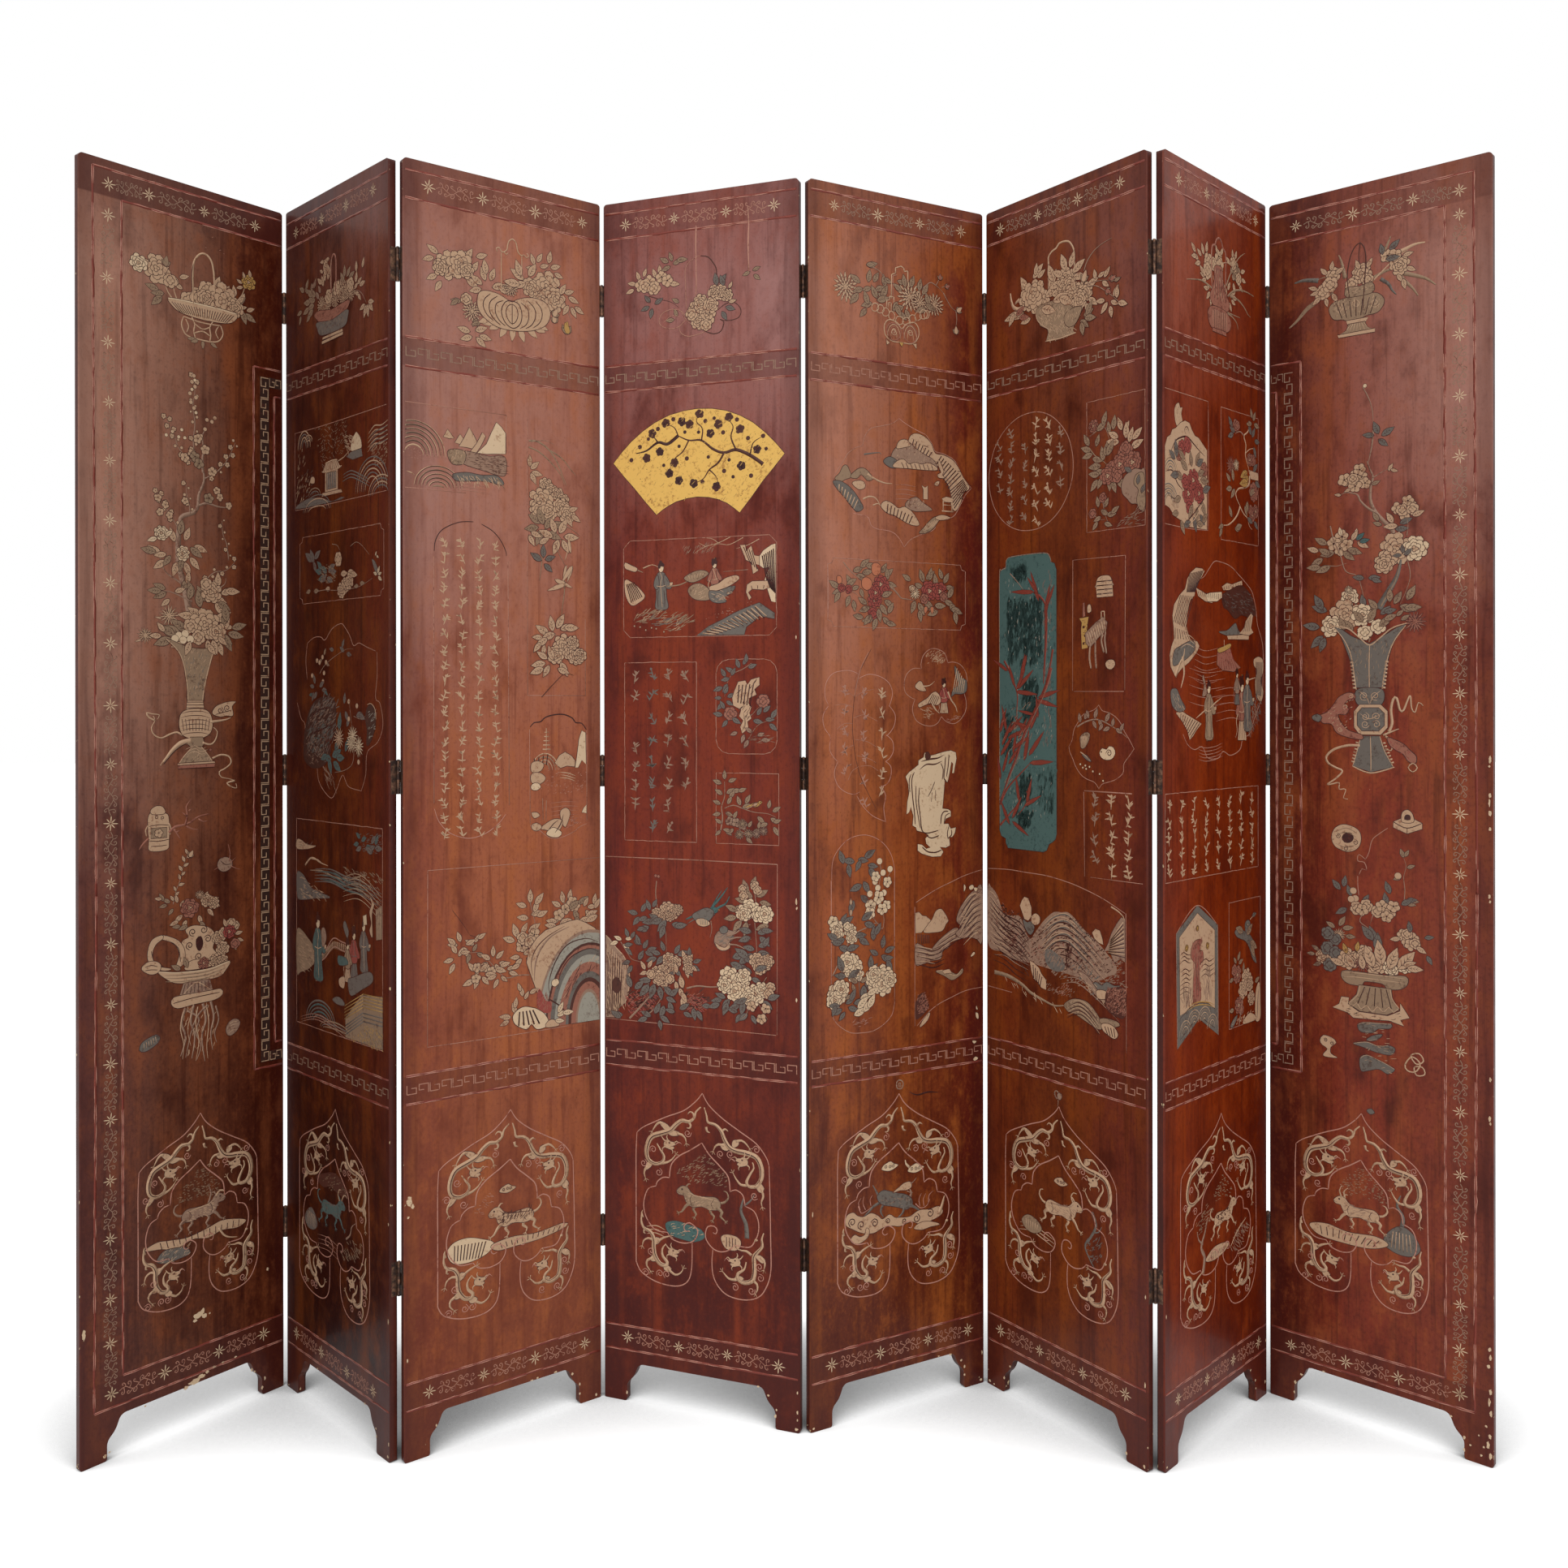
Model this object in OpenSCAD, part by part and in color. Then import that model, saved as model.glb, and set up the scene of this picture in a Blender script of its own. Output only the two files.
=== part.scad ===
// Folding screen of eight lacquered leaves, standing in a zig-zag.
// Millimetres. +Z is up, +X runs along the screen and the decorated fronts face -Y.
// The origin is on the floor, in the middle of the space that the screen takes up.

/* [Leaves] */
// Height of a leaf from the floor to its top edge
leaf_h = 2300; // [1800:10:2700]
// Width of a leaf
leaf_w = 400; // [320:5:520]
// Thickness of the wooden boards inside a leaf
board_t = 10; // [8:0.5:20]
// Thickness of the ground and lacquer on each face
lacquer_t = 2.5; // [2:0.25:4]
// Number of boards that make up a leaf
board_count = 3; // [2:1:5]
// Radius of the top corners
top_corner_r = 8; // [3:0.5:20]

/* [Feet and apron] */
// Width of a foot at the floor
foot_w = 48; // [30:1:80]
// Height of the straight inner side of a foot
foot_straight_h = 26; // [15:1:50]
// Height of the apron's lower edge above the floor
apron_h = 74; // [60:1:100]
// Radius of the hollow curve above the straight side of a foot
cove_r = 20; // [12:1:24]
// Radius of the swelling curve below the apron
nose_r = 40; // [20:1:45]
// Radius of the curve that meets the apron
apron_r = 14; // [8:1:16]
// Radius of the corners under the feet
foot_corner_r = 5; // [2:0.5:10]

/* [Folds] */
// Heading of leaf 1, from +X towards +Y, in degrees
first_heading = 51.7; // [20:0.1:80]
// Turn from leaf 1 to leaf 2: 0 is flat and 180 is folded shut
fold_angle_1 = 97.5; // [40:0.5:140]
// Turn from leaf 2 to leaf 3
fold_angle_2 = 83; // [40:0.5:140]
// Turn from leaf 3 to leaf 4
fold_angle_3 = 58; // [40:0.5:140]
// Turn from leaf 4 to leaf 5
fold_angle_4 = 50; // [40:0.5:140]
// Turn from leaf 5 to leaf 6
fold_angle_5 = 84.5; // [40:0.5:140]
// Turn from leaf 6 to leaf 7
fold_angle_6 = 101; // [40:0.5:140]
// Turn from leaf 7 to leaf 8
fold_angle_7 = 88.5; // [40:0.5:140]

/* [Hinges] */
// Height of the lowest hinge's middle above the floor
low_hinge_z = 322; // [200:1:500]
// Height of the middle hinge's middle above the floor
mid_hinge_z = 1208; // [900:1:1400]
// Distance of the top hinge's middle below the top edge
top_hinge_drop = 186; // [120:1:400]
// Height of a hinge
hinge_h = 60; // [40:1:90]
// Width of a hinge plate on the edge of a leaf
plate_w = 12; // [10:0.5:14]
// Thickness of a hinge plate
plate_t = 1.5; // [1.2:0.1:2]
// Gap between two leaves that stand in line
leaf_gap = 5; // [4.5:0.1:6]
// Distance of the hinge axis outside the faces that fold together
axis_proud = 1.5; // [1:0.1:3]
// Radius of a knuckle
knuckle_r = 3.2; // [2.8:0.1:3.5]
// Radius of a hinge pin
pin_r = 1.5; // [1:0.1:1.8]
// Radius of a pin's head
pin_head_r = 2.4; // [2.2:0.1:2.8]
// Height of a pin's head
pin_head_h = 1.2; // [0.8:0.1:2]

/* [Screws] */
// Radius of a screw head
screw_head_r = 2.2; // [1.8:0.1:2.6]
// Thickness of a screw head
screw_head_t = 0.7; // [0.5:0.1:0.9]
// Radius of a screw's shank
screw_r = 1; // [0.7:0.05:1.2]
// Length of a screw's shank
screw_l = 10; // [6:0.5:16]
// Distance between the screws of a hinge plate
screw_pitch = 20; // [12:0.5:24]
// Distance of the screws from the face that the knuckles stand at
screw_inset = 7.5; // [6.5:0.1:8.5]
// Width of the slot in a screw head
slot_w = 0.6; // [0.4:0.1:0.8]
// Depth of the slot in a screw head
slot_d = 0.35; // [0.2:0.05:0.4]

/* [Clearances] */
// Radial clearance between a pin and its knuckles
pin_clear = 0.08; // [0.05:0.01:0.1]
// Gap between neighbouring knuckles
knuckle_clear = 0.3; // [0.2:0.05:0.5]
// Clearance round a hinge plate and a screw in their recesses
recess_clear = 0.05; // [0.05:0.01:0.1]

/* [Hidden] */
folds = [fold_angle_1, fold_angle_2, fold_angle_3, fold_angle_4, fold_angle_5, fold_angle_6, fold_angle_7];
leaf_count = len(folds) + 1;
leaf_t = board_t + 2 * lacquer_t;
hinge_zs = [low_hinge_z, mid_hinge_z, leaf_h - top_hinge_drop];
knuckle_count = 3;
knuckle_h = hinge_h / knuckle_count;
relief_r = knuckle_r + knuckle_clear;
bore_r = pin_r + pin_clear;
past = 1;
screw_zs = [-screw_pitch, 0, screw_pitch];

// Slope of the foot's profile where the cove meets the nose, and where the nose ends
cove_slope = 40;
nose_slope = 68;

// Plan of the zig-zag. Fold n joins leaf n to leaf n + 1. At an odd fold the two fronts
// close on each other and the hinges are at the front, and at an even fold the backs do.
function at_front(n) = n % 2 == 1;
function heading(n) = n == 1 ? first_heading : heading(n - 1) + (at_front(n - 1) ? -1 : 1) * folds[n - 2];
function along(a) = [cos(a), sin(a)];
function behind(a) = [-sin(a), cos(a)];
function axis_depth(n) = at_front(n) ? -axis_proud : leaf_t + axis_proud;
function from_corner(n, x, y) = corner(n) + x * along(heading(n)) + y * behind(heading(n));
function hinge_line(n) = from_corner(n, leaf_w + leaf_gap / 2, axis_depth(n));
function corner(n) = n == 1 ? [0, 0] : hinge_line(n - 1)
    + leaf_gap / 2 * along(heading(n)) - axis_depth(n - 1) * behind(heading(n));

// Centres of the rounded long edges of all leaves, whose reach gives the middle of the plan
edge_centres = [
    for (n = [1:leaf_count], x = [lacquer_t, leaf_w - lacquer_t], y = [lacquer_t, leaf_t - lacquer_t])
        from_corner(n, x, y)
];
edge_xs = [for (c = edge_centres) c.x];
edge_ys = [for (c = edge_centres) c.y];
plan_middle = [min(edge_xs) + max(edge_xs), min(edge_ys) + max(edge_ys)] / 2;

// Points of an arc with centre c and radius r, from angle a to angle b
function arc(c, r, a, b, steps) = [for (i = [0:steps]) c + r * along(a + (b - a) * i / steps)];

// The foot's inner profile, from the floor up to the apron: a straight side, a hollow cove,
// a swelling nose, a short straight and the fillet to the apron, each tangent to the next
cove_c = [foot_w + cove_r, foot_straight_h];
cove_end = cove_c + cove_r * along(90 + cove_slope);
nose_c = cove_end + nose_r * behind(cove_slope);
nose_end = nose_c - nose_r * behind(nose_slope);
fillet_rise = apron_r * (1 - cos(nose_slope));
straight_end = nose_end + along(nose_slope) * max(0, (apron_h - fillet_rise - nose_end.y) / sin(nose_slope));
fillet_c = [straight_end.x + apron_r * sin(nose_slope), apron_h - apron_r];
foot_profile = [
    [foot_w, -past],
    each arc(cove_c, cove_r, 180, 90 + cove_slope, 5),
    each arc(nose_c, nose_r, cove_slope - 90, nose_slope - 90, 4),
    each arc(fillet_c, apron_r, 90 + nose_slope, 90, 5)
];

// What a corner of radius r loses, for a corner at the origin that points to -X and -Y
module corner_loss(r) {
    difference() {
        translate([-past, -past])
            square(r + past);
        translate([r, r])
            circle(r, $fn = 48);
    }
}

// Outline of a leaf seen from the front: x across, y up
module leaf_outline() {
    difference() {
        square([leaf_w, leaf_h]);
        polygon(foot_profile_pair());
        for (side = [0, 1]) {
            translate([side * leaf_w, 0])
                mirror([side, 0]) {
                    corner_loss(foot_corner_r);
                    translate([foot_w, 0])
                        mirror([1, 0])
                            corner_loss(foot_corner_r);
                    translate([0, leaf_h])
                        mirror([0, 1])
                            corner_loss(top_corner_r);
                }
        }
    }
}

function foot_profile_pair() = concat(
    foot_profile,
    [for (i = [len(foot_profile) - 1:-1:0]) [leaf_w - foot_profile[i].x, foot_profile[i].y]]
);

// A slice of the leaf between two depths behind its front face
module leaf_slice(depth, thickness, x_from, x_to) {
    translate([0, depth + thickness, 0])
        rotate([90, 0, 0])
            linear_extrude(thickness)
                intersection() {
                    leaf_outline();
                    translate([x_from, 0])
                        square([x_to - x_from, leaf_h]);
                }
}

// Carries what is drawn in a leaf's own frame to its place in the zig-zag
module on_leaf(n) {
    place = corner(n) - plan_middle;
    translate([place.x, place.y, 0])
        rotate([0, 0, heading(n)])
            children();
}

// Carries what is drawn about a hinge axis to one end of a leaf. About that axis the leaf's
// edge is at -X, its body reaches towards -X and the leaf's other face is towards +Y.
module at_hinge_axis(fold, on_right) {
    translate([on_right ? leaf_w + leaf_gap / 2 : -leaf_gap / 2, axis_depth(fold), 0])
        mirror([on_right ? 0 : 1, 0, 0])
            mirror([0, at_front(fold) ? 0 : 1, 0])
                children();
}

module at_each_hinge() {
    for (z = hinge_zs)
        translate([0, 0, z])
            children();
}

// The recess for a hinge plate and the pilot holes for its screws
module hinge_recess() {
    at_each_hinge() {
        translate([-leaf_gap / 2 - plate_t, 0, -hinge_h / 2 - recess_clear])
            cube([plate_t + past, axis_proud + plate_w + recess_clear, hinge_h + 2 * recess_clear]);
        for (z = screw_zs)
            translate([-leaf_gap / 2 - plate_t, axis_proud + screw_inset, z])
                rotate([0, -90, 0])
                    cylinder(h = screw_l + recess_clear, r = screw_r + recess_clear, $fn = 32);
    }
}

// Both ends' recesses of a leaf, in the leaf's frame
module leaf_recesses(n) {
    if (n < leaf_count)
        at_hinge_axis(n, true)
            hinge_recess();
    if (n > 1)
        at_hinge_axis(n - 1, false)
            hinge_recess();
}

// Wooden boards, standing side by side and glued edge to edge
module leaf_boards(n) {
    board_w = leaf_w / board_count;
    color("#a07a52")
        on_leaf(n)
            for (i = [0:board_count - 1])
                difference() {
                    leaf_slice(lacquer_t, board_t, i * board_w, (i + 1) * board_w);
                    leaf_recesses(n);
                }
}

// A lacquered ground that covers one face and rounds over both long edges
module lacquer_layer(n, depth) {
    on_leaf(n)
        difference() {
            intersection() {
                leaf_slice(depth, lacquer_t, 0, leaf_w);
                linear_extrude(leaf_h)
                    difference() {
                        square([leaf_w, leaf_t]);
                        for (side = [0, 1], face = [0, 1])
                            translate([side * leaf_w, face * leaf_t])
                                mirror([side, 0])
                                    mirror([0, face])
                                        corner_loss(lacquer_t);
                    }
            }
            leaf_recesses(n);
        }
}

module leaf_front_lacquer(n) {
    color("#7a3324")
        lacquer_layer(n, 0);
}

module leaf_back_lacquer(n) {
    color("#32150f")
        lacquer_layer(n, lacquer_t + board_t);
}

// Hinge plate with its knuckles. The knuckles numbered in own belong to it, counted upwards.
module hinge_plate(own) {
    difference() {
        union() {
            translate([-leaf_gap / 2 - plate_t, recess_clear, -hinge_h / 2])
                cube([plate_t, axis_proud + plate_w - recess_clear, hinge_h]);
            for (k = own)
                translate([0, 0, knuckle_bottom(k)])
                    cylinder(h = knuckle_top(k) - knuckle_bottom(k), r = knuckle_r, $fn = 48);
        }
        for (k = [0:knuckle_count - 1])
            if (len(search(k, own)) == 0)
                translate([0, 0, knuckle_bottom(k) - knuckle_clear])
                    cylinder(h = knuckle_h + knuckle_clear, r = relief_r, $fn = 48);
        translate([0, 0, -hinge_h / 2 - past])
            cylinder(h = hinge_h + 2 * past, r = bore_r, $fn = 32);
        for (z = screw_zs)
            translate([-leaf_gap / 2 + past, axis_proud + screw_inset, z])
                rotate([0, -90, 0]) {
                    cylinder(h = past + screw_head_t, r = screw_head_r + recess_clear, $fn = 32);
                    cylinder(h = past + plate_t + past, r = screw_r + recess_clear, $fn = 32);
                }
    }
}

function knuckle_bottom(k) = -hinge_h / 2 + k * knuckle_h + (k > 0 ? knuckle_clear / 2 : 0);
function knuckle_top(k) = -hinge_h / 2 + (k + 1) * knuckle_h
    - (k < knuckle_count - 1 ? knuckle_clear / 2 : 0);

// Screw with its head flush with the plate and its shank in the board
module screw() {
    translate([-leaf_gap / 2, axis_proud + screw_inset, 0])
        rotate([0, -90, 0])
            difference() {
                union() {
                    cylinder(h = screw_head_t, r = screw_head_r, $fn = 32);
                    cylinder(h = plate_t + screw_l, r = screw_r, $fn = 32);
                }
                translate([-screw_head_r - past, -slot_w / 2, -past])
                    cube([2 * (screw_head_r + past), slot_w, past + slot_d]);
            }
}

module hinge_plates(n, fold, on_right) {
    color("#8a6b3c")
        on_leaf(n)
            at_hinge_axis(fold, on_right)
                at_each_hinge()
                    hinge_plate(on_right ? [0, 2] : [1]);
}

module hinge_screws(n, fold, on_right) {
    color("#6b5636")
        on_leaf(n)
            at_hinge_axis(fold, on_right)
                at_each_hinge()
                    for (z = screw_zs)
                        translate([0, 0, z])
                            screw();
}

// Pin with a head that sits on the uppermost knuckle
module hinge_pins(n) {
    color("#5d4a2e")
        on_leaf(n)
            at_hinge_axis(n, true)
                at_each_hinge() {
                    translate([0, 0, -hinge_h / 2])
                        cylinder(h = hinge_h, r = pin_r, $fn = 32);
                    translate([0, 0, hinge_h / 2])
                        cylinder(h = pin_head_h, r = pin_head_r, $fn = 32);
                }
}

for (n = [1:leaf_count]) {
    leaf_boards(n);
    leaf_front_lacquer(n);
    leaf_back_lacquer(n);
}

for (n = [1:leaf_count - 1]) {
    hinge_plates(n, n, true);
    hinge_screws(n, n, true);
    hinge_pins(n);
    hinge_plates(n + 1, n, false);
    hinge_screws(n + 1, n, false);
}
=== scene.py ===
"""An eight-leaf lacquer folding screen: finishes of leaves and hinges, and incised and inlaid decoration.

The parts that the rest needs come first: studio, finishes, drawing kit, borders, pictures and leaves. The
last part puts the finishes on the leaves and sets each leaf's inlay into its front."""
import math
import random

import bpy
from mathutils import Matrix


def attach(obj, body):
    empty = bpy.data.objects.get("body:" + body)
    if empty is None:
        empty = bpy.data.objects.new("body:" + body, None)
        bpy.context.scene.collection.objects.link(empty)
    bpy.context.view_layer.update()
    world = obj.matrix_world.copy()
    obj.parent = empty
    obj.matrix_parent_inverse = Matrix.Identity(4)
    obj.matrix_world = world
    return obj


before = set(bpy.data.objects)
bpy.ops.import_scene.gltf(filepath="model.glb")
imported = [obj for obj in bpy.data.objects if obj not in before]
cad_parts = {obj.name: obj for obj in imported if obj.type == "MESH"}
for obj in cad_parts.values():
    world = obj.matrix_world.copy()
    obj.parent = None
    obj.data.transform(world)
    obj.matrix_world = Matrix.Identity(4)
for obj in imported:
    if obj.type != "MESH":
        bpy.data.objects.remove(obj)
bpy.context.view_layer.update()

MM = 0.001
LEAF_W, LEAF_H = 400.0, 2300.0
# The eight leaves turn from the row's X axis by these degrees, and their hinge axes stand proud of
# the front at odd joints and of the back at even ones. The origin is in the middle of their plan, this
# far from the first leaf's corner. The numbers are those of part.scad.
HEADINGS = (51.7, -45.8, 37.2, -20.8, 29.2, -55.3, 45.7, -42.8)
LEAF_GAP = 5.0
AXIS_DEPTHS = (-1.5, 16.5)
PLAN_MIDDLE = (1231.2622, 162.9777)
# The coat outside the outer band lines runs this far past the top and the foot. There is no band line at
# NO_BAND.
PAST = 20.0
NO_BAND = LEAF_H + PAST

scene = bpy.context.scene
scene.view_settings.view_transform = "Standard"

# The camera stands in front of the row's middle, at eye height.
camera = bpy.data.objects.new("camera", bpy.data.cameras.new("camera"))
scene.collection.objects.link(camera)
camera.location = (-0.03683, -2.61322, 1.33448)
camera.rotation_euler = (math.radians(89.97), math.radians(0.066), math.radians(-0.065))
camera.data.lens = 32.3185
camera.data.shift_x = 0.010815
camera.data.shift_y = -0.049816
scene.camera = camera


def node(tree, kind, inputs=None, **settings):
    """Adds a node with its settings, and fills its inputs with values or links."""
    made = tree.nodes.new(kind)
    for name, value in settings.items():
        setattr(made, name, value)
    for name, value in (inputs or {}).items():
        if isinstance(value, bpy.types.NodeSocket):
            tree.links.new(value, made.inputs[name])
        else:
            made.inputs[name].default_value = value
    return made


def tone(code):
    """A colour written as sRGB hex, turned to linear."""
    parts = [int(code[i : i + 2], 16) / 255 for i in (1, 3, 5)]
    return tuple(p / 12.92 if p <= 0.04045 else ((p + 0.055) / 1.055) ** 2.4 for p in parts) + (1.0,)


def material(name):
    """A new material with an empty tree and its output."""
    made = bpy.data.materials.new(name)
    made.use_nodes = True
    made.node_tree.nodes.clear()
    return made, made.node_tree, node(made.node_tree, "ShaderNodeOutputMaterial")


def leaf_corners():
    """Each leaf's lower left front corner and heading, as the hinges chain them."""
    x, y, out = -PLAN_MIDDLE[0], -PLAN_MIDDLE[1], []
    for n, heading in enumerate(HEADINGS):
        a = math.radians(heading)
        if n:
            x += LEAF_GAP / 2 * math.cos(a) + depth * math.sin(a)
            y += LEAF_GAP / 2 * math.sin(a) - depth * math.cos(a)
        out.append((x, y, a))
        depth = AXIS_DEPTHS[n % 2]
        x += (LEAF_W + LEAF_GAP / 2) * math.cos(a) - depth * math.sin(a)
        y += (LEAF_W + LEAF_GAP / 2) * math.sin(a) + depth * math.cos(a)
    return out


CORNERS = leaf_corners()

# Studio. The world is white to the eye and in reflections, and a plain level of light on the object.
world = bpy.data.worlds.new("white studio")
scene.world = world
world.use_nodes = True
tree = world.node_tree
tree.nodes.clear()
rays = node(tree, "ShaderNodeLightPath")
seen = node(tree, "ShaderNodeMath", {0: rays.outputs["Is Camera Ray"], 1: rays.outputs["Is Glossy Ray"]},
            operation="MAXIMUM")
seen = node(tree, "ShaderNodeMath", {0: seen.outputs[0], 1: rays.outputs["Is Transmission Ray"]},
            operation="MAXIMUM")
light = node(tree, "ShaderNodeBackground", {"Color": tone("#ffffff"), "Strength": 0.62})
white = node(tree, "ShaderNodeBackground", {"Color": tone("#ffffff"), "Strength": 1.0})
mixed = node(tree, "ShaderNodeMixShader", {0: seen.outputs[0], 1: light.outputs[0], 2: white.outputs[0]})
node(tree, "ShaderNodeOutputWorld", {"Surface": mixed.outputs[0]})

for name, turn, strength, angle in (("key", (48, 0, -22), 1.15, 50), ("fill", (60, 0, 35), 0.55, 70)):
    lamp = bpy.data.lights.new(name, "SUN")
    lamp.energy, lamp.angle = strength, math.radians(angle)
    lamp = bpy.data.objects.new(name, lamp)
    lamp.rotation_euler = [math.radians(t) for t in turn]
    scene.collection.objects.link(lamp)

# Matt white paper floor: white where the light falls, a soft grey where the screen keeps it off.
paper, tree, out = material("matt white paper")
rays = node(tree, "ShaderNodeLightPath")
# The eye sees painted shade close under and behind the leaves: occlusion taken towards the front darkens the
# floor's colour and its glow there, as a soft lamp in front and overhead would.
forward = node(tree, "ShaderNodeCombineXYZ", {0: 0.0, 1: -0.77, 2: 0.64}).outputs[0]
open_sky = node(tree, "ShaderNodeAmbientOcclusion", {"Distance": 0.45, "Normal": forward}, samples=16)
open_sky = node(tree, "ShaderNodeMath", {0: open_sky.outputs["AO"], 1: 2.6}, operation="POWER").outputs[0]
grey = node(tree, "ShaderNodeMix", {0: open_sky, 6: tone("#000000"), 7: tone("#a6a6a6")},
            data_type="RGBA").outputs[2]
level = node(tree, "ShaderNodeMath", {0: open_sky, 1: 1.05}, operation="MULTIPLY").outputs[0]
shade = node(tree, "ShaderNodeBsdfDiffuse", {"Color": grey})
glow = node(tree, "ShaderNodeEmission", {"Color": tone("#ffffff"), "Strength": level})
both = node(tree, "ShaderNodeAddShader", {0: shade.outputs[0], 1: glow.outputs[0]})
plain = node(tree, "ShaderNodeBsdfDiffuse", {"Color": tone("#c8c8c8")})
seen = node(tree, "ShaderNodeMath", {0: rays.outputs["Is Camera Ray"], 1: rays.outputs["Is Glossy Ray"]},
            operation="MAXIMUM")
mixed = node(tree, "ShaderNodeMixShader", {0: seen.outputs[0], 1: plain.outputs[0], 2: both.outputs[0]})
tree.links.new(mixed.outputs[0], out.inputs["Surface"])
mesh = bpy.data.meshes.new("floor")
FLOOR = 30.0
mesh.from_pydata([(-FLOOR, -FLOOR, 0), (FLOOR, -FLOOR, 0), (FLOOR, FLOOR, 0), (-FLOOR, FLOOR, 0)], [],
                 [(0, 1, 2, 3)])
mesh.materials.append(paper)
floor = bpy.data.objects.new("floor", mesh)
scene.collection.objects.link(floor)


# Lacquer: the painted sheen on its upper part, its plainer darker coat, its margins and specks, and the
# clay under it.
# The first colour is a painted sheen, a pale pink that stands in for the reflection of a bright studio on the
# upper lacquer.
PAINTED_SHEEN, COAT, BORDER, SPECK, CLAY = "#b98b80", "#4c211b", "#431a16", "#2a100c", "#c9b08c"
# How wide the darker margin of a leaf is, and how far clouds shift the border of the painted sheen and of
# what has gone deeper.
MARGIN = 36.0
SWAY = 700.0
# Its patterns: the size of each in millimetres across, through and up, and its detail.
PATTERNS = {
    "streak": ((15, 15, 300), 3), "band": ((64, 64, 620), 2), "cloud": ((90, 90, 170), 4),
    "mottle": ((26, 26, 44), 4), "bristle": ((2.4, 2.4, 130), 1), "speck": ((6, 6, 8), 2),
    "chip": ((9, 9, 16), 2),
}


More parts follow.
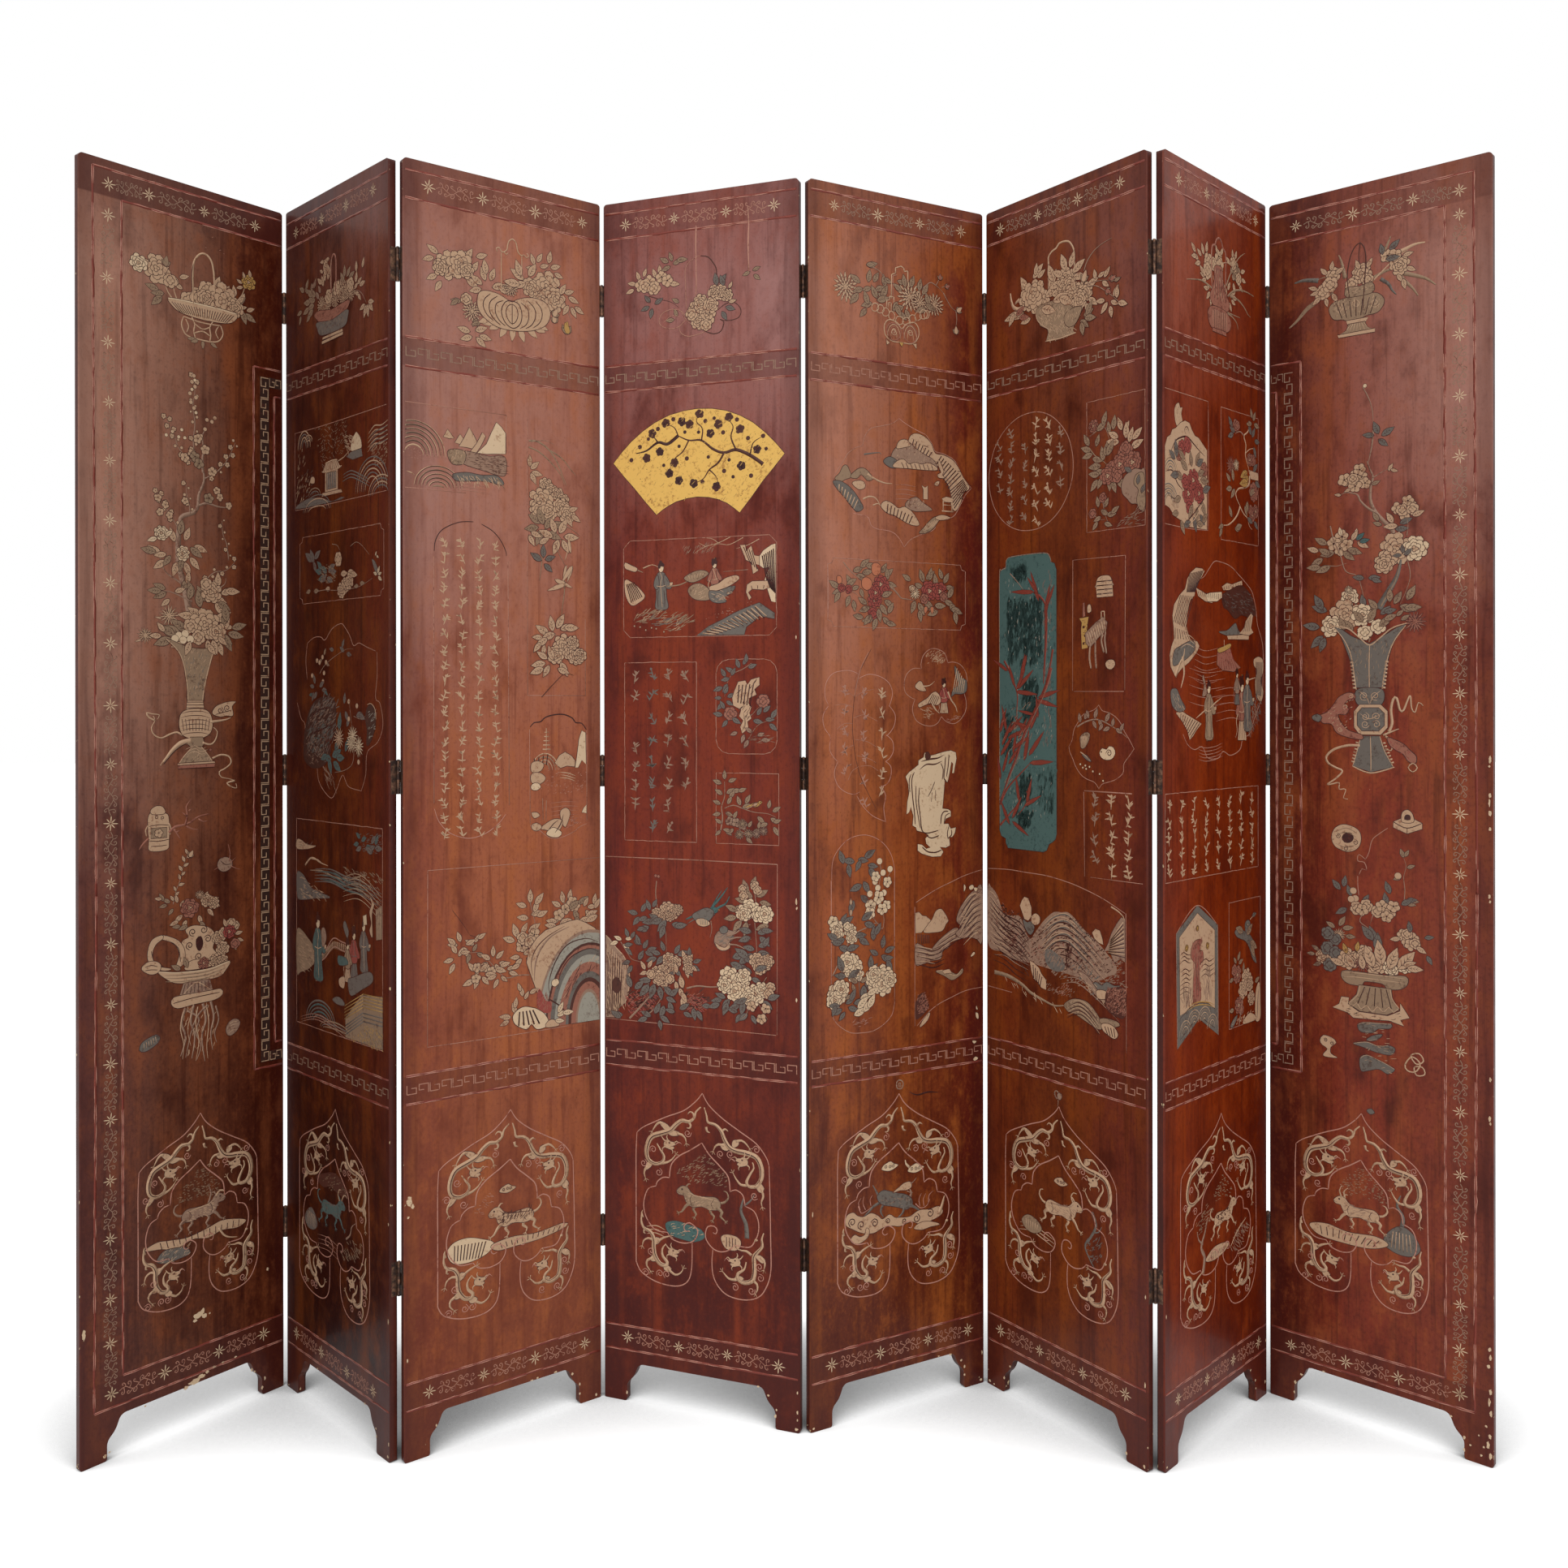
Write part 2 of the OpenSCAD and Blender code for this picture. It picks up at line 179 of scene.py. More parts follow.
def lacquer(name, leaf, left, middle, right, warm, dark, sheen_colour=PAINTED_SHEEN, sheen_amount=(0.0, 0.0), sheen_reach=1000,
            sunk=0.0, knocked=0.1, headed=0.0, bands=(NO_BAND,) * 8):
    """Brown lacquer on cloth and clay over boards, brushed on upright and rubbed down by hand. The eye gets
    clouded brown with soft upright streaks from orange-brown to near black, a pale painted sheen towards the
    top that stands in for the reflection of a bright studio, deeper colour near the floor, a thin sharp
    gloss, fine bristle marks, and pale clay where edges are chipped. The colours are those at the left,
    middle and right, and of the warm and the dark clouds; the change from left to right is partly painted
    light."""
    made, tree, out = material(name)
    x, y, a = CORNERS[leaf - 1]
    place = (-(x * math.cos(a) + y * math.sin(a)), x * math.sin(a) - y * math.cos(a), 0)
    spot = node(tree, "ShaderNodeTexCoord").outputs["Object"]
    local = node(tree, "ShaderNodeMapping",
                 {"Vector": spot, "Location": place, "Rotation": (0, 0, -a),
                  "Scale": (1 / MM,) * 3}).outputs[0]
    part = node(tree, "ShaderNodeSeparateXYZ", {0: local})
    across, up = part.outputs[0], part.outputs[2]
    noise = {}
    for key, (size, detail) in PATTERNS.items():
        vector = node(tree, "ShaderNodeMapping",
                      {"Vector": local, "Location": (leaf * 3.7, 0, leaf * 9.1),
                       "Scale": tuple(1 / s for s in size)})
        noise[key] = node(tree, "ShaderNodeTexNoise",
                          {"Vector": vector.outputs[0], "Scale": 1.0, "Detail": detail,
                           "Roughness": 0.62}).outputs[0]
    # The ground runs from the left colour through the middle to the right one: partly the lacquer's own
    # uneven tone, partly painted light, one side of a leaf lighter where its gloss catches the bright studio.
    ground = tone(middle)
    for start, end, colour in ((170, 10, left), (190, 395, right)):
        reach = node(tree, "ShaderNodeMapRange", {"Value": across, "From Min": start, "From Max": end},
                     interpolation_type="SMOOTHSTEP")
        ground = node(tree, "ShaderNodeMix", {0: reach.outputs[0], 6: ground, 7: tone(colour)},
                      data_type="RGBA").outputs[2]
    # A painted sheen lightens the top, standing in for a reflection, and the colour is deeper near the floor,
    # each with a cloudy border. The painted sheen is thinner at the very top.
    height = node(tree, "ShaderNodeMath", {0: noise["cloud"], 1: SWAY, 2: up},
                  operation="MULTIPLY_ADD").outputs[0]
    high = node(tree, "ShaderNodeMapRange",
                {"Value": height, "From Min": LEAF_H + SWAY / 2 - sheen_reach,
                 "From Max": LEAF_H + SWAY + 300 - sheen_reach}, interpolation_type="SMOOTHSTEP").outputs[0]
    side = node(tree, "ShaderNodeMapRange",
                {"Value": across, "From Max": LEAF_W, "To Min": sheen_amount[0], "To Max": sheen_amount[1]}).outputs[0]
    reach = node(tree, "ShaderNodeMath", {0: high, 1: side}, operation="MULTIPLY", use_clamp=True).outputs[0]
    sheen_brow = node(tree, "ShaderNodeMapRange",
                {"Value": up, "From Min": 2120.0, "From Max": 2230.0, "To Min": 1.0,
                 "To Max": 0.65}).outputs[0]
    reach = node(tree, "ShaderNodeMath", {0: reach, 1: sheen_brow}, operation="MULTIPLY").outputs[0]
    kept = node(tree, "ShaderNodeMath", {0: reach, 1: -0.7, 2: 1.0}, operation="MULTIPLY_ADD").outputs[0]
    ground = node(tree, "ShaderNodeMix", {0: reach, 6: ground, 7: tone(sheen_colour)}, data_type="RGBA").outputs[2]
    reach = node(tree, "ShaderNodeMapRange",
                 {"Value": height, "From Min": 1400.0, "From Max": 450.0, "To Max": sunk},
                 interpolation_type="SMOOTHSTEP").outputs[0]
    ground = node(tree, "ShaderNodeMix", {0: reach, 6: ground, 7: tone(dark)}, data_type="RGBA").outputs[2]
    # Each pattern, where it starts and is full, how strong it is and its colour. It is weaker under the
    # painted sheen.
    for key, low, high, most, colour in (
            ("band", 0.5, 0.7, 0.6, warm), ("cloud", 0.5, 0.68, 0.55, warm),
            ("mottle", 0.5, 0.68, 0.35, warm), ("speck", 0.5, 0.72, 0.22, warm),
            ("streak", 0.5, 0.66, 0.45, dark), ("cloud", 0.5, 0.3, 0.62, dark),
            ("mottle", 0.46, 0.3, 0.3, dark), ("speck", 0.5, 0.3, 0.3, dark),
            ("bristle", 0.55, 0.85, 0.28, dark), ("speck", 0.68, 0.8, 0.6, SPECK)):
        reach = node(tree, "ShaderNodeMapRange",
                     {"Value": noise[key], "From Min": low, "From Max": high, "To Max": most},
                     interpolation_type="SMOOTHSTEP").outputs[0]
        reach = node(tree, "ShaderNodeMath", {0: reach, 1: kept}, operation="MULTIPLY").outputs[0]
        ground = node(tree, "ShaderNodeMix", {0: reach, 6: ground, 7: tone(colour)},
                      data_type="RGBA").outputs[2]
    # The bands between the cinnabar lines, and all outside them, have a plainer, darker coat.
    for start, end, most in ((-PAST, bands[1], headed), (*bands[2:4], 0.4), (*bands[4:6], 0.4),
                             (bands[6], NO_BAND, 0.5)):
        middle_up, half = LEAF_H - (start + end) / 2, (end - start) / 2
        off = node(tree, "ShaderNodeMath", {0: up, 1: middle_up}, operation="SUBTRACT").outputs[0]
        off = node(tree, "ShaderNodeMath", {0: off}, operation="ABSOLUTE").outputs[0]
        reach = node(tree, "ShaderNodeMapRange",
                     {"Value": off, "From Min": half + 1, "From Max": half - 2, "To Max": most}).outputs[0]
        ground = node(tree, "ShaderNodeMix", {0: reach, 6: ground, 7: tone(COAT)},
                      data_type="RGBA").outputs[2]
    # The margins are darker, with an uneven inner edge.
    from_middle = node(tree, "ShaderNodeMath", {0: across, 1: LEAF_W / 2}, operation="SUBTRACT")
    from_middle = node(tree, "ShaderNodeMath", {0: from_middle.outputs[0]}, operation="ABSOLUTE").outputs[0]
    ragged = node(tree, "ShaderNodeMath", {0: noise["streak"], 1: 22.0, 2: from_middle},
                  operation="MULTIPLY_ADD").outputs[0]
    reach = node(tree, "ShaderNodeMapRange",
                 {"Value": ragged, "From Min": LEAF_W / 2 - MARGIN, "From Max": LEAF_W / 2 + 22 - MARGIN / 2,
                  "To Max": 0.4}, interpolation_type="SMOOTHSTEP")
    ground = node(tree, "ShaderNodeMix", {0: reach.outputs[0], 6: ground, 7: tone(BORDER)},
                  data_type="RGBA").outputs[2]
    # Clay shows where the long edges and the feet are knocked.
    edge = node(tree, "ShaderNodeMapRange",
                {"Value": from_middle, "From Min": LEAF_W / 2 - 5, "From Max": LEAF_W / 2, "To Max": knocked})
    foot = node(tree, "ShaderNodeMapRange", {"Value": up, "From Min": 74.0, "From Max": 0.0, "To Max": 0.09})
    worn = node(tree, "ShaderNodeMath", {0: edge.outputs[0], 1: foot.outputs[0]}, operation="ADD")
    worn = node(tree, "ShaderNodeMath", {0: worn.outputs[0], 1: noise["chip"]}, operation="ADD")
    chipped = node(tree, "ShaderNodeMapRange",
                   {"Value": worn.outputs[0], "From Min": 0.795, "From Max": 0.815}).outputs[0]
    colour = node(tree, "ShaderNodeMix", {0: chipped, 6: ground, 7: tone(CLAY)}, data_type="RGBA").outputs[2]
    rough = node(tree, "ShaderNodeMapRange",
                 {"Value": noise["mottle"], "From Min": 0.3, "From Max": 0.7, "To Min": 0.3,
                  "To Max": 0.5}).outputs[0]
    rough = node(tree, "ShaderNodeMix", {0: chipped, 2: rough, 3: 0.85}, data_type="FLOAT").outputs[0]
    gloss = node(tree, "ShaderNodeMapRange", {"Value": chipped, "To Min": 0.12, "To Max": 0.0}).outputs[0]
    hollow = node(tree, "ShaderNodeMath", {0: noise["bristle"], 1: 0.25, 2: noise["speck"]},
                  operation="MULTIPLY_ADD").outputs[0]
    hollow = node(tree, "ShaderNodeMath", {0: chipped, 1: -2.0, 2: hollow},
                  operation="MULTIPLY_ADD").outputs[0]
    bump = node(tree, "ShaderNodeBump", {"Height": hollow, "Strength": 0.3, "Distance": 0.0004})
    shader = node(tree, "ShaderNodeBsdfPrincipled", {
        "Base Color": colour, "Roughness": rough, "IOR": 1.5, "Specular IOR Level": 0.08,
        "Coat Weight": gloss, "Coat Roughness": 0.14, "Normal": bump.outputs[0]})
    tree.links.new(shader.outputs[0], out.inputs["Surface"])
    return made


def aged_brass(name, bright, dark, rough):
    """Cast and filed brass, gone brown with age and lacquered over. The eye gets a dull brown metal with
    brighter rubbed spots and dark grime in its hollows."""
    made, tree, out = material(name)
    spot = node(tree, "ShaderNodeTexCoord").outputs["Object"]
    stain = node(tree, "ShaderNodeTexNoise",
                 {"Vector": spot, "Scale": 1 / (9 * MM), "Detail": 5.0, "Roughness": 0.65}).outputs["Fac"]
    pits = node(tree, "ShaderNodeTexNoise",
                {"Vector": spot, "Scale": 1 / (1.2 * MM), "Detail": 3.0}).outputs["Fac"]
    reach = node(tree, "ShaderNodeMapRange", {"Value": stain, "From Min": 0.42, "From Max": 0.66}).outputs[0]
    colour = node(tree, "ShaderNodeMix", {0: reach, 6: tone(dark), 7: tone(bright)},
                  data_type="RGBA").outputs[2]
    metal = node(tree, "ShaderNodeMapRange",
                 {"Value": stain, "From Min": 0.35, "From Max": 0.6, "To Min": 0.45,
                  "To Max": 1.0}).outputs[0]
    dull = node(tree, "ShaderNodeMapRange",
                {"Value": stain, "From Min": 0.4, "From Max": 0.65, "To Min": rough + 0.2,
                 "To Max": rough}).outputs[0]
    bump = node(tree, "ShaderNodeBump", {"Height": pits, "Strength": 0.35, "Distance": 0.0003})
    shader = node(tree, "ShaderNodeBsdfPrincipled",
                  {"Base Color": colour, "Metallic": metal, "Roughness": dull, "Normal": bump.outputs[0]})
    tree.links.new(shader.outputs[0], out.inputs["Surface"])
    return made


# The colours set into the cut lacquer: fresh tone, worn tone, how much is worn, roughness.
PIGMENTS = {
    "ridge": ("#371510", "#52221a", 0.5, 0.42),
    "wash": ("#341f18", "#4a261d", 0.5, 0.5),
    "umber": ("#4a241a", "#36170f", 0.5, 0.5),
    "cinnabar": ("#7a3428", "#8f4a3a", 0.42, 0.5),
    "blush": ("#b98371", "#8d4b3b", 0.45, 0.55),
    "hairline": ("#ab7a66", "#7a4334", 0.5, 0.6),
    "cream": ("#be9b7c", "#94694e", 0.45, 0.66),
    "bone": ("#d6ba98", "#ae8868", 0.4, 0.62),
    "bark": ("#957662", "#6c4637", 0.5, 0.66),
    "sage": ("#93785f", "#69503f", 0.5, 0.66),
    "slate": ("#6a625a", "#4f4038", 0.5, 0.66),
    "mist": ("#9a9486", "#7b6d61", 0.45, 0.62),
    "teal": ("#46605c", "#2d4543", 0.5, 0.6),
    "pine": ("#3c5551", "#49605a", 0.4, 0.6),
    "rose": ("#96604e", "#6a3629", 0.5, 0.62),
    "crimson": ("#94453c", "#682a22", 0.45, 0.6),
    "peach": ("#b87050", "#8f4c33", 0.45, 0.6),
    "ochre": ("#b38a4c", "#7e542e", 0.45, 0.6),
    "gold": ("#e6b75e", "#b3823f", 0.5, 0.42),
}


def pigment(name, fresh, worn, share, rough, painted_shade=0.0):
    """Lime and glue colour laid into cut lacquer. The eye gets a chalky surface, mottled where it is thin and
    brown where it is rubbed away. Painted shade is how far a dark brown is mixed over all of it, to darken
    the inlay of a leaf in shade."""
    made, tree, out = material(name)
    spot = node(tree, "ShaderNodeTexCoord").outputs["Object"]
    mottle = node(tree, "ShaderNodeTexNoise",
                  {"Vector": spot, "Scale": 1 / (6 * MM), "Detail": 5.0, "Roughness": 0.7}).outputs["Fac"]
    rub = node(tree, "ShaderNodeTexNoise",
               {"Vector": spot, "Scale": 1 / (38 * MM), "Detail": 4.0, "Roughness": 0.65}).outputs["Fac"]
    both = node(tree, "ShaderNodeMath", {0: rub, 1: 0.55, 2: mottle}, operation="MULTIPLY_ADD").outputs[0]
    reach = node(tree, "ShaderNodeMapRange",
                 {"Value": both, "From Min": 1.0 - share * 0.42, "From Max": 1.12 - share * 0.3},
                 interpolation_type="SMOOTHSTEP").outputs[0]
    colour = node(tree, "ShaderNodeMix", {0: reach, 6: tone(fresh), 7: tone(worn)},
                  data_type="RGBA").outputs[2]
    # Painted shade: a dark brown mixed over all of the colour.
    colour = node(tree, "ShaderNodeMix", {0: painted_shade, 6: colour, 7: tone("#3a1c12")},
                  data_type="RGBA").outputs[2]
    bump = node(tree, "ShaderNodeBump", {"Height": both, "Strength": 0.4, "Distance": 0.0003})
    shader = node(tree, "ShaderNodeBsdfPrincipled",
                  {"Base Color": colour, "Roughness": rough, "Specular IOR Level": 0.3,
                   "Normal": bump.outputs[0]})
    tree.links.new(shader.outputs[0], out.inputs["Surface"])
    return made
# The drawing on a leaf. Sizes are millimetres: x runs right from the leaf's left edge and d runs
# down from its top. Every shape is one of three kinds: an area with an edge, a line with a width
# at each point, or a stamp, which is a small motif that Geometry Nodes set on a point.
# The lowest shape stands this proud of the lacquer, and each one laid on others a step more.
LOWEST = 0.16
STEP = 0.005
# The dark line round a shape.
RIM = 1.15
# Dark lines are drawn this much wider than their real width, so that they show.
RIDGE = 1.35
# Nothing drawn comes nearer to a leaf's side edges than this.
EDGE = 2.5

# How wide a leaf of a plant is for its length.
LEAF_SHARE = 0.45
# The cell of the key fret, and half of the scroll between two stars: length and width. Then a star's size.
FRET_CELL = (42, 18)
SCROLL = (78, 27)
STAR = 26

# The motifs, in the order in which Geometry Nodes pick them. A motif starts at the origin, is one
# long along +X and one wide, and is stretched by its stamp.
MOTIFS = ["oval", "lobe", "petal", "leaf", "veins", "tick", "star", "fret", "scroll"]


def threes(numbers):
    """The numbers as places with an angle."""
    return zip(numbers[::3], numbers[1::3], numbers[2::3])


def smooth(points, closed=False, pace=4.0):
    """A rounded curve through the points, with a new point about every pace."""
    n = len(points)
    if n < 3:
        return list(points)
    out = []
    for i in range(n if closed else n - 1):
        b, c = points[i], points[(i + 1) % n]
        a = points[i - 1] if closed or i else b
        d = points[(i + 2) % n] if closed or i + 2 < n else c
        count = max(2, min(9, int(math.dist(b[:2], c[:2]) / pace)))
        for j in range(count):
            t = j / count
            out.append(tuple(
                0.5 * (2 * q + (r - p) * t + (2 * p - 5 * q + 4 * r - s) * t * t
                       + (3 * q - p - 3 * r + s) * t ** 3)
                for p, q, r, s in zip(a, b, c, d)))
    return out if closed else out + [points[-1]]


def turned_left(points):
    """The same outline, running anticlockwise."""
    area = sum(p[0] * q[1] - q[0] * p[1] for p, q in zip(points, points[1:] + points[:1]))
    return points if area > 0 else points[::-1]


def widened(points, reach):
    """An outline that runs anticlockwise, moved outwards by a distance."""
    out = []
    n = len(points)
    for i, (x, y) in enumerate(points):
        (ax, ay), (bx, by) = points[i - 1], points[(i + 1) % n]
        tx, ty = bx - ax, by - ay
        size = math.hypot(tx, ty) or 1.0
        out.append((x + reach * ty / size, y - reach * tx / size))
    return out


def inside(x, y, outline):
    """Whether a point is inside an outline."""
    hit = False
    for (ax, ay), (bx, by) in zip(outline, outline[1:] + outline[:1]):
        if (ay > y) != (by > y) and x < ax + (bx - ax) * (y - ay) / (by - ay):
            hit = not hit
    return hit


def pairs(numbers):
    """The numbers as points."""
    return list(zip(numbers[::2], numbers[1::2]))


class Drawing:
    """The shapes of one leaf, sorted by pigment."""

    def __init__(self, seed):
        self.rng = random.Random(seed)
        self.areas, self.lines, self.stamps, self.laid = [], [], [], []
        self.at()

    def over(self, points, reach=0.0, layers=1):
        """The height for a shape in this box, which lies on every shape laid there before it."""
        xs, ys = [p[0] for p in points], [p[1] for p in points]
        box = (min(xs) - reach, min(ys) - reach, max(xs) + reach, max(ys) + reach)
        under = [top for a, b, c, d, top in self.laid
                 if a < box[2] and c > box[0] and b < box[3] and d > box[1]]
        level = max(under, default=0)
        self.laid.append((*box, level + layers))
        return LOWEST + STEP * level

    def at(self, x=0.0, d=0.0, sx=1.0, sd=None, origin=(0, 0), halves=(1, 1)):
        """Sets where the next shapes' origin goes, and their size. A negative sx mirrors them, and halves
        are further widths to the left and right of the origin."""
        self.place = (x, d, sx, abs(sx) if sd is None else sd)
        self.origin, self.halves = origin, halves

    def xy(self, p):
        """Where a point of the drawing lies on the leaf, from its lower left corner."""
        x, d, sx, sd = self.place
        px, pd = p[0] - self.origin[0], p[1] - self.origin[1]
        return (x + px * sx * self.halves[px > 0], LEAF_H - d - pd * sd)

    def size(self):
        """How much larger than written the next shapes are."""
        return math.sqrt(abs(self.place[2] * self.place[3]))

    def draw(self, text):
        """Draws the shapes of a text. Each line has their kind, pigment and sizes, then : and their places,
        with ; between two shapes. A line that starts with a space goes on with the one above."""
        for row in text.replace("\n ", " ").strip().splitlines():
            head, _, tail = row.partition(":")
            kind, *words = head.split()
            sizes = [float(w) if w.lstrip("-").replace(".", "", 1).isdigit() else w for w in words]
            for places in tail.split(";"):
                getattr(self, kind)(*sizes, [float(v) for v in places.split()])

    def put(self, name, robe, trim, numbers):
        """Draws a sketch at x d in a size, with its two main colours. A negative size mirrors it."""
        kept = self.place, self.origin, self.halves
        x, y = self.xy(numbers[:2])
        self.at(x, LEAF_H - y, numbers[2])
        self.draw(SKETCHES[name].replace("robe", robe).replace("trim", trim))
        self.place, self.origin, self.halves = kept

    # Areas
    def shape(self, pigment, outline, rim=RIM):
        """An area on what is there already, with the dark line round it."""
        outline = turned_left(outline)
        height = self.over(outline, rim, 2)
        if rim:
            self.area("ridge", widened(outline, rim), height)
        self.area(pigment, outline, height + STEP)

    def area(self, pigment, outline, height):
        """Keeps an outline, held inside the leaf's sides."""
        held = [(min(max(x, EDGE), LEAF_W - EDGE), y) for x, y in outline]
        if max(x for x, _ in held) - min(x for x, _ in held) > 1:
            self.areas.append((pigment, held, height))

    def fill(self, pigment, numbers, rim=RIM):
        """A rounded area."""
        self.shape(pigment, smooth([self.xy(p) for p in pairs(numbers)], True), rim)

    def bare(self, pigment, numbers):
        """A rounded area without the dark line round it."""
        self.fill(pigment, numbers, 0)

    def flat(self, pigment, numbers, rim=RIM):
        """An area with straight edges."""
        self.shape(pigment, [self.xy(p) for p in pairs(numbers)], rim)

    def chip(self, pigment, numbers):
        """Ragged knocked spots of bare clay: x d width height of each."""
        for x, d, wide, tall in zip(*[iter(numbers)] * 4):
            outline = []
            for turn in range(0, 360, 24):
                reach = self.rng.uniform(0.3, 0.5)
                across, down = math.cos(math.radians(turn)), math.sin(math.radians(turn))
                outline.append(self.xy((x + wide * reach * across, d + tall * reach * down)))
            self.shape(pigment, outline, 0)

    def arch(self, pigment, numbers):
        """A filled arch at x d with a half width and a height, cut off at a right edge."""
        x, d, half, high, edge = numbers
        steps = 18
        line = [(x - half * math.cos(math.pi * i / steps),
                 d - high * math.sin(math.pi * i / steps)) for i in range(steps + 1)]
        line = [p for p in line if p[0] < edge]
        line += [(edge, d - high * math.sqrt(1 - ((edge - x) / half) ** 2)), (edge, d)]
        self.shape(pigment, [self.xy(p) for p in line], 0)

    # Lines
    def stroke(self, pigment, points, widths, height=None):
        """Keeps a line of these widths, without its runs past the leaf's sides."""
        height = height or self.over(points, widths[0] / 2)
        if pigment == "ridge":
            widths = [w * RIDGE for w in widths]
        run = []
        for (x, y), w in [*zip(points, widths), ((-1, 0), 0)]:
            if EDGE < x < LEAF_W - EDGE:
                run.append((x, y, w / 2))
            elif run:
                if len(run) > 1:
                    self.lines.append((pigment, run, height))
                run = []

    def pen(self, pigment, width, numbers, ends=0.6, closed=False):
        """An even line, a little thinner at its ends."""
        points = smooth([self.xy(p) for p in pairs(numbers)], closed)
        if closed:
            points.append(points[0])
        n = len(points) - 1
        width *= self.size()
        self.stroke(pigment, points,
                    [width * (1 - (1 - ends) * abs(2 * i / n - 1) ** 6) for i in range(n + 1)])

    def brush(self, pigment, width, numbers):
        """A line that thins towards its end."""
        points = smooth([self.xy(p) for p in pairs(numbers)])
        n = len(points) - 1
        width *= self.size()
        self.stroke(pigment, points, [width * (1 - 0.75 * (i / n) ** 1.5) for i in range(n + 1)])

    def vein(self, pigment, width, numbers):
        """A line that is thickest in the middle."""
        points = smooth([self.xy(p) for p in pairs(numbers)])
        n = len(points) - 1
        width *= self.size()
        self.stroke(pigment, points, [width * (0.2 + 0.8 * math.sin(math.pi * i / n)) for i in range(n + 1)])

    def ribs(self, pigment, width, count, numbers):
        """Lines from one edge to another: the ends of the first edge, then of the second."""
        ax, ad, bx, bd, cx, cd, ex, ed = numbers
        for i in range(int(count)):
            t = (i + 0.5) / count
            start, end = [ax + (bx - ax) * t, ad + (bd - ad) * t], [cx + (ex - cx) * t, cd + (ed - cd) * t]
            self.rule(pigment, width * self.size(), start + end)

    def waves(self, pigment, width, count, gap, numbers):
        """A curve repeated downwards, thick in the middle."""
        for i in range(int(count)):
            line = [v + (gap * i if k % 2 else self.rng.uniform(-2, 2)) for k, v in enumerate(numbers)]
            self.vein(pigment, width, line)

    def arcs(self, pigment, other, count, step, wide, numbers):
        """Nested arches under x d with a half width and a height, in two colours by turns."""
        x, d, half, high = numbers
        for i in range(int(count)):
            r, h = half - i * step, high - i * step
            if r > 2 and h > 2:
                line = []
                for j in range(9):
                    t = math.pi * j / 8
                    line += [x - r * math.cos(t), d - h * math.sin(t)]
                self.vein((pigment, other)[i % 2], wide, line)

    def limb(self, pigment, width, numbers):
        """A leg that ends in claws."""
        self.brush(pigment, width, numbers)
        (ax, ad), (x, d) = pairs(numbers)[-2:]
        turn, claw = math.atan2(d - ad, x - ax), 7
        for spread in (-0.9, 0, 0.9):
            tip = [x + claw * math.cos(turn + spread), d + claw * math.sin(turn + spread)]
            self.pen(pigment, width * 0.32, [x, d] + tip)

    def ring(self, pigment, width, numbers):
        """A closed line."""
        self.pen(pigment, width, numbers, 1, True)

    def rule(self, pigment, width, numbers):
        """Straight lines from point to point."""
        points = [self.xy(p) for p in pairs(numbers)]
        for p, q in zip(points, points[1:]):
            self.stroke(pigment, [p, q], [width, width])

    def box(self, pigment, width, corner, cut, numbers):
        """A frame line round x d x d, with plain, cut, round or notched corners."""
        x0, d0, x1, d1 = numbers
        points = []
        for x, d, h, v in ((x0, d0, 1, 1), (x1, d0, -1, 1), (x1, d1, -1, -1), (x0, d1, 1, -1)):
            a, b = (x, d + v * cut), (x + h * cut, d)
            arc = [(x + h * cut * (1 - math.cos(t)), d + v * cut * (1 - math.sin(t)))
                   for t in (0, 0.52, 1.05, 1.57)]
            steps = {"plain": [(x, d)], "cut": [a, b], "round": arc,
                     "notch": [a, (x + h * cut * 0.75, d + v * cut * 0.75), b]}
            points += steps[corner] if h * v > 0 else steps[corner][::-1]
        points = [self.xy(p) for p in points + points[:1]]
        for p, q in zip(points, points[1:]):
            n, stray = max(1, int(math.dist(p, q) / 9)), 0.25
            line = [(p[0] + (q[0] - p[0]) * i / n + self.rng.gauss(0, stray),
                     p[1] + (q[1] - p[1]) * i / n + self.rng.gauss(0, stray)) for i in range(n + 1)]
            line[0], line[-1] = p, q
            self.stroke(pigment, line, [width * self.rng.uniform(0.7, 1.15) for _ in line], LOWEST - STEP)

    # Stamps
    def stamp(self, pigment, motif, x, y, turn, long, wide, height, rim=0.0):
        """A motif, on a larger dark one where it has a rim."""
        if rim:
            c, s = math.cos(math.radians(turn)), math.sin(math.radians(turn))
            self.mark("ridge", motif, x - c * rim, y - s * rim, turn, long + 2 * rim, wide + 2 * rim, height)
        self.mark(pigment, motif, x, y, turn, long, wide, height + STEP)

    def mark(self, pigment, motif, x, y, turn, long, wide, height):
        """Keeps a motif that lies inside the leaf's sides."""
        end = x + long * math.cos(math.radians(turn))
        if EDGE < x < LEAF_W - EDGE and EDGE < end < LEAF_W - EDGE:
            self.stamps.append((pigment, motif, x, y, turn, long, wide, height))

    def leaf(self, pigment, long, numbers):
        """Leaves with a dark rim and veins, from x d with an angle: 0 points right and 90 up."""
        long *= self.size()
        for x, d, turn in threes(numbers):
            x, y = self.xy((x, d))
            turn = 180 - turn if self.place[2] < 0 else turn
            size = long * self.rng.uniform(0.88, 1.12)
            tip = (x + size * math.cos(math.radians(turn)), y + size * math.sin(math.radians(turn)))
            wide = size * LEAF_SHARE
            height = self.over([(x, y), tip], wide / 2, 3)
            self.stamp(pigment, "leaf", x, y, turn, size, wide, height, RIM)
            self.stamp("ridge", "veins", x, y, turn, size, wide, height + STEP)

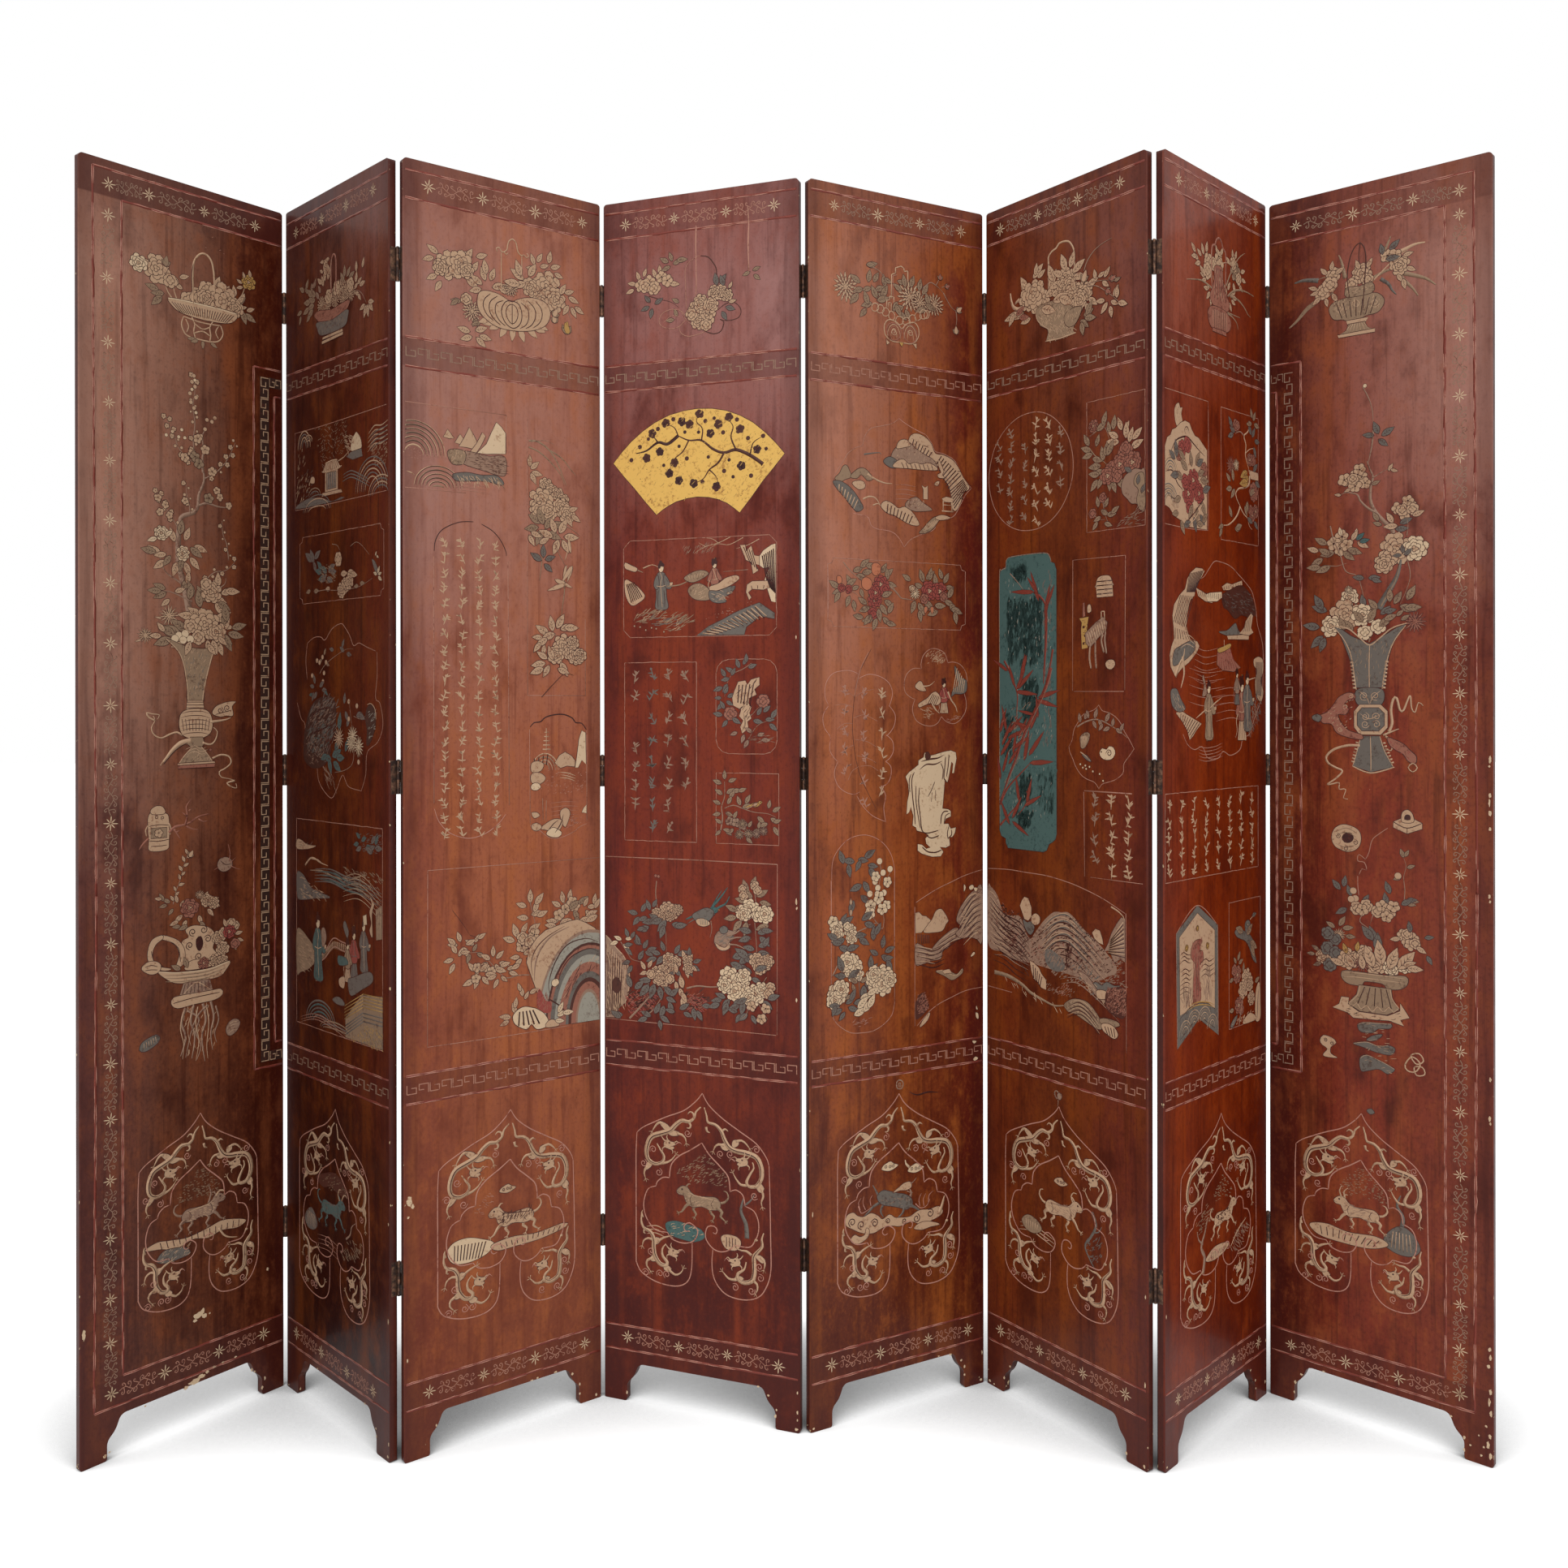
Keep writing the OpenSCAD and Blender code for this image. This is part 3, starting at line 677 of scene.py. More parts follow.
    def ovals(self, pigment, long, wide, numbers):
        """Plain pointed petals or blades from x d with an angle."""
        for x, d, turn in threes(numbers):
            x, y = self.xy((x, d))
            turn = 180 - turn if self.place[2] < 0 else turn
            self.stamp(pigment, "petal", x, y, turn, long * self.size(), wide * self.size(),
                       self.over([(x, y)], long * self.size(), 2), RIM * 0.7)

    def dots(self, pigment, r, numbers):
        """Small round spots."""
        for p in pairs(numbers):
            x, y = self.xy(p)
            size = r * self.size()
            self.stamp(pigment, "oval", x - size, y, 0, 2 * size, 2 * size, self.over([(x, y)], size, 2),
                       RIM * 0.6)

    def petals(self, pigment, motif, x, y, count, start, long, wide, turn=0.0):
        """A ring of petals round a point."""
        height = self.over([(x, y)], start + long, 2)
        for i in range(count):
            angle = turn + 360 * (i + self.rng.uniform(-0.12, 0.12)) / count
            grown = self.rng.uniform(0.9, 1.1)
            c, s = math.cos(math.radians(angle)), math.sin(math.radians(angle))
            self.stamp(pigment, motif, x + start * c, y + start * s, angle, long * grown, wide * grown,
                       height, RIM)

    def peony(self, pigment, r, numbers):
        """Full flowers of ruffled petals, the outer ones at the back."""
        r *= self.size()
        for p in pairs(numbers):
            x, y = self.xy(p)
            for count, start, long, wide in ((8, 0.36, 0.66, 0.54), (7, 0.14, 0.6, 0.46),
                                             (5, 0.02, 0.46, 0.36)):
                self.petals(pigment, "lobe", x, y, count, start * r, long * r, wide * r,
                            self.rng.uniform(0, 60))
            self.petals("cream", "oval", x, y, 3, 0.02 * r, 0.2 * r, 0.2 * r)

    def rose(self, pigment, r, numbers):
        """Small double flowers."""
        r *= self.size()
        for p in pairs(numbers):
            x, y = self.xy(p)
            self.petals(pigment, "lobe", x, y, 6, 0.22 * r, 0.8 * r, 0.78 * r, self.rng.uniform(0, 60))
            self.petals(pigment, "lobe", x, y, 4, 0.02 * r, 0.58 * r, 0.55 * r)

    def plum(self, pigment, r, numbers):
        """Five-petalled blossoms."""
        r *= self.size()
        for p in pairs(numbers):
            x, y = self.xy(p)
            self.petals(pigment, "oval", x, y, 5, 0.08 * r, 0.92 * r, 0.86 * r, self.rng.uniform(0, 72))
            self.stamp("ridge", "oval", x - 0.16 * r, y, 0, 0.32 * r, 0.32 * r, self.over([(x, y)], 0.16 * r))

    def mum(self, pigment, r, numbers):
        """Flowers with rings of narrow petals."""
        r *= self.size()
        for p in pairs(numbers):
            x, y = self.xy(p)
            for count, start, long in ((16, 0.6, 0.42), (13, 0.34, 0.4), (9, 0.12, 0.36), (5, 0.0, 0.24)):
                self.petals(pigment, "petal", x, y, count, start * r, long * r, 0.17 * r,
                            self.rng.uniform(0, 30))

    def burr(self, pigment, r, numbers):
        """Spiky flower heads."""
        r *= self.size()
        for p in pairs(numbers):
            x, y = self.xy(p)
            self.petals(pigment, "petal", x, y, 15, 0.1 * r, 0.9 * r, 0.16 * r)
            self.petals(pigment, "petal", x, y, 9, 0.02 * r, 0.55 * r, 0.15 * r)

    def bud(self, pigment, long, numbers):
        """Buds from x d with an angle, each in a pair of small sepals."""
        for x, d, turn in threes(numbers):
            self.leaf("sage", long * 0.7, [x, d, turn + 38, x, d, turn - 38])
            self.ovals(pigment, long, long * 0.62, [x, d, turn])

    def twig(self, pigment, width, leaf, long, numbers):
        """A twig with leaves on both sides."""
        self.brush(pigment, width, numbers)
        line = smooth(pairs(numbers), pace=long * 0.62)
        side = 1
        for (ax, ad), (bx, bd) in zip(line, line[1:]):
            turn = math.degrees(math.atan2(ad - bd, bx - ax))
            self.leaf(leaf, long, [bx, bd, turn + side * self.rng.uniform(32, 62)])
            side = -side

    def blossom(self, pigment, width, flower, r, numbers):
        """A twig with small round blossoms and buds on both sides."""
        self.brush(pigment, width, numbers)
        line = smooth(pairs(numbers), pace=r * 2.1)
        side = 1
        for (ax, ad), (bx, bd) in zip(line, line[1:]):
            turn = math.atan2(bd - ad, bx - ax) + side * 1.3
            x, d = bx + r * 1.1 * math.cos(turn), bd + r * 1.1 * math.sin(turn)
            if self.rng.random() < 0.45:
                self.plum(flower, r, [x, d])
            else:
                self.dots(flower, r * self.rng.uniform(0.4, 0.65), [x, d])
            side = -side

    def hatch(self, pigment, count, long, turn, *rest):
        """Short strokes strewn over an area. Their width may come before its corners."""
        wide, numbers = (0.7, *rest)[-2:]
        outline = [self.xy(p) for p in pairs(numbers)]
        xs, ys = [p[0] for p in outline], [p[1] for p in outline]
        turn = 180 - turn if self.place[2] < 0 else turn
        height = self.over(outline, long)
        for _ in range(int(count)):
            x, y = self.rng.uniform(min(xs), max(xs)), self.rng.uniform(min(ys), max(ys))
            if inside(x, y, outline):
                self.mark(pigment, "tick", x, y, turn + self.rng.gauss(0, 14),
                          long * self.rng.uniform(0.6, 1.3), wide * self.rng.uniform(0.7, 1.3), height)

    def sprigs(self, pigment, high, numbers):
        """Columns of small sprigs: the first x and d, the steps, and how many."""
        x0, d0, dx, dd, nx, nd = numbers
        for i in range(int(nx)):
            for j in range(int(nd)):
                x, y = self.xy((x0 + i * dx + self.rng.gauss(0, 1), d0 + j * dd + self.rng.gauss(0, 1)))
                tilt = 90 + self.rng.uniform(-35, 35)
                c, s = math.cos(math.radians(tilt)), math.sin(math.radians(tilt))
                self.stamp(pigment, "tick", x - c * high * 0.45, y - s * high * 0.45, tilt, high, high * 0.1,
                           LOWEST)
                for k in range(self.rng.choice((4, 5, 5, 6))):
                    along = self.rng.uniform(-0.38, 0.34) * high
                    turn = tilt + (1, -1)[k % 2] * self.rng.uniform(28, 88)
                    long = high * self.rng.uniform(0.3, 0.48)
                    self.stamp(pigment, "petal", x + c * along, y + s * along, turn, long, high * 0.14,
                               LOWEST + STEP)
                if self.rng.random() < 0.5:
                    bud, top = high * 0.18, high * 0.42
                    self.stamp(pigment, "oval", x + c * top - bud / 2, y + s * top, 0, bud, bud,
                               LOWEST + 2 * STEP)

    def cloud(self, pigment, r, numbers):
        """Clouds of three curls."""
        edge = (-2, 0.4, -1.5, -0.3, -0.6, -0.7, 0.3, -0.9, 1.1, -0.3, 2.2, 0.1, 1.2, 0.7, 0, 1, -1.1, 0.8)
        for x, d in pairs(numbers):
            self.fill(pigment, [v for u, w in pairs(edge) for v in (x + u * r, d + w * r)])
            for dx in (-0.9, 0.1, 0.9):
                self.curl("ridge", 0.9, 0.42 * r, [x + dx * r, d + 0.1 * r])

    def curl(self, pigment, width, r, numbers):
        """Small spirals."""
        for x, d in pairs(numbers):
            start = self.rng.uniform(0, 6.28)
            line = []
            for i in range(9):
                t = i / 8
                angle = start + t * 1.4 * 6.28
                line += [x + r * (1 - 0.8 * t) * math.cos(angle), d + r * (1 - 0.8 * t) * math.sin(angle)]
            self.pen(pigment, width, line)


def ribbon(points, width):
    """The faces of a flat line of even width, mitred at its corners."""
    left, right = [], []
    n = len(points)
    for i, (x, y) in enumerate(points):
        ax, ay = points[max(0, i - 1)]
        bx, by = points[min(n - 1, i + 1)]
        if 0 < i < n - 1:
            u, v = math.atan2(y - ay, x - ax), math.atan2(by - y, bx - x)
            half = math.atan2(math.sin(v - u), math.cos(v - u)) / 2
            along, reach = u + half, width / 2 / max(0.5, math.cos(half))
        else:
            along, reach = math.atan2(by - ay, bx - ax), width / 2
        left.append((x - math.sin(along) * reach, y + math.cos(along) * reach))
        right.append((x + math.sin(along) * reach, y - math.cos(along) * reach))
    return [[right[i], right[i + 1], left[i + 1], left[i]] for i in range(n - 1)]


def ellipse(x, y, long, wide, turn=0.0, count=10, pointed=0.0):
    """A flat oval, or a petal pointed at its far end, with its near end at (x, y)."""
    c, s = math.cos(math.radians(turn)), math.sin(math.radians(turn))
    out = []
    for i in range(count):
        a = 2 * math.pi * i / count
        u = 0.5 + 0.5 * math.cos(a)
        v = 0.5 * math.sin(a) * (1 - pointed * u * u)
        out.append((x + c * u * long - s * v * wide, y + s * u * long + c * v * wide))
    return out


def spiral(x, y, r, start, end):
    """Points of a spiral round (x, y), from its outside in."""
    out = []
    for i in range(9):
        t = i / 8
        angle = math.radians(start + (end - start) * t)
        out.append((x + r * (1 - 0.75 * t) * math.cos(angle), y + r * (1 - 0.75 * t) * math.sin(angle)))
    return out


def motif_faces():
    """The faces of each motif, one long along +X and one wide."""
    lobe = [(0, -0.2), (0.35, -0.46), (0.7, -0.5), (0.86, -0.34), (0.9, -0.14), (1, 0),
            (0.9, 0.14), (0.86, 0.34), (0.7, 0.5), (0.35, 0.46), (0, 0.2)]
    leaf = [(0, 0), (0.12, -0.26), (0.3, -0.46), (0.52, -0.48), (0.76, -0.28), (1, 0),
            (0.76, 0.28), (0.52, 0.48), (0.3, 0.46), (0.12, 0.26)]
    veins = [[(-0.04, -0.02), (0.9, -0.008), (0.9, 0.008), (-0.04, 0.02)]]
    for x in (0.18, 0.36, 0.54):
        for s in (-1, 1):
            tip = (x + 0.2, s * 0.36)
            veins.append([(x, 0), tip, (x + 0.045, 0)] if s > 0 else [(x + 0.045, 0), tip, (x, 0)])
    veins = [turned_left(face) for face in veins]
    # Eight thin rays, long and short by turns.
    star = []
    for turn in range(0, 360, 45):
        x, y = 0.04 * math.cos(math.radians(turn)), 0.04 * math.sin(math.radians(turn))
        star.append(ellipse(x, y, 0.38 if turn % 90 else 0.48, 0.07, turn, 6))
    # The key fret is a pair of square hooks, in millimetres on its cell.
    long, wide = FRET_CELL
    hook = [(1.5, 17.5), (1.5, 1.5), (18.5, 1.5), (18.5, 11.5), (9.5, 11.5)]
    fret = []
    for key in (hook, [(long - x, wide - y) for x, y in hook]):
        fret += [[(x / long, y / wide - 0.5) for x, y in face] for face in ribbon(key, 1.6)]
    # Half of the scroll between two stars, in millimetres: its stem, and the curls that leave it.
    long, wide = SCROLL
    scroll = []
    for run in ([(0, 0), (5, 4), (11, 5), (18, 1), (25, -4), (32, -3), (38, 0)],
                [(4, 4), (3, 8)] + spiral(8, 8.5, 4.2, 170, -150),
                [(11, 5), (17, 9)] + spiral(20, 7.5, 3.6, 130, -200),
                [(18, 1), (15, -4)] + spiral(18.5, -7.5, 4.2, 160, 470),
                [(25, -4), (26, -9)] + spiral(30, -9, 3.2, 180, 480),
                [(29, -4), (28, 2)] + spiral(31.5, 5.5, 4.0, 190, -120),
                [(0, -2), (5, -5)] + spiral(7, -9, 3.4, 100, -190)):
        scroll += [[(x / long, y / wide) for x, y in face] for face in ribbon(run, 1.25)]
    return {"oval": [ellipse(0, 0, 1, 1, count=12)], "lobe": [lobe], "leaf": [leaf], "veins": veins,
            "petal": [ellipse(0, 0, 1, 1, count=8, pointed=0.75)], "tick": [ellipse(0, 0, 1, 1, count=6)],
            "star": star, "fret": fret, "scroll": scroll}


def wander(points, gap, spread, rng):
    """The points of a straight ruled line, cut into short lengths that stray a little, as drawn by hand."""
    out = []
    for (ax, ad), (bx, bd) in zip(points, points[1:]):
        n = max(1, int(math.dist((ax, ad), (bx, bd)) / gap))
        for i in range(n):
            out.append((ax + (bx - ax) * i / n + rng.gauss(0, spread),
                        ad + (bd - ad) * i / n + rng.gauss(0, spread)))
    return out + [points[-1]]


def band_line(art, points):
    """A wide red line with broken pale edges, which frames the borders."""
    line = [art.xy(p) for p in wander(points, 14, 0.35, art.rng)]
    art.stroke("cinnabar", line, [4.2 * art.rng.uniform(0.75, 1.15) for _ in line], LOWEST)
    upright, level = (abs(a - b) < 9 for a, b in zip(points[0], points[-1]))
    for side in (-1.4, 1.4):
        lit = [art.xy((x + side * upright, d + side * level)) for x, d in wander(points, 11, 0.3, art.rng)]
        for i in range(0, len(lit) - 3, 3):
            if art.rng.random() < 0.7:
                art.stroke("blush", lit[i:i + 4], [0.5, 1.5, 1.5, 0.5], LOWEST + STEP)


def fret_band(art, x0, d0, x1, d1, colour):
    """A key fret along the middle line from (x0, d0) to (x1, d1). A cream one has a dark brown ground."""
    period, wide = FRET_CELL
    upright = abs(x1 - x0) < abs(d1 - d0)
    length = math.dist((x0, d0), (x1, d1))
    ux, ud = (x1 - x0) / length, (d1 - d0) / length
    sx, sd = -ud * (wide / 2 + 1), ux * (wide / 2 + 1)
    strip = [(x0 + sx, d0 + sd), (x1 + sx, d1 + sd), (x1 - sx, d1 - sd), (x0 - sx, d0 - sd)]
    if colour == "cream":
        art.areas.append(("wash", turned_left([art.xy(p) for p in strip]), LOWEST - 2 * STEP))
    count = max(1, round(length / period))
    for i in range(count):
        x, y = art.xy((x0 + ux * length * i / count, d0 + ud * length * i / count))
        turn = -90 if upright else math.degrees(math.atan2(-ud, ux))
        art.stamps.append((colour, "fret", x, y, turn, length / count, wide, LOWEST + 2 * STEP))


def scroll_border(art, stars, curl):
    """Eight-rayed stars at each x d, with scrolls of one colour between each and the next."""
    stars = pairs(stars)
    for place in stars:
        x, y = art.xy(place)
        size = STAR * art.rng.uniform(0.88, 1.06)
        art.stamps.append(("bone", "star", x, y, art.rng.uniform(-8, 8), size, size, LOWEST + 2 * STEP))
    for (ax, ad), (bx, bd) in zip(stars, stars[1:]):
        length = math.dist((ax, ad), (bx, bd))
        if length > 70:
            x, y = art.xy(((ax + bx) / 2, (ad + bd) / 2))
            turn = math.degrees(math.atan2(ad - bd, bx - ax))
            long, wide = length * 0.74, SCROLL[1]
            art.stamps.append((curl, "scroll", x, y, turn, long, wide, LOWEST + STEP))
            art.stamps.append((curl, "scroll", x, y, turn + 180, long, wide, LOWEST + 2 * STEP))


# Small pictures drawn more than once, in millimetres round their own origin.
SKETCHES = {
    "head": """
fill cream : -11 -1 -8 -8 -1 -10 5 -7 13 -6 14 -1 8 1 12 5 5 9 -3 7 -9 5
pen ridge 1 : -1 -5 3 -4 ; 4 2 9 2
dots ridge 1.1 : 1 -4
brush cream 3.4 : -6 -6 -12 -10 -17 -17
brush cream 3 : -2 -9 -5 -15 -3 -20 ; -8 4 -14 8 -13 14
brush cream 2.6 : 12 -5 17 -9 21 -6
brush cream 2.4 : 6 8 9 13 7 17
""",
    "man": """
flat trim : -7 42 9 42 10 50 -8 50
fill robe : -4 -34 4 -34 10 -28 12 -10 13 20 16 46 -12 46 -11 20 -12 -8 -10 -28 ; 8 -28 16 -20 22 -8 26 -10
 24 2 14 2 8 -8
flat trim : 21 -10 28 -11 28 -6 22 -3
fill robe : -8 -28 -15 -18 -17 -4 -10 4 -5 -6
pen trim 1.4 : -3 -34 2 -22 -1 -6 3 44
pen trim 1.6 : -11 -4 0 -2 11 -5
pen ridge 1 : -6 6 -8 26 -7 44 ; 7 6 9 26 9 44 ; 12 -20 17 -12
fill bone : -5 -42 -4 -49 2 -51 6 -46 5 -38 0 -34 -4 -37
fill ridge : -6 -45 -5 -52 2 -55 7 -50 5 -47 -1 -48 -3 -43
dots ridge 2.4 : -1 -57
pen ridge 0.6 : 0 -44 2 -44 ; 4 -44 5.4 -44
pen rose 0.7 : 2 -38.5 4 -38.5
""",
    "lady": """
fill trim : -6 10 7 10 16 48 10 50 -12 50 -14 46
fill robe : -4 -30 4 -30 11 -24 14 -8 12 14 -10 16 -12 -8 -10 -24 ; -8 -24 -16 -12 -22 6 -14 8 -8 -4 ; 8 -24
 16 -12 24 2 16 6 8 -6
pen trim 1.6 : -4 -30 1 -14 8 6
pen trim 1.4 : -10 2 0 4 12 1
pen ridge 1 : -4 16 -7 34 -8 48 ; 4 16 8 34 9 48 ; 0 16 1 48
brush trim 2.4 : -14 6 -20 18 -17 34 -23 46
fill bone : -5 -38 -4 -45 2 -47 6 -42 5 -34 0 -30 -4 -33
fill ridge : -7 -41 -7 -50 1 -54 8 -48 6 -43 0 -44 -4 -38
dots ridge 3 : -5 -54 3 -57
dots ochre 1 : 0 -59
pen ridge 0.6 : 0 -40 2 -40 ; 4 -40 5.4 -40
pen rose 0.7 : 2 -34.8 4 -34.8
""",
    "house": """
flat cream : -26 0 26 0 26 44 -26 44
flat robe : -20 6 20 6 20 38 -20 38
ribs cream 1.4 5 : -20 6 20 6 -20 38 20 38
flat trim : -36 2 -24 -14 22 -16 38 0
ribs ridge 1 8 : -24 -14 22 -16 -34 2 36 1
pen cream 3 : -40 1 -20 3 22 2 42 -2 ; -26 -14 0 -17 24 -16
flat cream : -38 44 40 44 44 50 -40 50
""",
    "bird": """
fill robe : -22 4 -12 -4 2 -8 14 -8 20 -4 12 4 0 8 -12 7 ; 12 -8 16 -14 23 -13 24 -7 18 -3
brush robe 6 : -14 2 -28 6 -42 12
brush trim 2.6 : -12 6 -26 12 -38 20
fill trim : -8 -2 4 -7 6 0 -4 5 -14 5
pen ridge 0.9 : -6 0 2 -4 ; -4 3 4 0
brush ochre 2.4 : 22 -11 28 -9
dots ridge 1.1 : 20 -10
pen ridge 1.2 : 0 8 2 14 ; 5 7 8 13
""",
}

# Each picture by its leaf and what it shows, in millimetres from the leaf's top left corner.
PICTURES = {}

PICTURES[1, "shallow flower basket"] = """
leaf sage 27 : 156 212 190 152 218 225 146 208 168
leaf cream 20 : 186 176 20 192 196 155 184 190 130
brush cream 2.6 : 180 226 164 208 156 188 150 178
brush cream 2.4 : 184 224 176 204 172 186
peony cream 27 : 142 170
peony bone 17 : 108 168
bud sage 20 : 158 162 80
rose cream 14 : 168 186
leaf cream 22 : 232 196 160 262 182 95 258 178 70 276 186 60 298 186 100 310 196 70
leaf sage 25 : 318 214 -28 312 210 -70 300 200 40
leaf cream 17 : 308 206 20 304 196 45 322 208 25
rose cream 17 : 204 214 222 206 240 186
peony cream 34 : 270 200
peony cream 18 : 238 204 298 208
brush cream 2.2 : 300 196 312 180 318 164
peony ochre 15 : 326 152
leaf cream 13 : 312 158 150 314 164 200 330 142 100 318 146 110
fill cream : 165 219 200 216 260 216 300 218 297 232 278 241 232 244 190 240 172 231
ribs ridge 1 24 : 168 224 298 223 186 240 282 240
pen bone 2.6 : 164 219 200 217 262 217 301 219
pen cream 3.6 : 213 218 212 170 214 142 224 125 236 120 248 128 254 150 256 190
pen ridge 0.9 : 211 200 210 165 213 145
pen cream 2.6 : 194 246 190 262 198 278 215 282 250 282 266 276 273 262 268 248
pen cream 2.4 : 194 246 230 250 268 248
pen cream 2.6 : 210 244 216 256 214 270 218 282 ; 252 244 246 256 248 270 246 282
pen cream 2.4 : 214 254 232 262 248 254 ; 216 272 232 266 247 272
pen cream 2 : 198 250 204 262 200 274 ; 264 250 258 262 264 274
ovals sage 15 8 : 216 283 190 232 284 -90 248 284 -30 222 285 200
hatch hairline 7 4 20 : 150 108 170 112 270 70 285 110 320 120
"""
PICTURES[1, "blossom in a tall vase"] = """
brush bark 13 : 206 800 200 770 192 735 184 705 183 660 186 628 192 615 214 606 222 592 224 572 234 545 232
 522
brush bark 5 : 232 530 231 505 233 488 231 462 238 446
brush bark 4.4 : 224 592 240 586 262 590 284 590
blossom bark 2.4 cream 4.6 : 233 524 220 514 205 510 192 500 182 486 176 470 166 452 160 436
blossom bark 2.4 cream 4.8 : 216 512 214 490 213 470 216 440 212 410 216 380 214 352
blossom bark 2.4 cream 5 : 236 540 256 528 270 514 282 498 292 478 298 464
blossom bark 2 cream 4.6 : 184 640 172 622 160 605 150 590 144 574
blossom bark 2 cream 4.4 : 206 610 205 592 200 575 198 555
blossom bark 2 cream 4.6 : 238 744 240 728 256 714 280 708 298 690
blossom bark 2 cream 4 : 284 690 280 660 272 640 270 616
dots cream 3.6 : 214 352 210 364 216 372 206 386 218 392 208 402 214 412 240 430 250 432 256 424 236 448 228
 462
dots bone 3 : 216 360 210 378 218 420 196 470 190 456 160 470 172 462 184 470
plum cream 9 : 250 526 236 486 222 468 196 506 210 498
plum sage 10 : 216 502 224 514 244 576
plum cream 7 : 148 612 158 598 144 586 166 616 284 586 260 560 266 572 196 586
brush bark 3.6 : 203 764 188 740 160 722 148 700 152 690
brush bark 3 : 210 772 190 764 166 756 150 756
leaf cream 27 : 150 690 150 158 700 215 160 688 190 182 700 250 196 700 -70 206 690 -50 214 668 -20 196 660
 70 176 664 110
leaf sage 27 : 140 686 170 168 690 235 190 694 -100 206 672 -35 186 650 80
peony bone 14 : 150 650 192 684
leaf bone 20 : 158 655 40 142 660 200
leaf sage 26 : 158 752 160 160 758 205 150 756 180 190 752 60
leaf cream 22 : 176 756 20 200 740 80 166 770 220
leaf cream 30 : 244 766 10 250 760 -20 250 748 60 262 742 90 268 754 20 276 748 0 256 772 -50
leaf sage 30 : 212 762 110 204 768 80 236 770 120 226 782 100 262 770 -30
peony cream 22 : 248 752
rose cream 12 : 238 738
brush bark 2.2 : 262 745 276 735 278 724
burr cream 20 : 165 800
burr cream 14 : 120 838
ovals cream 12 4 : 150 806 170 182 812 -30 112 846 200
leaf cream 34 : 230 800 150 222 818 120 214 800 175 256 806 30 262 812 -10 270 824 60
leaf sage 34 : 200 826 150 196 840 190 186 832 160 170 842 200 176 836 150
leaf sage 30 : 272 812 70 282 828 -10 276 838 -60 268 830 -40 280 806 100 290 818 15
leaf cream 26 : 250 838 -50 240 842 -80 262 846 -70 190 850 200
peony cream 30 : 236 812
peony cream 20 : 258 826
leaf cream 24 : 156 830 130 150 838 180
rose cream 14 : 206 818 222 838
dots bone 7 : 184 836 196 832 176 842 206 842 192 844
fill sage : 158 842 200 856 240 858 268 842 254 862 246 885 238 912 233 935 230 958 202 958 200 935 197 912
 192 885 180 862
hatch cream 70 5 80 0.8 : 190 862 240 862 230 950 204 950
hatch slate 60 6 85 1 : 195 870 240 870 228 950 206 950
pen cream 2 : 158 842 182 864 193 888 198 914 201 938 202 958 ; 268 842 253 864 245 888 238 914 233 938 230
 958
leaf cream 26 : 250 842 -70 240 850 -50 206 846 250 262 836 -40
flat cream : 200 956 231 956 233 972 198 972
ribs ridge 0.9 3 : 200 956 198 972 231 956 233 972
fill cream : 184 1000 188 980 204 972 232 972 246 982 250 1002 244 1018 226 1026 206 1026 190 1018
waves ridge 1 6 8 : 188 980 205 976 230 976 246 981
ribs ridge 0.8 9 : 186 990 248 990 190 1012 244 1012
flat sage : 206 1024 230 1024 234 1036 226 1044 210 1044 200 1036 ; 210 1042 228 1042 240 1056 252 1073 183
 1073 196 1056
pen cream 1.8 : 210 1042 196 1056 183 1073 ; 228 1042 240 1056 252 1073
waves cream 1.2 3 5 : 198 1046 214 1040 228 1046 240 1042
hatch cream 40 5 60 0.8 : 200 1052 236 1052 246 1070 190 1070
flat cream : 181 1072 254 1070 255 1074 181 1076
flat rose : 181 1076 255 1074 254 1080 182 1081
brush cream 10 : 208 1030 188 1034 172 1046 160 1060 148 1074
pen ridge 1 : 200 1034 184 1042 168 1056 154 1072
brush cream 3.4 : 190 1020 180 1014 165 1018 150 1024 136 1018 131 1005 138 992 134 984
brush cream 3 : 138 992 126 986 122 978 132 980 146 982 142 990
brush cream 3.6 : 230 1034 246 1038 256 1030 260 1014 252 1006
brush cream 5 : 246 996 262 994 276 992 288 988
fill cream : 250 980 256 968 268 962 284 958 298 958 290 966 292 984 278 984 266 986
curl ridge 1.1 7 : 266 974 280 970
pen ridge 1 : 256 982 272 978 288 974
brush cream 3.4 : 250 1064 268 1058 284 1062 288 1074 276 1084 264 1090 268 1100 284 1104 296 1108 ; 296 1108
 280 1112 290 1120 300 1122 298 1114
dots rose 2.4 : 246 1048
"""
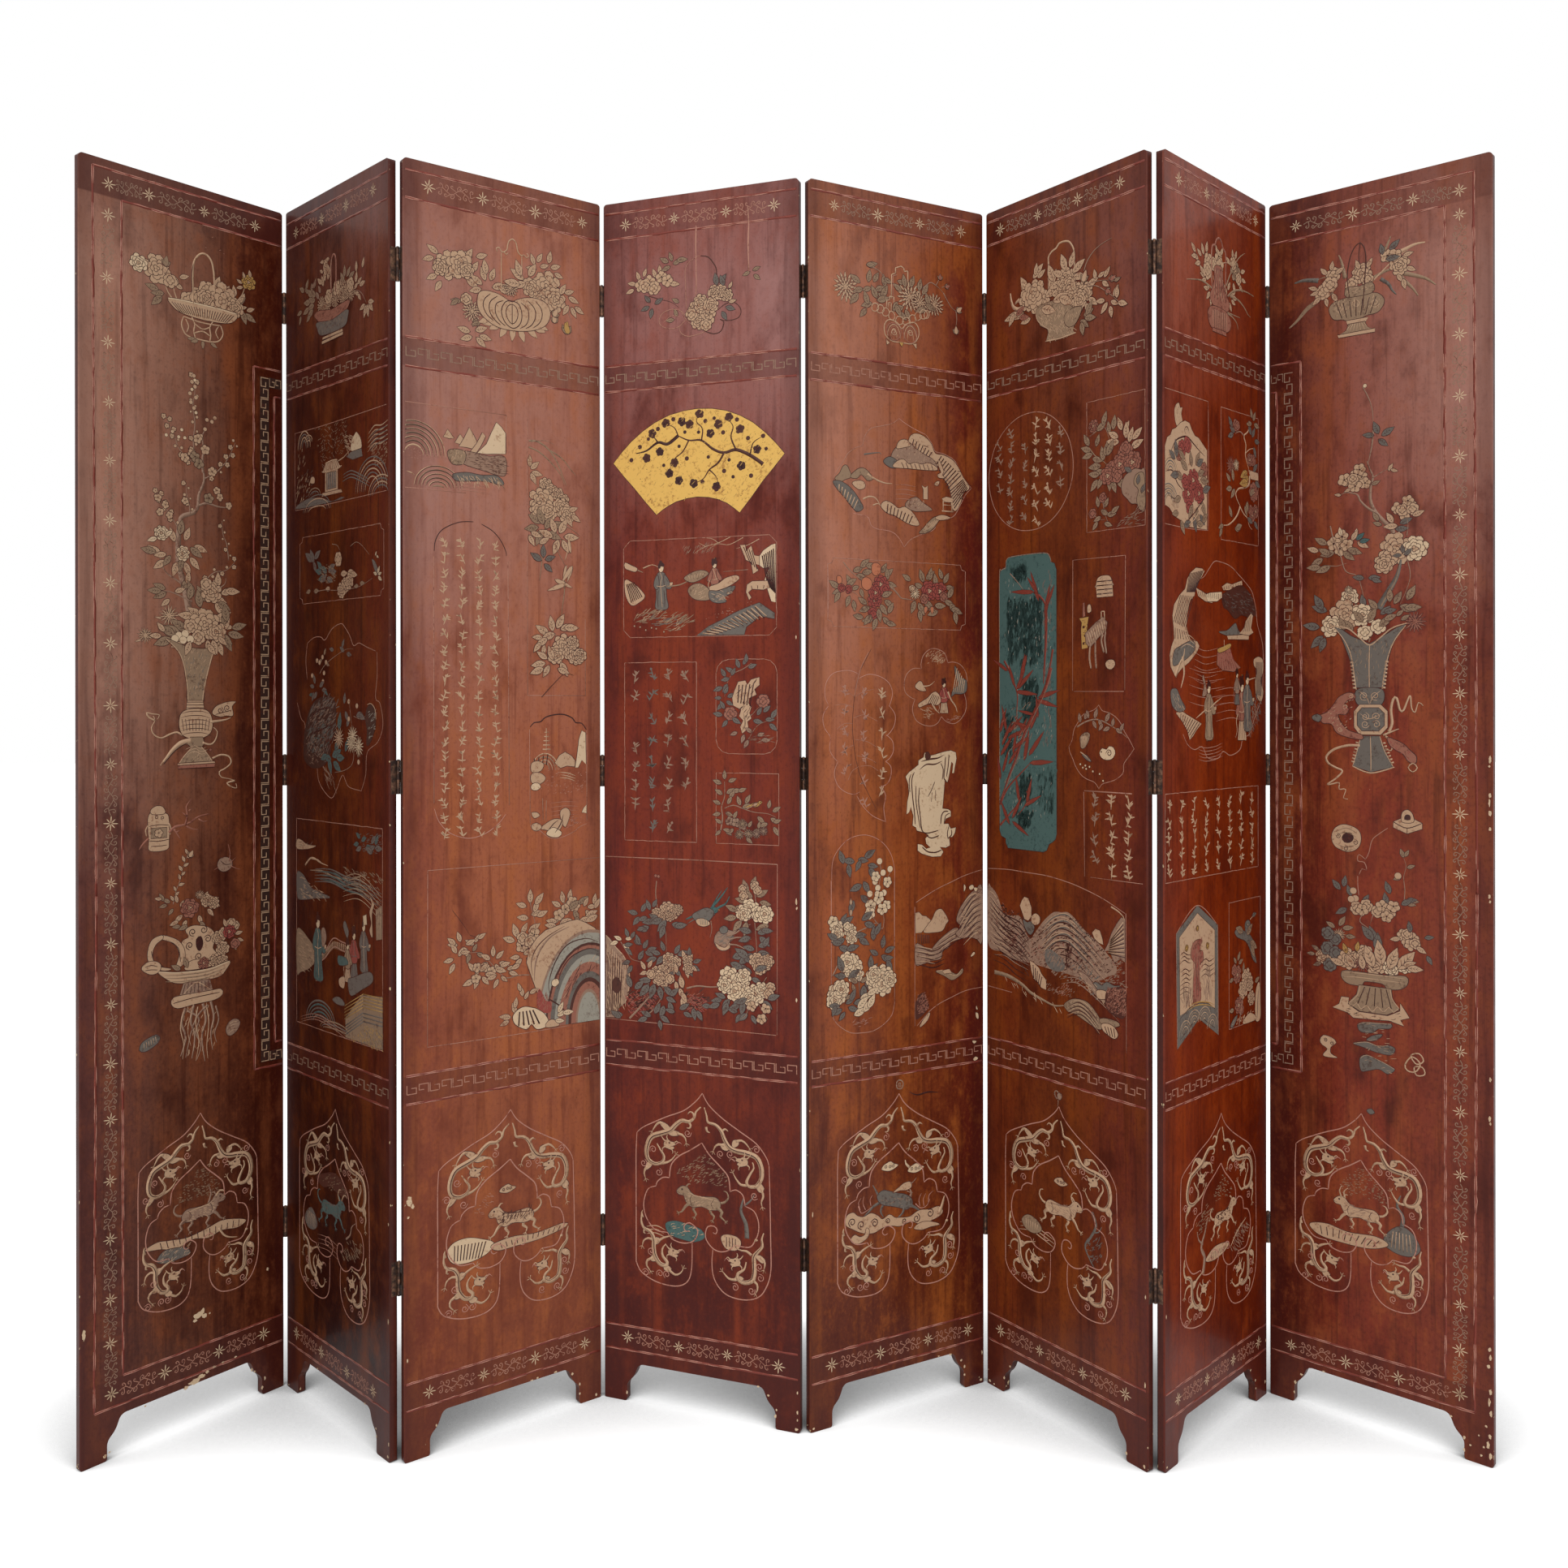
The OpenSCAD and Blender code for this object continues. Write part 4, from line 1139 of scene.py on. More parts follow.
PICTURES[1, "jar, and a basket on a fringed stand"] = """
fill cream : 126 1164 134 1158 158 1162 164 1174 164 1212 160 1228 128 1228 126 1210 124 1180 ; 132 1162 130
 1154 140 1148 152 1150 156 1162
pen ridge 1 : 126 1184 145 1182 164 1184 ; 126 1210 145 1212 164 1210 ; 130 1220 145 1221 160 1220
flat sage : 130 1188 160 1188 160 1206 130 1206
plum cream 8 : 145 1197
curl ridge 0.9 4 : 140 1168 152 1170
pen cream 2.2 : 126 1180 120 1190 122 1202 ; 164 1180 168 1190 166 1202
brush rose 5 : 164 1198 176 1188 190 1186 205 1182 222 1172 242 1168
brush rose 4 : 196 1185 200 1168 198 1152 208 1138
brush rose 3.4 : 200 1170 190 1162 ; 203 1160 210 1156
brush rose 3.6 : 198 1188 210 1194 222 1196 ; 174 1192 182 1204 186 1212
brush rose 3 : 178 1198 188 1194 ; 222 1176 232 1182 240 1180
brush rose 5 : 126 1206 116 1214 108 1224
twig bark 1.6 cream 12 : 172 1330 178 1306 186 1286 192 1262 200 1240
bud cream 14 : 204 1246 60
fill bark : 260 1268 264 1256 276 1252 288 1258 290 1270 280 1278 268 1278
pen ridge 1 : 266 1258 276 1266 288 1266
brush rose 2 : 284 1260 286 1246 282 1228
brush rose 1.8 : 286 1264 298 1254 ; 288 1270 300 1276 308 1278 ; 262 1270 254 1274
leaf sage 15 : 166 1326 150 160 1330 190 154 1322 120 172 1338 230
leaf cream 14 : 180 1328 100 186 1336 60 150 1318 170
leaf cream 18 : 232 1328 60 244 1334 20 250 1338 -20 240 1346 -50 222 1356 -70 190 1352 215 198 1362 240 182
 1362 200
peony rose 18 : 204 1340
peony cream 12 : 238 1330 252 1336
leaf sage 17 : 226 1368 -60 200 1372 200 186 1372 180
burr cream 9 : 224 1318
fill cream : 196 1440 186 1420 190 1400 202 1394 196 1380 210 1374 226 1376 240 1380 250 1388 256 1402 250
 1420 258 1434 240 1446 216 1450
curl ridge 1.3 8 : 210 1386 232 1384 204 1410 240 1402 222 1432
fill ridge : 218 1400 226 1396 230 1410 224 1422 218 1414
fill cream : 178 1445 184 1424 176 1404 162 1396 148 1390 150 1384 168 1390 184 1400 194 1418 192 1442 ; 140
 1438 132 1418 138 1400 152 1390 150 1384 132 1390 124 1408 126 1430 150 1448 168 1448
pen ridge 1 : 130 1410 136 1430 154 1442 ; 186 1438 182 1412 168 1400
fill cream : 112 1440 122 1430 138 1430 148 1438 144 1450 128 1452
pen ridge 1 : 118 1438 130 1436 142 1440 ; 118 1444 130 1444 142 1446
peony cream 14 : 262 1402 270 1424
rose cream 10 : 272 1394 296 1384 288 1378
peony crimson 13 : 284 1394
leaf cream 15 : 296 1400 10 300 1410 -20 290 1416 -60 278 1384 110
rose rose 10 : 296 1418
fill cream : 196 1454 204 1440 222 1438 240 1442 246 1454
leaf sage 22 : 186 1452 150 200 1450 110
peony rose 11 : 232 1446
peony cream 12 : 254 1444 270 1448
fill cream : 144 1450 182 1456 240 1458 284 1450 276 1466 262 1476 220 1479 180 1476 160 1466
waves sage 2.4 3 6 : 156 1458 190 1462 236 1463 274 1456
pen bone 1.8 : 144 1450 182 1457 240 1459 285 1450
flat bark : 192 1478 244 1478 250 1500 184 1500
ribs ridge 1 8 : 192 1480 244 1480 186 1498 248 1498
pen cream 1.6 : 192 1498 206 1486 218 1480 230 1486 246 1498
fill cream : 168 1512 172 1502 190 1500 244 1500 266 1500 270 1510 254 1518 214 1520 180 1522
pen ridge 1.2 : 172 1512 210 1508 264 1506
brush bark 5 : 196 1524 188 1550 196 1580 186 1612 ; 212 1522 206 1550 214 1580 208 1620 ; 230 1522 236 1552
 228 1584 234 1630
brush bark 4.4 : 246 1520 252 1550 246 1580 250 1612
brush bark 3.6 : 200 1530 222 1548 216 1572 226 1600 218 1624 ; 240 1526 222 1540 210 1562 202 1590 196 1616
brush bark 3 : 256 1530 262 1556 254 1580 258 1600
brush cream 2 : 192 1530 186 1560 192 1590 190 1618 ; 220 1526 216 1556 222 1590 216 1626 ; 238 1530 242 1560
 238 1600 240 1626
brush cream 1.6 : 208 1536 200 1564 206 1596
hatch cream 60 9 80 0.8 : 188 1528 260 1526 254 1610 190 1616
fill slate : 108 1586 112 1574 128 1566 142 1564 146 1574 134 1584 118 1590
ribs cream 0.9 6 : 114 1576 140 1566 114 1586 142 1576
fill bark : 278 1574 286 1564 298 1562 306 1570 300 1584 286 1592 278 1586
waves cream 1 4 5 : 282 1572 290 1567 302 1568
"""
PICTURES[2, "flowers in a round pot"] = """
leaf sage 28 : 124 196 165 120 204 185 116 212 205 126 188 150 104 196 170 100 206 195 112 186 140
leaf sage 20 : 96 176 140 80 170 150 86 168 60 70 206 190 66 214 250 104 220 215 118 172 60 112 178 100
leaf bark 20 : 140 196 130 146 186 120 110 170 30
leaf cream 22 : 158 176 110 164 168 95 150 170 140 170 158 120 172 150 100 176 168 80 182 160 110
leaf cream 16 : 156 150 150 168 142 130 176 134 160 182 130 170 160 130 175
leaf sage 24 : 232 182 60 240 176 90 248 178 50 256 182 20 238 188 120
leaf cream 20 : 282 196 80 288 200 30 296 204 10 284 176 90 306 174 70
leaf cream 18 : 268 212 0 280 214 -20 290 218 -50 276 206 30
brush bark 1.6 : 268 210 290 212 306 222 320 240
leaf cream 22 : 316 242 200 320 244 250 324 244 -80 330 242 -50 328 240 -10
mum cream 17 : 150 210 170 214 190 204
mum cream 20 : 222 196 246 202
mum cream 15 : 206 212 264 212 236 214
rose cream 14 : 210 190 178 200 262 196
pen rose 4.4 : 188 196 187 150 190 132 197 125 204 130 207 148 206 196
pen cream 1.4 : 187 186 186 150 190 132
fill rose : 122 224 140 219 190 226 240 222 260 224 250 236 232 242 190 245 148 242 132 234
hatch ridge 60 6 20 0.9 : 130 224 255 224 240 240 150 240
fill slate : 132 240 190 246 250 238 252 252 240 266 190 269 146 266 134 252
hatch sage 80 6 85 : 140 246 246 246 238 264 150 264
flat cream : 154 272 232 270 233 275 154 276 ; 152 279 234 276 234 281 152 284
"""
PICTURES[2, "house by the water, and flowers in a cut frame"] = """
pen hairline 1.4 : 38 437 150 438 300 436 398 434 ; 40 437 39 510 41 587 ; 40 587 150 588 300 587 398 586
arcs cream slate 5 6 2.6 : 78 472 26 34
arcs cream sage 3 5 2 : 96 462 16 14
hatch cream 90 9 60 0.9 : 44 480 70 470 120 590 44 590
hatch slate 60 10 40 0.9 : 60 520 110 520 150 585 80 585
hatch sage 90 8 20 0.8 : 120 440 250 440 230 500 130 500
hatch bark 70 8 -40 0.8 : 150 440 240 450 200 520 140 520
fill bone : 264 498 266 482 276 472 284 468 294 476 300 484 302 498 284 502
hatch cream 14 6 80 0.8 : 268 480 300 480 300 498 268 498
flat slate : 262 502 302 500 306 514 270 516 246 508
brush cream 2.2 : 214 512 234 508 250 502 262 496
hatch cream 60 16 -25 1 : 228 462 256 466 270 492 240 492
waves cream 2.4 5 8 : 326 478 350 466 372 468 398 462
waves slate 2 4 8 : 334 484 356 476 398 472
hatch cream 130 6 30 0.8 : 330 500 398 500 398 540 350 540
arcs slate cream 6 7 2.6 : 340 580 60 60
arcs cream slate 4 6 2.6 : 372 590 44 34
waves slate 2.4 3 6 : 232 540 262 536 300 548 330 560
put house slate cream : 188 524 0.94
fill cream : 104 540 108 530 120 532 120 542
arcs sage slate 4 6 2.2 : 120 566 24 14
fill slate : 48 584 90 570 150 574 190 584 226 580 226 584
arcs slate cream 4 7 2.2 : 130 596 56 30
box hairline 1.3 notch 12 : 60 642 382 770
leaf slate 34 : 112 690 150 118 694 120
leaf slate 26 : 116 692 -60 120 686 30
leaf teal 26 : 150 714 170 160 722 195 150 708 140 170 716 150
leaf slate 26 : 168 722 200 176 712 20 184 716 0 170 726 -20
hatch sage 80 10 -15 0.9 : 130 700 200 700 200 735 130 735
rose cream 14 : 214 694
leaf cream 26 : 224 722 0 250 722 5 262 724 -10
leaf sage 18 : 104 746 190 118 748 0 296 744 0 290 748 180
leaf cream 16 : 168 748 0 182 746 180
peony cream 16 : 240 744 256 738 226 752
brush bark 1.6 : 120 750 160 748 220 752 290 750 340 738 ; 190 664 210 668 220 678
brush bark 1.4 : 260 674 280 668 300 674 330 694
fill slate : 340 704 350 708 362 724 366 734 352 726
leaf bone 14 : 362 732 10 358 732 160 360 730 60 362 736 -30
leaf bone 10 : 352 698 60 356 698 -30
"""
PICTURES[2, "rock and fruit in a lobed frame"] = """
pen hairline 1.6 : 90 846 118 836 145 836 162 842 190 822 224 814 240 822 258 838 272 856 292 852 320 860 352
 868
pen hairline 1.5 : 90 846 84 880 90 915 ; 357 870 358 910 352 952 368 962 378 1000 360 1030 322 1050 316 1090
 300 1120 ; 48 960 64 990 80 1002 78 1040 ; 130 1084 136 1108 160 1128 188 1138 208 1120 230 1094 252 1114
 300 1120
leaf slate 17 : 196 862 170 236 866 150 246 870 -10 228 858 60
leaf sage 15 : 150 880 190 166 886 -20 158 870 60
brush bark 1.3 : 140 905 160 890 200 874 244 862 270 862
dots cream 4.4 : 130 880 140 884 152 874 166 884 158 904 110 908 154 920
leaf slate 19 : 118 930 170 122 924 110 130 940 220 140 930 30 150 936 0 116 940 250
leaf teal 16 : 112 944 185 160 938 -30
fill wash : 76 1064 76 1030 86 1000 98 976 120 958 150 950 180 948 200 958 205 985 196 1010 180 1030 184 1050
 160 1076 120 1084 92 1078
hatch slate 170 20 45 1.9 : 78 1064 96 976 150 950 204 960 200 1020 160 1076
hatch bark 90 14 25 1 : 90 990 130 955 200 955 200 1000 120 1010
hatch teal 90 12 20 1.2 : 84 1010 190 990 180 1040 84 1070
hatch bark 110 9 50 1 : 84 1030 170 1010 170 1070 100 1078
hatch bark 60 8 -20 1 : 78 1040 120 1020 150 1060 100 1078
vein ridge 2 : 92 1050 110 1020 150 1010 190 1000 ; 90 1000 120 980 160 970 196 972
leaf teal 34 : 190 1060 20 186 1066 170 194 1070 -30 200 1048 45
leaf teal 30 : 170 1058 200 176 1064 -70 206 1062 0 216 1010 80 240 1050 60
leaf slate 22 : 236 962 80 240 976 -60 282 984 10 292 982 -20 246 1004 60
brush bark 1.3 : 200 1090 240 1084 268 1070 272 1040 262 990 256 960 ; 272 985 300 990 320 982
burr cream 20 : 216 1026
burr bone 19 : 262 1034 290 1040 268 1020
dots cream 4.6 : 254 958 284 966 254 990 290 1068
fill wash : 320 1036 322 1010 316 990 322 970 338 964 350 976 352 1000 342 1020 330 1034
hatch mist 34 9 30 1.2 : 322 970 350 970 346 1010 326 1030
pen cream 1.4 : 322 964 336 962 350 972 354 990
hatch bark 60 22 -50 0.9 : 140 1080 170 1076 210 1120 170 1110
"""
PICTURES[2, "garden with four figures"] = """
box hairline 1.6 plain 0 : 44 1184 376 1578
fill cream : 46 1226 60 1224 90 1232 124 1232 90 1240 46 1242
hatch bark 30 12 5 0.9 : 50 1226 110 1232 90 1240 50 1240
brush cream 4 : 80 1272 100 1258 118 1256 140 1262 172 1266
vein cream 3 : 106 1258 130 1258 150 1264
vein sage 5 : 100 1280 150 1278 200 1286 260 1282 320 1270
waves slate 3.4 5 6 : 120 1276 180 1272 240 1280 300 1284 372 1300
waves teal 3 3 8 : 140 1278 200 1278 250 1290 320 1290
waves cream 1.4 6 9 : 230 1282 280 1272 320 1280 372 1306
hatch sage 150 12 -25 1.2 : 230 1262 372 1262 374 1330 330 1310 240 1296
leaf teal 20 : 296 1206 150 300 1210 20 290 1216 190 316 1222 10 350 1214 60
leaf slate 24 : 330 1224 20 336 1212 40 340 1230 160 300 1222 200 350 1220 0
hatch slate 60 10 15 1 : 290 1200 370 1196 370 1230 300 1230
fill cream : 332 1310 338 1322 330 1336 336 1356 330 1370 340 1380 338 1340 346 1320
flat sage : 352 1330 374 1320 374 1380 354 1384
ribs cream 1 5 : 352 1332 374 1324 354 1384 374 1380
fill slate : 46 1290 70 1290 110 1314 180 1324 120 1332 60 1340 46 1330
hatch cream 90 16 -12 1 : 48 1290 90 1300 170 1322 60 1340
fill sage : 46 1400 90 1410 130 1440 100 1466 60 1480 46 1482
hatch cream 120 14 -14 1 : 48 1400 120 1430 100 1466 50 1480
pen hairline 2.6 : 132 1442 160 1428 192 1400 224 1402 258 1405 ; 136 1452 160 1440 194 1416 224 1418 256
 1420
ribs cream 1.6 14 : 140 1440 194 1404 140 1450 194 1418
ribs cream 1.6 12 : 196 1404 256 1406 196 1418 256 1420
put man teal cream : 132 1428 1.2
fill bark : 146 1390 158 1384 166 1400 160 1414 150 1420
put lady crimson slate : 272 1420 0.9
put man slate cream : 308 1404 0.9
put lady sage cream : 248 1436 0.74
fill slate : 232 1372 238 1362 252 1380 246 1392
flat bone : 306 1346 318 1342 320 1360 308 1362
fill slate : 250 1470 270 1462 330 1444 340 1460 300 1480 260 1496
fill teal : 212 1430 240 1430 250 1440 216 1446
fill cream : 216 1472 236 1466 234 1486 218 1484
flat sage : 240 1540 300 1490 376 1482 376 1576 240 1576
ribs ochre 1.8 5 : 236 1516 236 1546 306 1484 306 1514 ; 306 1484 306 1514 376 1482 376 1512
ribs slate 2.4 4 : 240 1552 240 1574 306 1518 306 1540
ribs slate 2.4 3 : 306 1518 306 1540 376 1516 376 1538
hatch ochre 150 5 -50 1.6 : 256 1576 306 1542 376 1542 376 1576
hatch slate 60 5 -40 1.4 : 290 1576 320 1546 376 1546 376 1576
arcs slate teal 5 7 4 : 142 1566 58 42
arcs sage slate 3 6 3 : 200 1572 60 16
waves hairline 1.6 3 5 : 60 1566 120 1552 180 1556 240 1568
fill slate : 190 1514 210 1506 230 1510 236 1518 210 1520
"""
PICTURES[7, "flowers in a bottle"] = """
leaf cream 22 : 138 156 150 126 164 165 134 168 200 146 152 110 156 146 80 150 160 60 120 160 190 116 154 140
leaf cream 20 : 150 190 170 156 194 200 146 186 140 168 206 200 170 214 230 176 218 260 164 210 180
rose cream 17 : 166 160 160 178 206 174
rose cream 14 : 184 160
plum cream 14 : 204 142 210 158
leaf cream 18 : 198 138 110 212 138 60 240 196 60 250 204 20 254 212 -20 246 218 -60 258 206 0 236 206 120
leaf cream 20 : 262 136 100 270 132 70 292 152 20 296 164 -10 262 178 -70 286 176 -40 250 146 150
peony sage 20 : 270 154
rose cream 12 : 284 166 262 142
brush cream 1.8 : 222 150 238 146 252 148
brush sage 4 : 196 212 170 204 140 200 110 204 82 210
brush sage 4.4 : 240 208 262 194 290 186 320 184 348 186 ; 250 206 280 206 305 214 324 226 334 228
brush sage 3.6 : 234 190 248 168 264 148 286 126 310 112
brush sage 3.4 : 238 240 256 242 276 250 282 262
brush sage 3 : 236 238 260 238 290 238
pen rose 4.4 : 179 206 176 170 177 136 182 126 190 124 195 114 206 108 216 114 221 124 230 128 233 140 232
 170 230 204
pen cream 1 : 177 196 175 150 178 132
fill rose : 186 168 196 160 214 160 220 168 222 186 232 204 246 222 240 236 214 240 196 240 178 232 170 220
 182 200 188 184
ribs ridge 1 5 : 192 164 216 164 182 222 238 222
hatch cream 40 8 85 0.9 : 190 168 218 168 236 224 178 224
fill rose : 162 252 172 240 192 236 214 236 236 240 250 250 252 262 240 274 208 280 180 278 166 268
ribs cream 1 8 : 178 242 238 242 178 274 240 272
ribs ridge 0.9 7 : 184 240 232 240 184 277 234 276
flat rose : 180 277 232 276 234 283 180 283
"""
PICTURES[7, "flowered shield, and a fruiting branch"] = """
pen hairline 1.4 : 4 415 100 415 163 415 ; 163 415 164 530 163 648 ; 4 651 90 652 163 649
fill cream : 38 448 44 438 54 434 58 442 66 440 62 452 66 462 62 474 48 476 40 466
hatch sage 20 6 60 0.8 : 42 442 64 442 62 472 44 472
flat cream : 12 500 24 494 30 484 42 480 60 468 76 462 92 464 100 474 112 484 126 486 140 494 150 500 158 504
 158 648 84 649 60 640 36 634 20 622 4 618 4 516
vein ridge 2.4 : 20 530 40 504 60 494 84 490 110 500 128 508 150 516
vein ridge 2 : 6 560 30 556 48 576 70 586 ; 6 590 20 600 40 604 60 600
arcs ridge sage 3 4 1.4 : 82 484 9 12
arcs slate sage 6 4 2.4 : 18 620 34 40
arcs sage slate 4 5 2.4 : 24 560 24 26
rose crimson 15 : 64 512 84 504
rose rose 13 : 54 524 146 540
peony crimson 22 : 106 564 88 590
peony crimson 19 : 128 586
rose crimson 13 : 92 616 76 570
leaf sage 28 : 66 566 160 84 548 150 100 540 100 116 536 60 124 552 20 134 560 0 138 600 -60 120 612 -90 104
 608 240 60 600 200 74 530 150
leaf slate 28 : 40 534 150 46 530 100 52 560 190 120 536 30 108 630 -70 96 640 200 130 624 -40 142 580 20
leaf sage 26 : 52 628 190 60 640 -60 120 640 0 140 636 40
pen ridge 1.6 : 84 640 110 622 130 606 148 592
pen cream 2 : 90 646 116 630 140 604
box hairline 1.3 plain 0 : 213 417 366 661
brush cream 3 : 330 434 322 448 306 458 314 474 312 494 322 512 334 530 366 528
flat cream : 326 520 366 522 366 536 334 536
brush cream 5 : 330 530 326 548 304 556 284 560 272 570 278 582 290 592
brush cream 4.4 : 290 592 280 608 262 622 240 632 220 634
brush cream 2.6 : 290 594 306 606 320 612 328 626 340 632
brush cream 2 : 312 490 330 480 350 476
brush bark 2.6 : 306 458 290 452 270 458
rose rose 12 : 272 442 344 500
peony rose 19 : 346 560
peony rose 13 : 354 596 340 604 330 500
rose rose 10 : 334 596 278 442
burr rose 18 : 252 520
burr bone 12 : 274 516
leaf ochre 36 : 320 524 205 326 534 200 322 544 190
leaf slate 22 : 268 456 160 262 460 200 258 448 130 340 456 60 350 462 0 346 474 -60 336 452 120
leaf sage 24 : 256 562 190 250 550 140 262 548 100 268 562 230 320 580 -100 308 590 -60 256 616 120 268 636 0
 272 636 20
leaf sage 22 : 344 424 60 348 430 -10 338 430 190 340 420 110 330 568 40 222 634 200 216 640 240
leaf slate 24 : 320 612 -20 348 616 -40 344 520 40 352 540 -20
"""
PICTURES[7, "figures by the water in a lobed frame"] = """
pen hairline 1.8 : 110 740 142 736 164 720 186 704 212 703 250 708 284 722 314 736 340 752 356 784 362 812
 384 850 386 900 380 950 350 990 330 1020 300 1030 288 1050 250 1060 220 1052 200 1064 160 1062 140 1042 110
 1046 84 1036 68 1018
flat cream : 76 760 84 742 96 730 116 720 140 720 148 724 134 738 118 748 110 770 92 782 84 800 80 826 88 842
 96 850 120 852 128 860 118 872 90 890 66 900 40 916 24 900 20 880 26 864 36 850 34 830 30 810 36 790 56 772
ribs ridge 1.6 12 : 90 732 146 722 80 766 112 764
ribs ridge 1.4 9 : 56 772 108 772 32 820 80 830
ribs ridge 1.4 6 : 36 830 82 836 34 850 96 850
fill slate : 36 872 60 862 96 852 112 856 110 868 84 882 56 892 32 896
waves cream 1.6 3 8 : 60 850 84 842 108 848 118 856
flat cream : 116 756 150 764 176 770 178 780 150 778 124 770
flat bone : 152 766 170 762 214 758 216 768 196 776 160 778
ribs ridge 1.2 12 : 120 762 214 762 124 770 214 772
flat cream : 216 748 236 740 258 742 256 752 222 754 ; 254 742 296 732 298 740 264 748
ribs ridge 1 8 : 218 748 294 736 222 754 296 742
fill umber : 218 764 250 752 290 742 324 752 346 772 352 792 330 800 296 796 268 804 240 790 222 784
hatch slate 70 14 -14 0.9 : 220 760 330 750 350 792 230 790
fill slate : 204 832 236 828 262 816 272 814 284 828 310 834 250 838
flat cream : 236 838 300 834 326 832 324 842 240 844 ; 286 832 306 820 312 808 334 792 342 796 334 820 344
 828 326 834
ribs ridge 1 5 : 310 812 334 796 300 828 330 826
waves hairline 1.2 6 12 : 110 860 150 868 200 862
waves hairline 1.2 5 15 : 90 900 150 908 230 902
waves hairline 1.2 5 14 : 190 940 250 934 290 938
flat rose : 198 868 246 856 258 880 290 896 262 904 218 902 196 892
ribs crimson 1.8 8 : 200 866 246 858 200 900 280 898
fill ochre : 198 864 222 858 248 852 250 858 226 866 204 870
pen cream 1.6 : 224 846 225 862
put man sage cream : 164 980 1.02
fill bark : 140 950 146 930 140 918 144 912 152 930 156 946
put lady rose cream : 296 976 1.12
put man slate cream : 318 964 1.06
put lady bark slate : 276 934 0.62
brush cream 2.6 : 318 920 340 916 364 912
fill cream : 346 880 366 874 384 880 386 900 374 920 386 940 376 960 356 946 352 920 360 900 348 892
ribs ridge 1.4 8 : 352 884 384 884 356 946 378 950
hatch slate 120 12 -60 1.2 : 350 940 384 930 366 990 330 1018 320 1010
hatch bark 60 12 -60 1.2 : 340 960 370 960 330 1020 316 1016
flat cream : 42 980 60 976 84 984 104 990 136 1000 116 1012 104 1022 92 1028 84 1012 66 996
ribs ridge 1.4 9 : 56 980 134 1000 56 990 98 1026
fill slate : 24 942 44 938 60 956 76 972 54 978 30 968
hatch cream 40 10 -45 0.9 : 26 940 60 950 70 974 34 970
waves hairline 1.4 5 6 : 126 1040 150 1044 190 1042 216 1036
vein cream 2.6 : 116 990 140 980 160 972 ; 168 972 190 962 216 952
brush cream 8 : 40 916 56 894 70 880 74 866
brush cream 7 : 66 880 72 910 60 936
"""
PICTURES[7, "columns of sprigs"] = """
box hairline 1.4 plain 0 : 4 1121 364 1276
sprigs cream 27 : 18 1145 45.8 28.5 8 5
"""
PICTURES[7, "pointed banner, and a bird on a rock"] = """
flat slate : 42 1368 120 1326 198 1370 200 1572 126 1530 46 1572
flat cream : 54 1376 120 1340 186 1378 186 1520 126 1504 56 1514
pen hairline 1.6 : 42 1368 120 1326 198 1370
pen hairline 1.4 : 42 1368 44 1470 46 1572 ; 198 1370 199 1470 200 1572
flat slate : 56 1520 90 1506 126 1502 160 1508 186 1522 186 1556 126 1524 56 1556
arcs cream sage 5 5 1.6 : 76 1552 22 26 ; 108 1536 24 24 ; 146 1536 24 24 ; 176 1554 20 24
fill rose : 98 1400 108 1390 122 1388 134 1390 128 1406 140 1412 142 1428 128 1434 128 1460 132 1496 106 1500
 104 1460 110 1430 96 1416
hatch crimson 70 12 80 1.8 : 100 1392 140 1396 132 1494 106 1498
vein ridge 1.4 : 116 1492 116 1450 112 1410
vein ridge 1.2 : 124 1492 122 1450 124 1420
rose ochre 5 : 120 1367
rose ochre 6 : 80 1398 158 1403
waves ridge 1.4 3 7 : 58 1408 70 1404 84 1410 98 1412
waves ridge 1.4 4 9 : 134 1430 150 1426 166 1432 184 1428
waves ridge 1.4 3 8 : 60 1438 76 1434 92 1440 100 1436
waves ridge 1.2 3 8 : 56 1462 76 1458 94 1464
waves ochre 2.4 2 5 : 84 1504 110 1500 140 1502 168 1508 184 1514
hatch bark 40 20 88 1.6 : 66 1480 96 1480 96 1508 66 1508
hatch bark 50 20 88 1.6 : 144 1450 170 1450 174 1508 146 1508
box hairline 1.2 plain 0 : 243 1334 373 1569
fill slate : 266 1390 284 1386 306 1394 322 1400 340 1414 348 1440 356 1460 340 1450 328 1430 312 1414 290
 1406 274 1400 ; 308 1380 318 1374 328 1378 330 1392 320 1400 310 1394
leaf sage 30 : 330 1416 -30 334 1424 -60 316 1402 40 300 1394 160
leaf slate 18 : 338 1368 10
dots bone 1.4 : 320 1383
brush cream 2 : 330 1374 344 1368
peony cream 20 : 314 1484 300 1502
peony rose 17 : 276 1472 282 1530
peony cream 15 : 334 1524 328 1496
rose rose 11 : 264 1462 292 1540
leaf sage 18 : 278 1446 60 282 1452 20 272 1450 130 260 1478 190 350 1496 20 300 1470 80 262 1536 180
brush bark 2.6 : 284 1568 290 1544 300 1516 318 1500
fill cream : 352 1568 352 1520 362 1500 370 1502 372 1530 372 1568
vein ridge 1.6 : 360 1566 362 1530 366 1510
fill cream : 300 1568 312 1556 330 1552 350 1560 352 1568
fill slate : 248 1564 262 1552 276 1548 268 1560 256 1568
hatch cream 50 8 30 0.9 : 250 1560 340 1550 340 1568 250 1568
"""
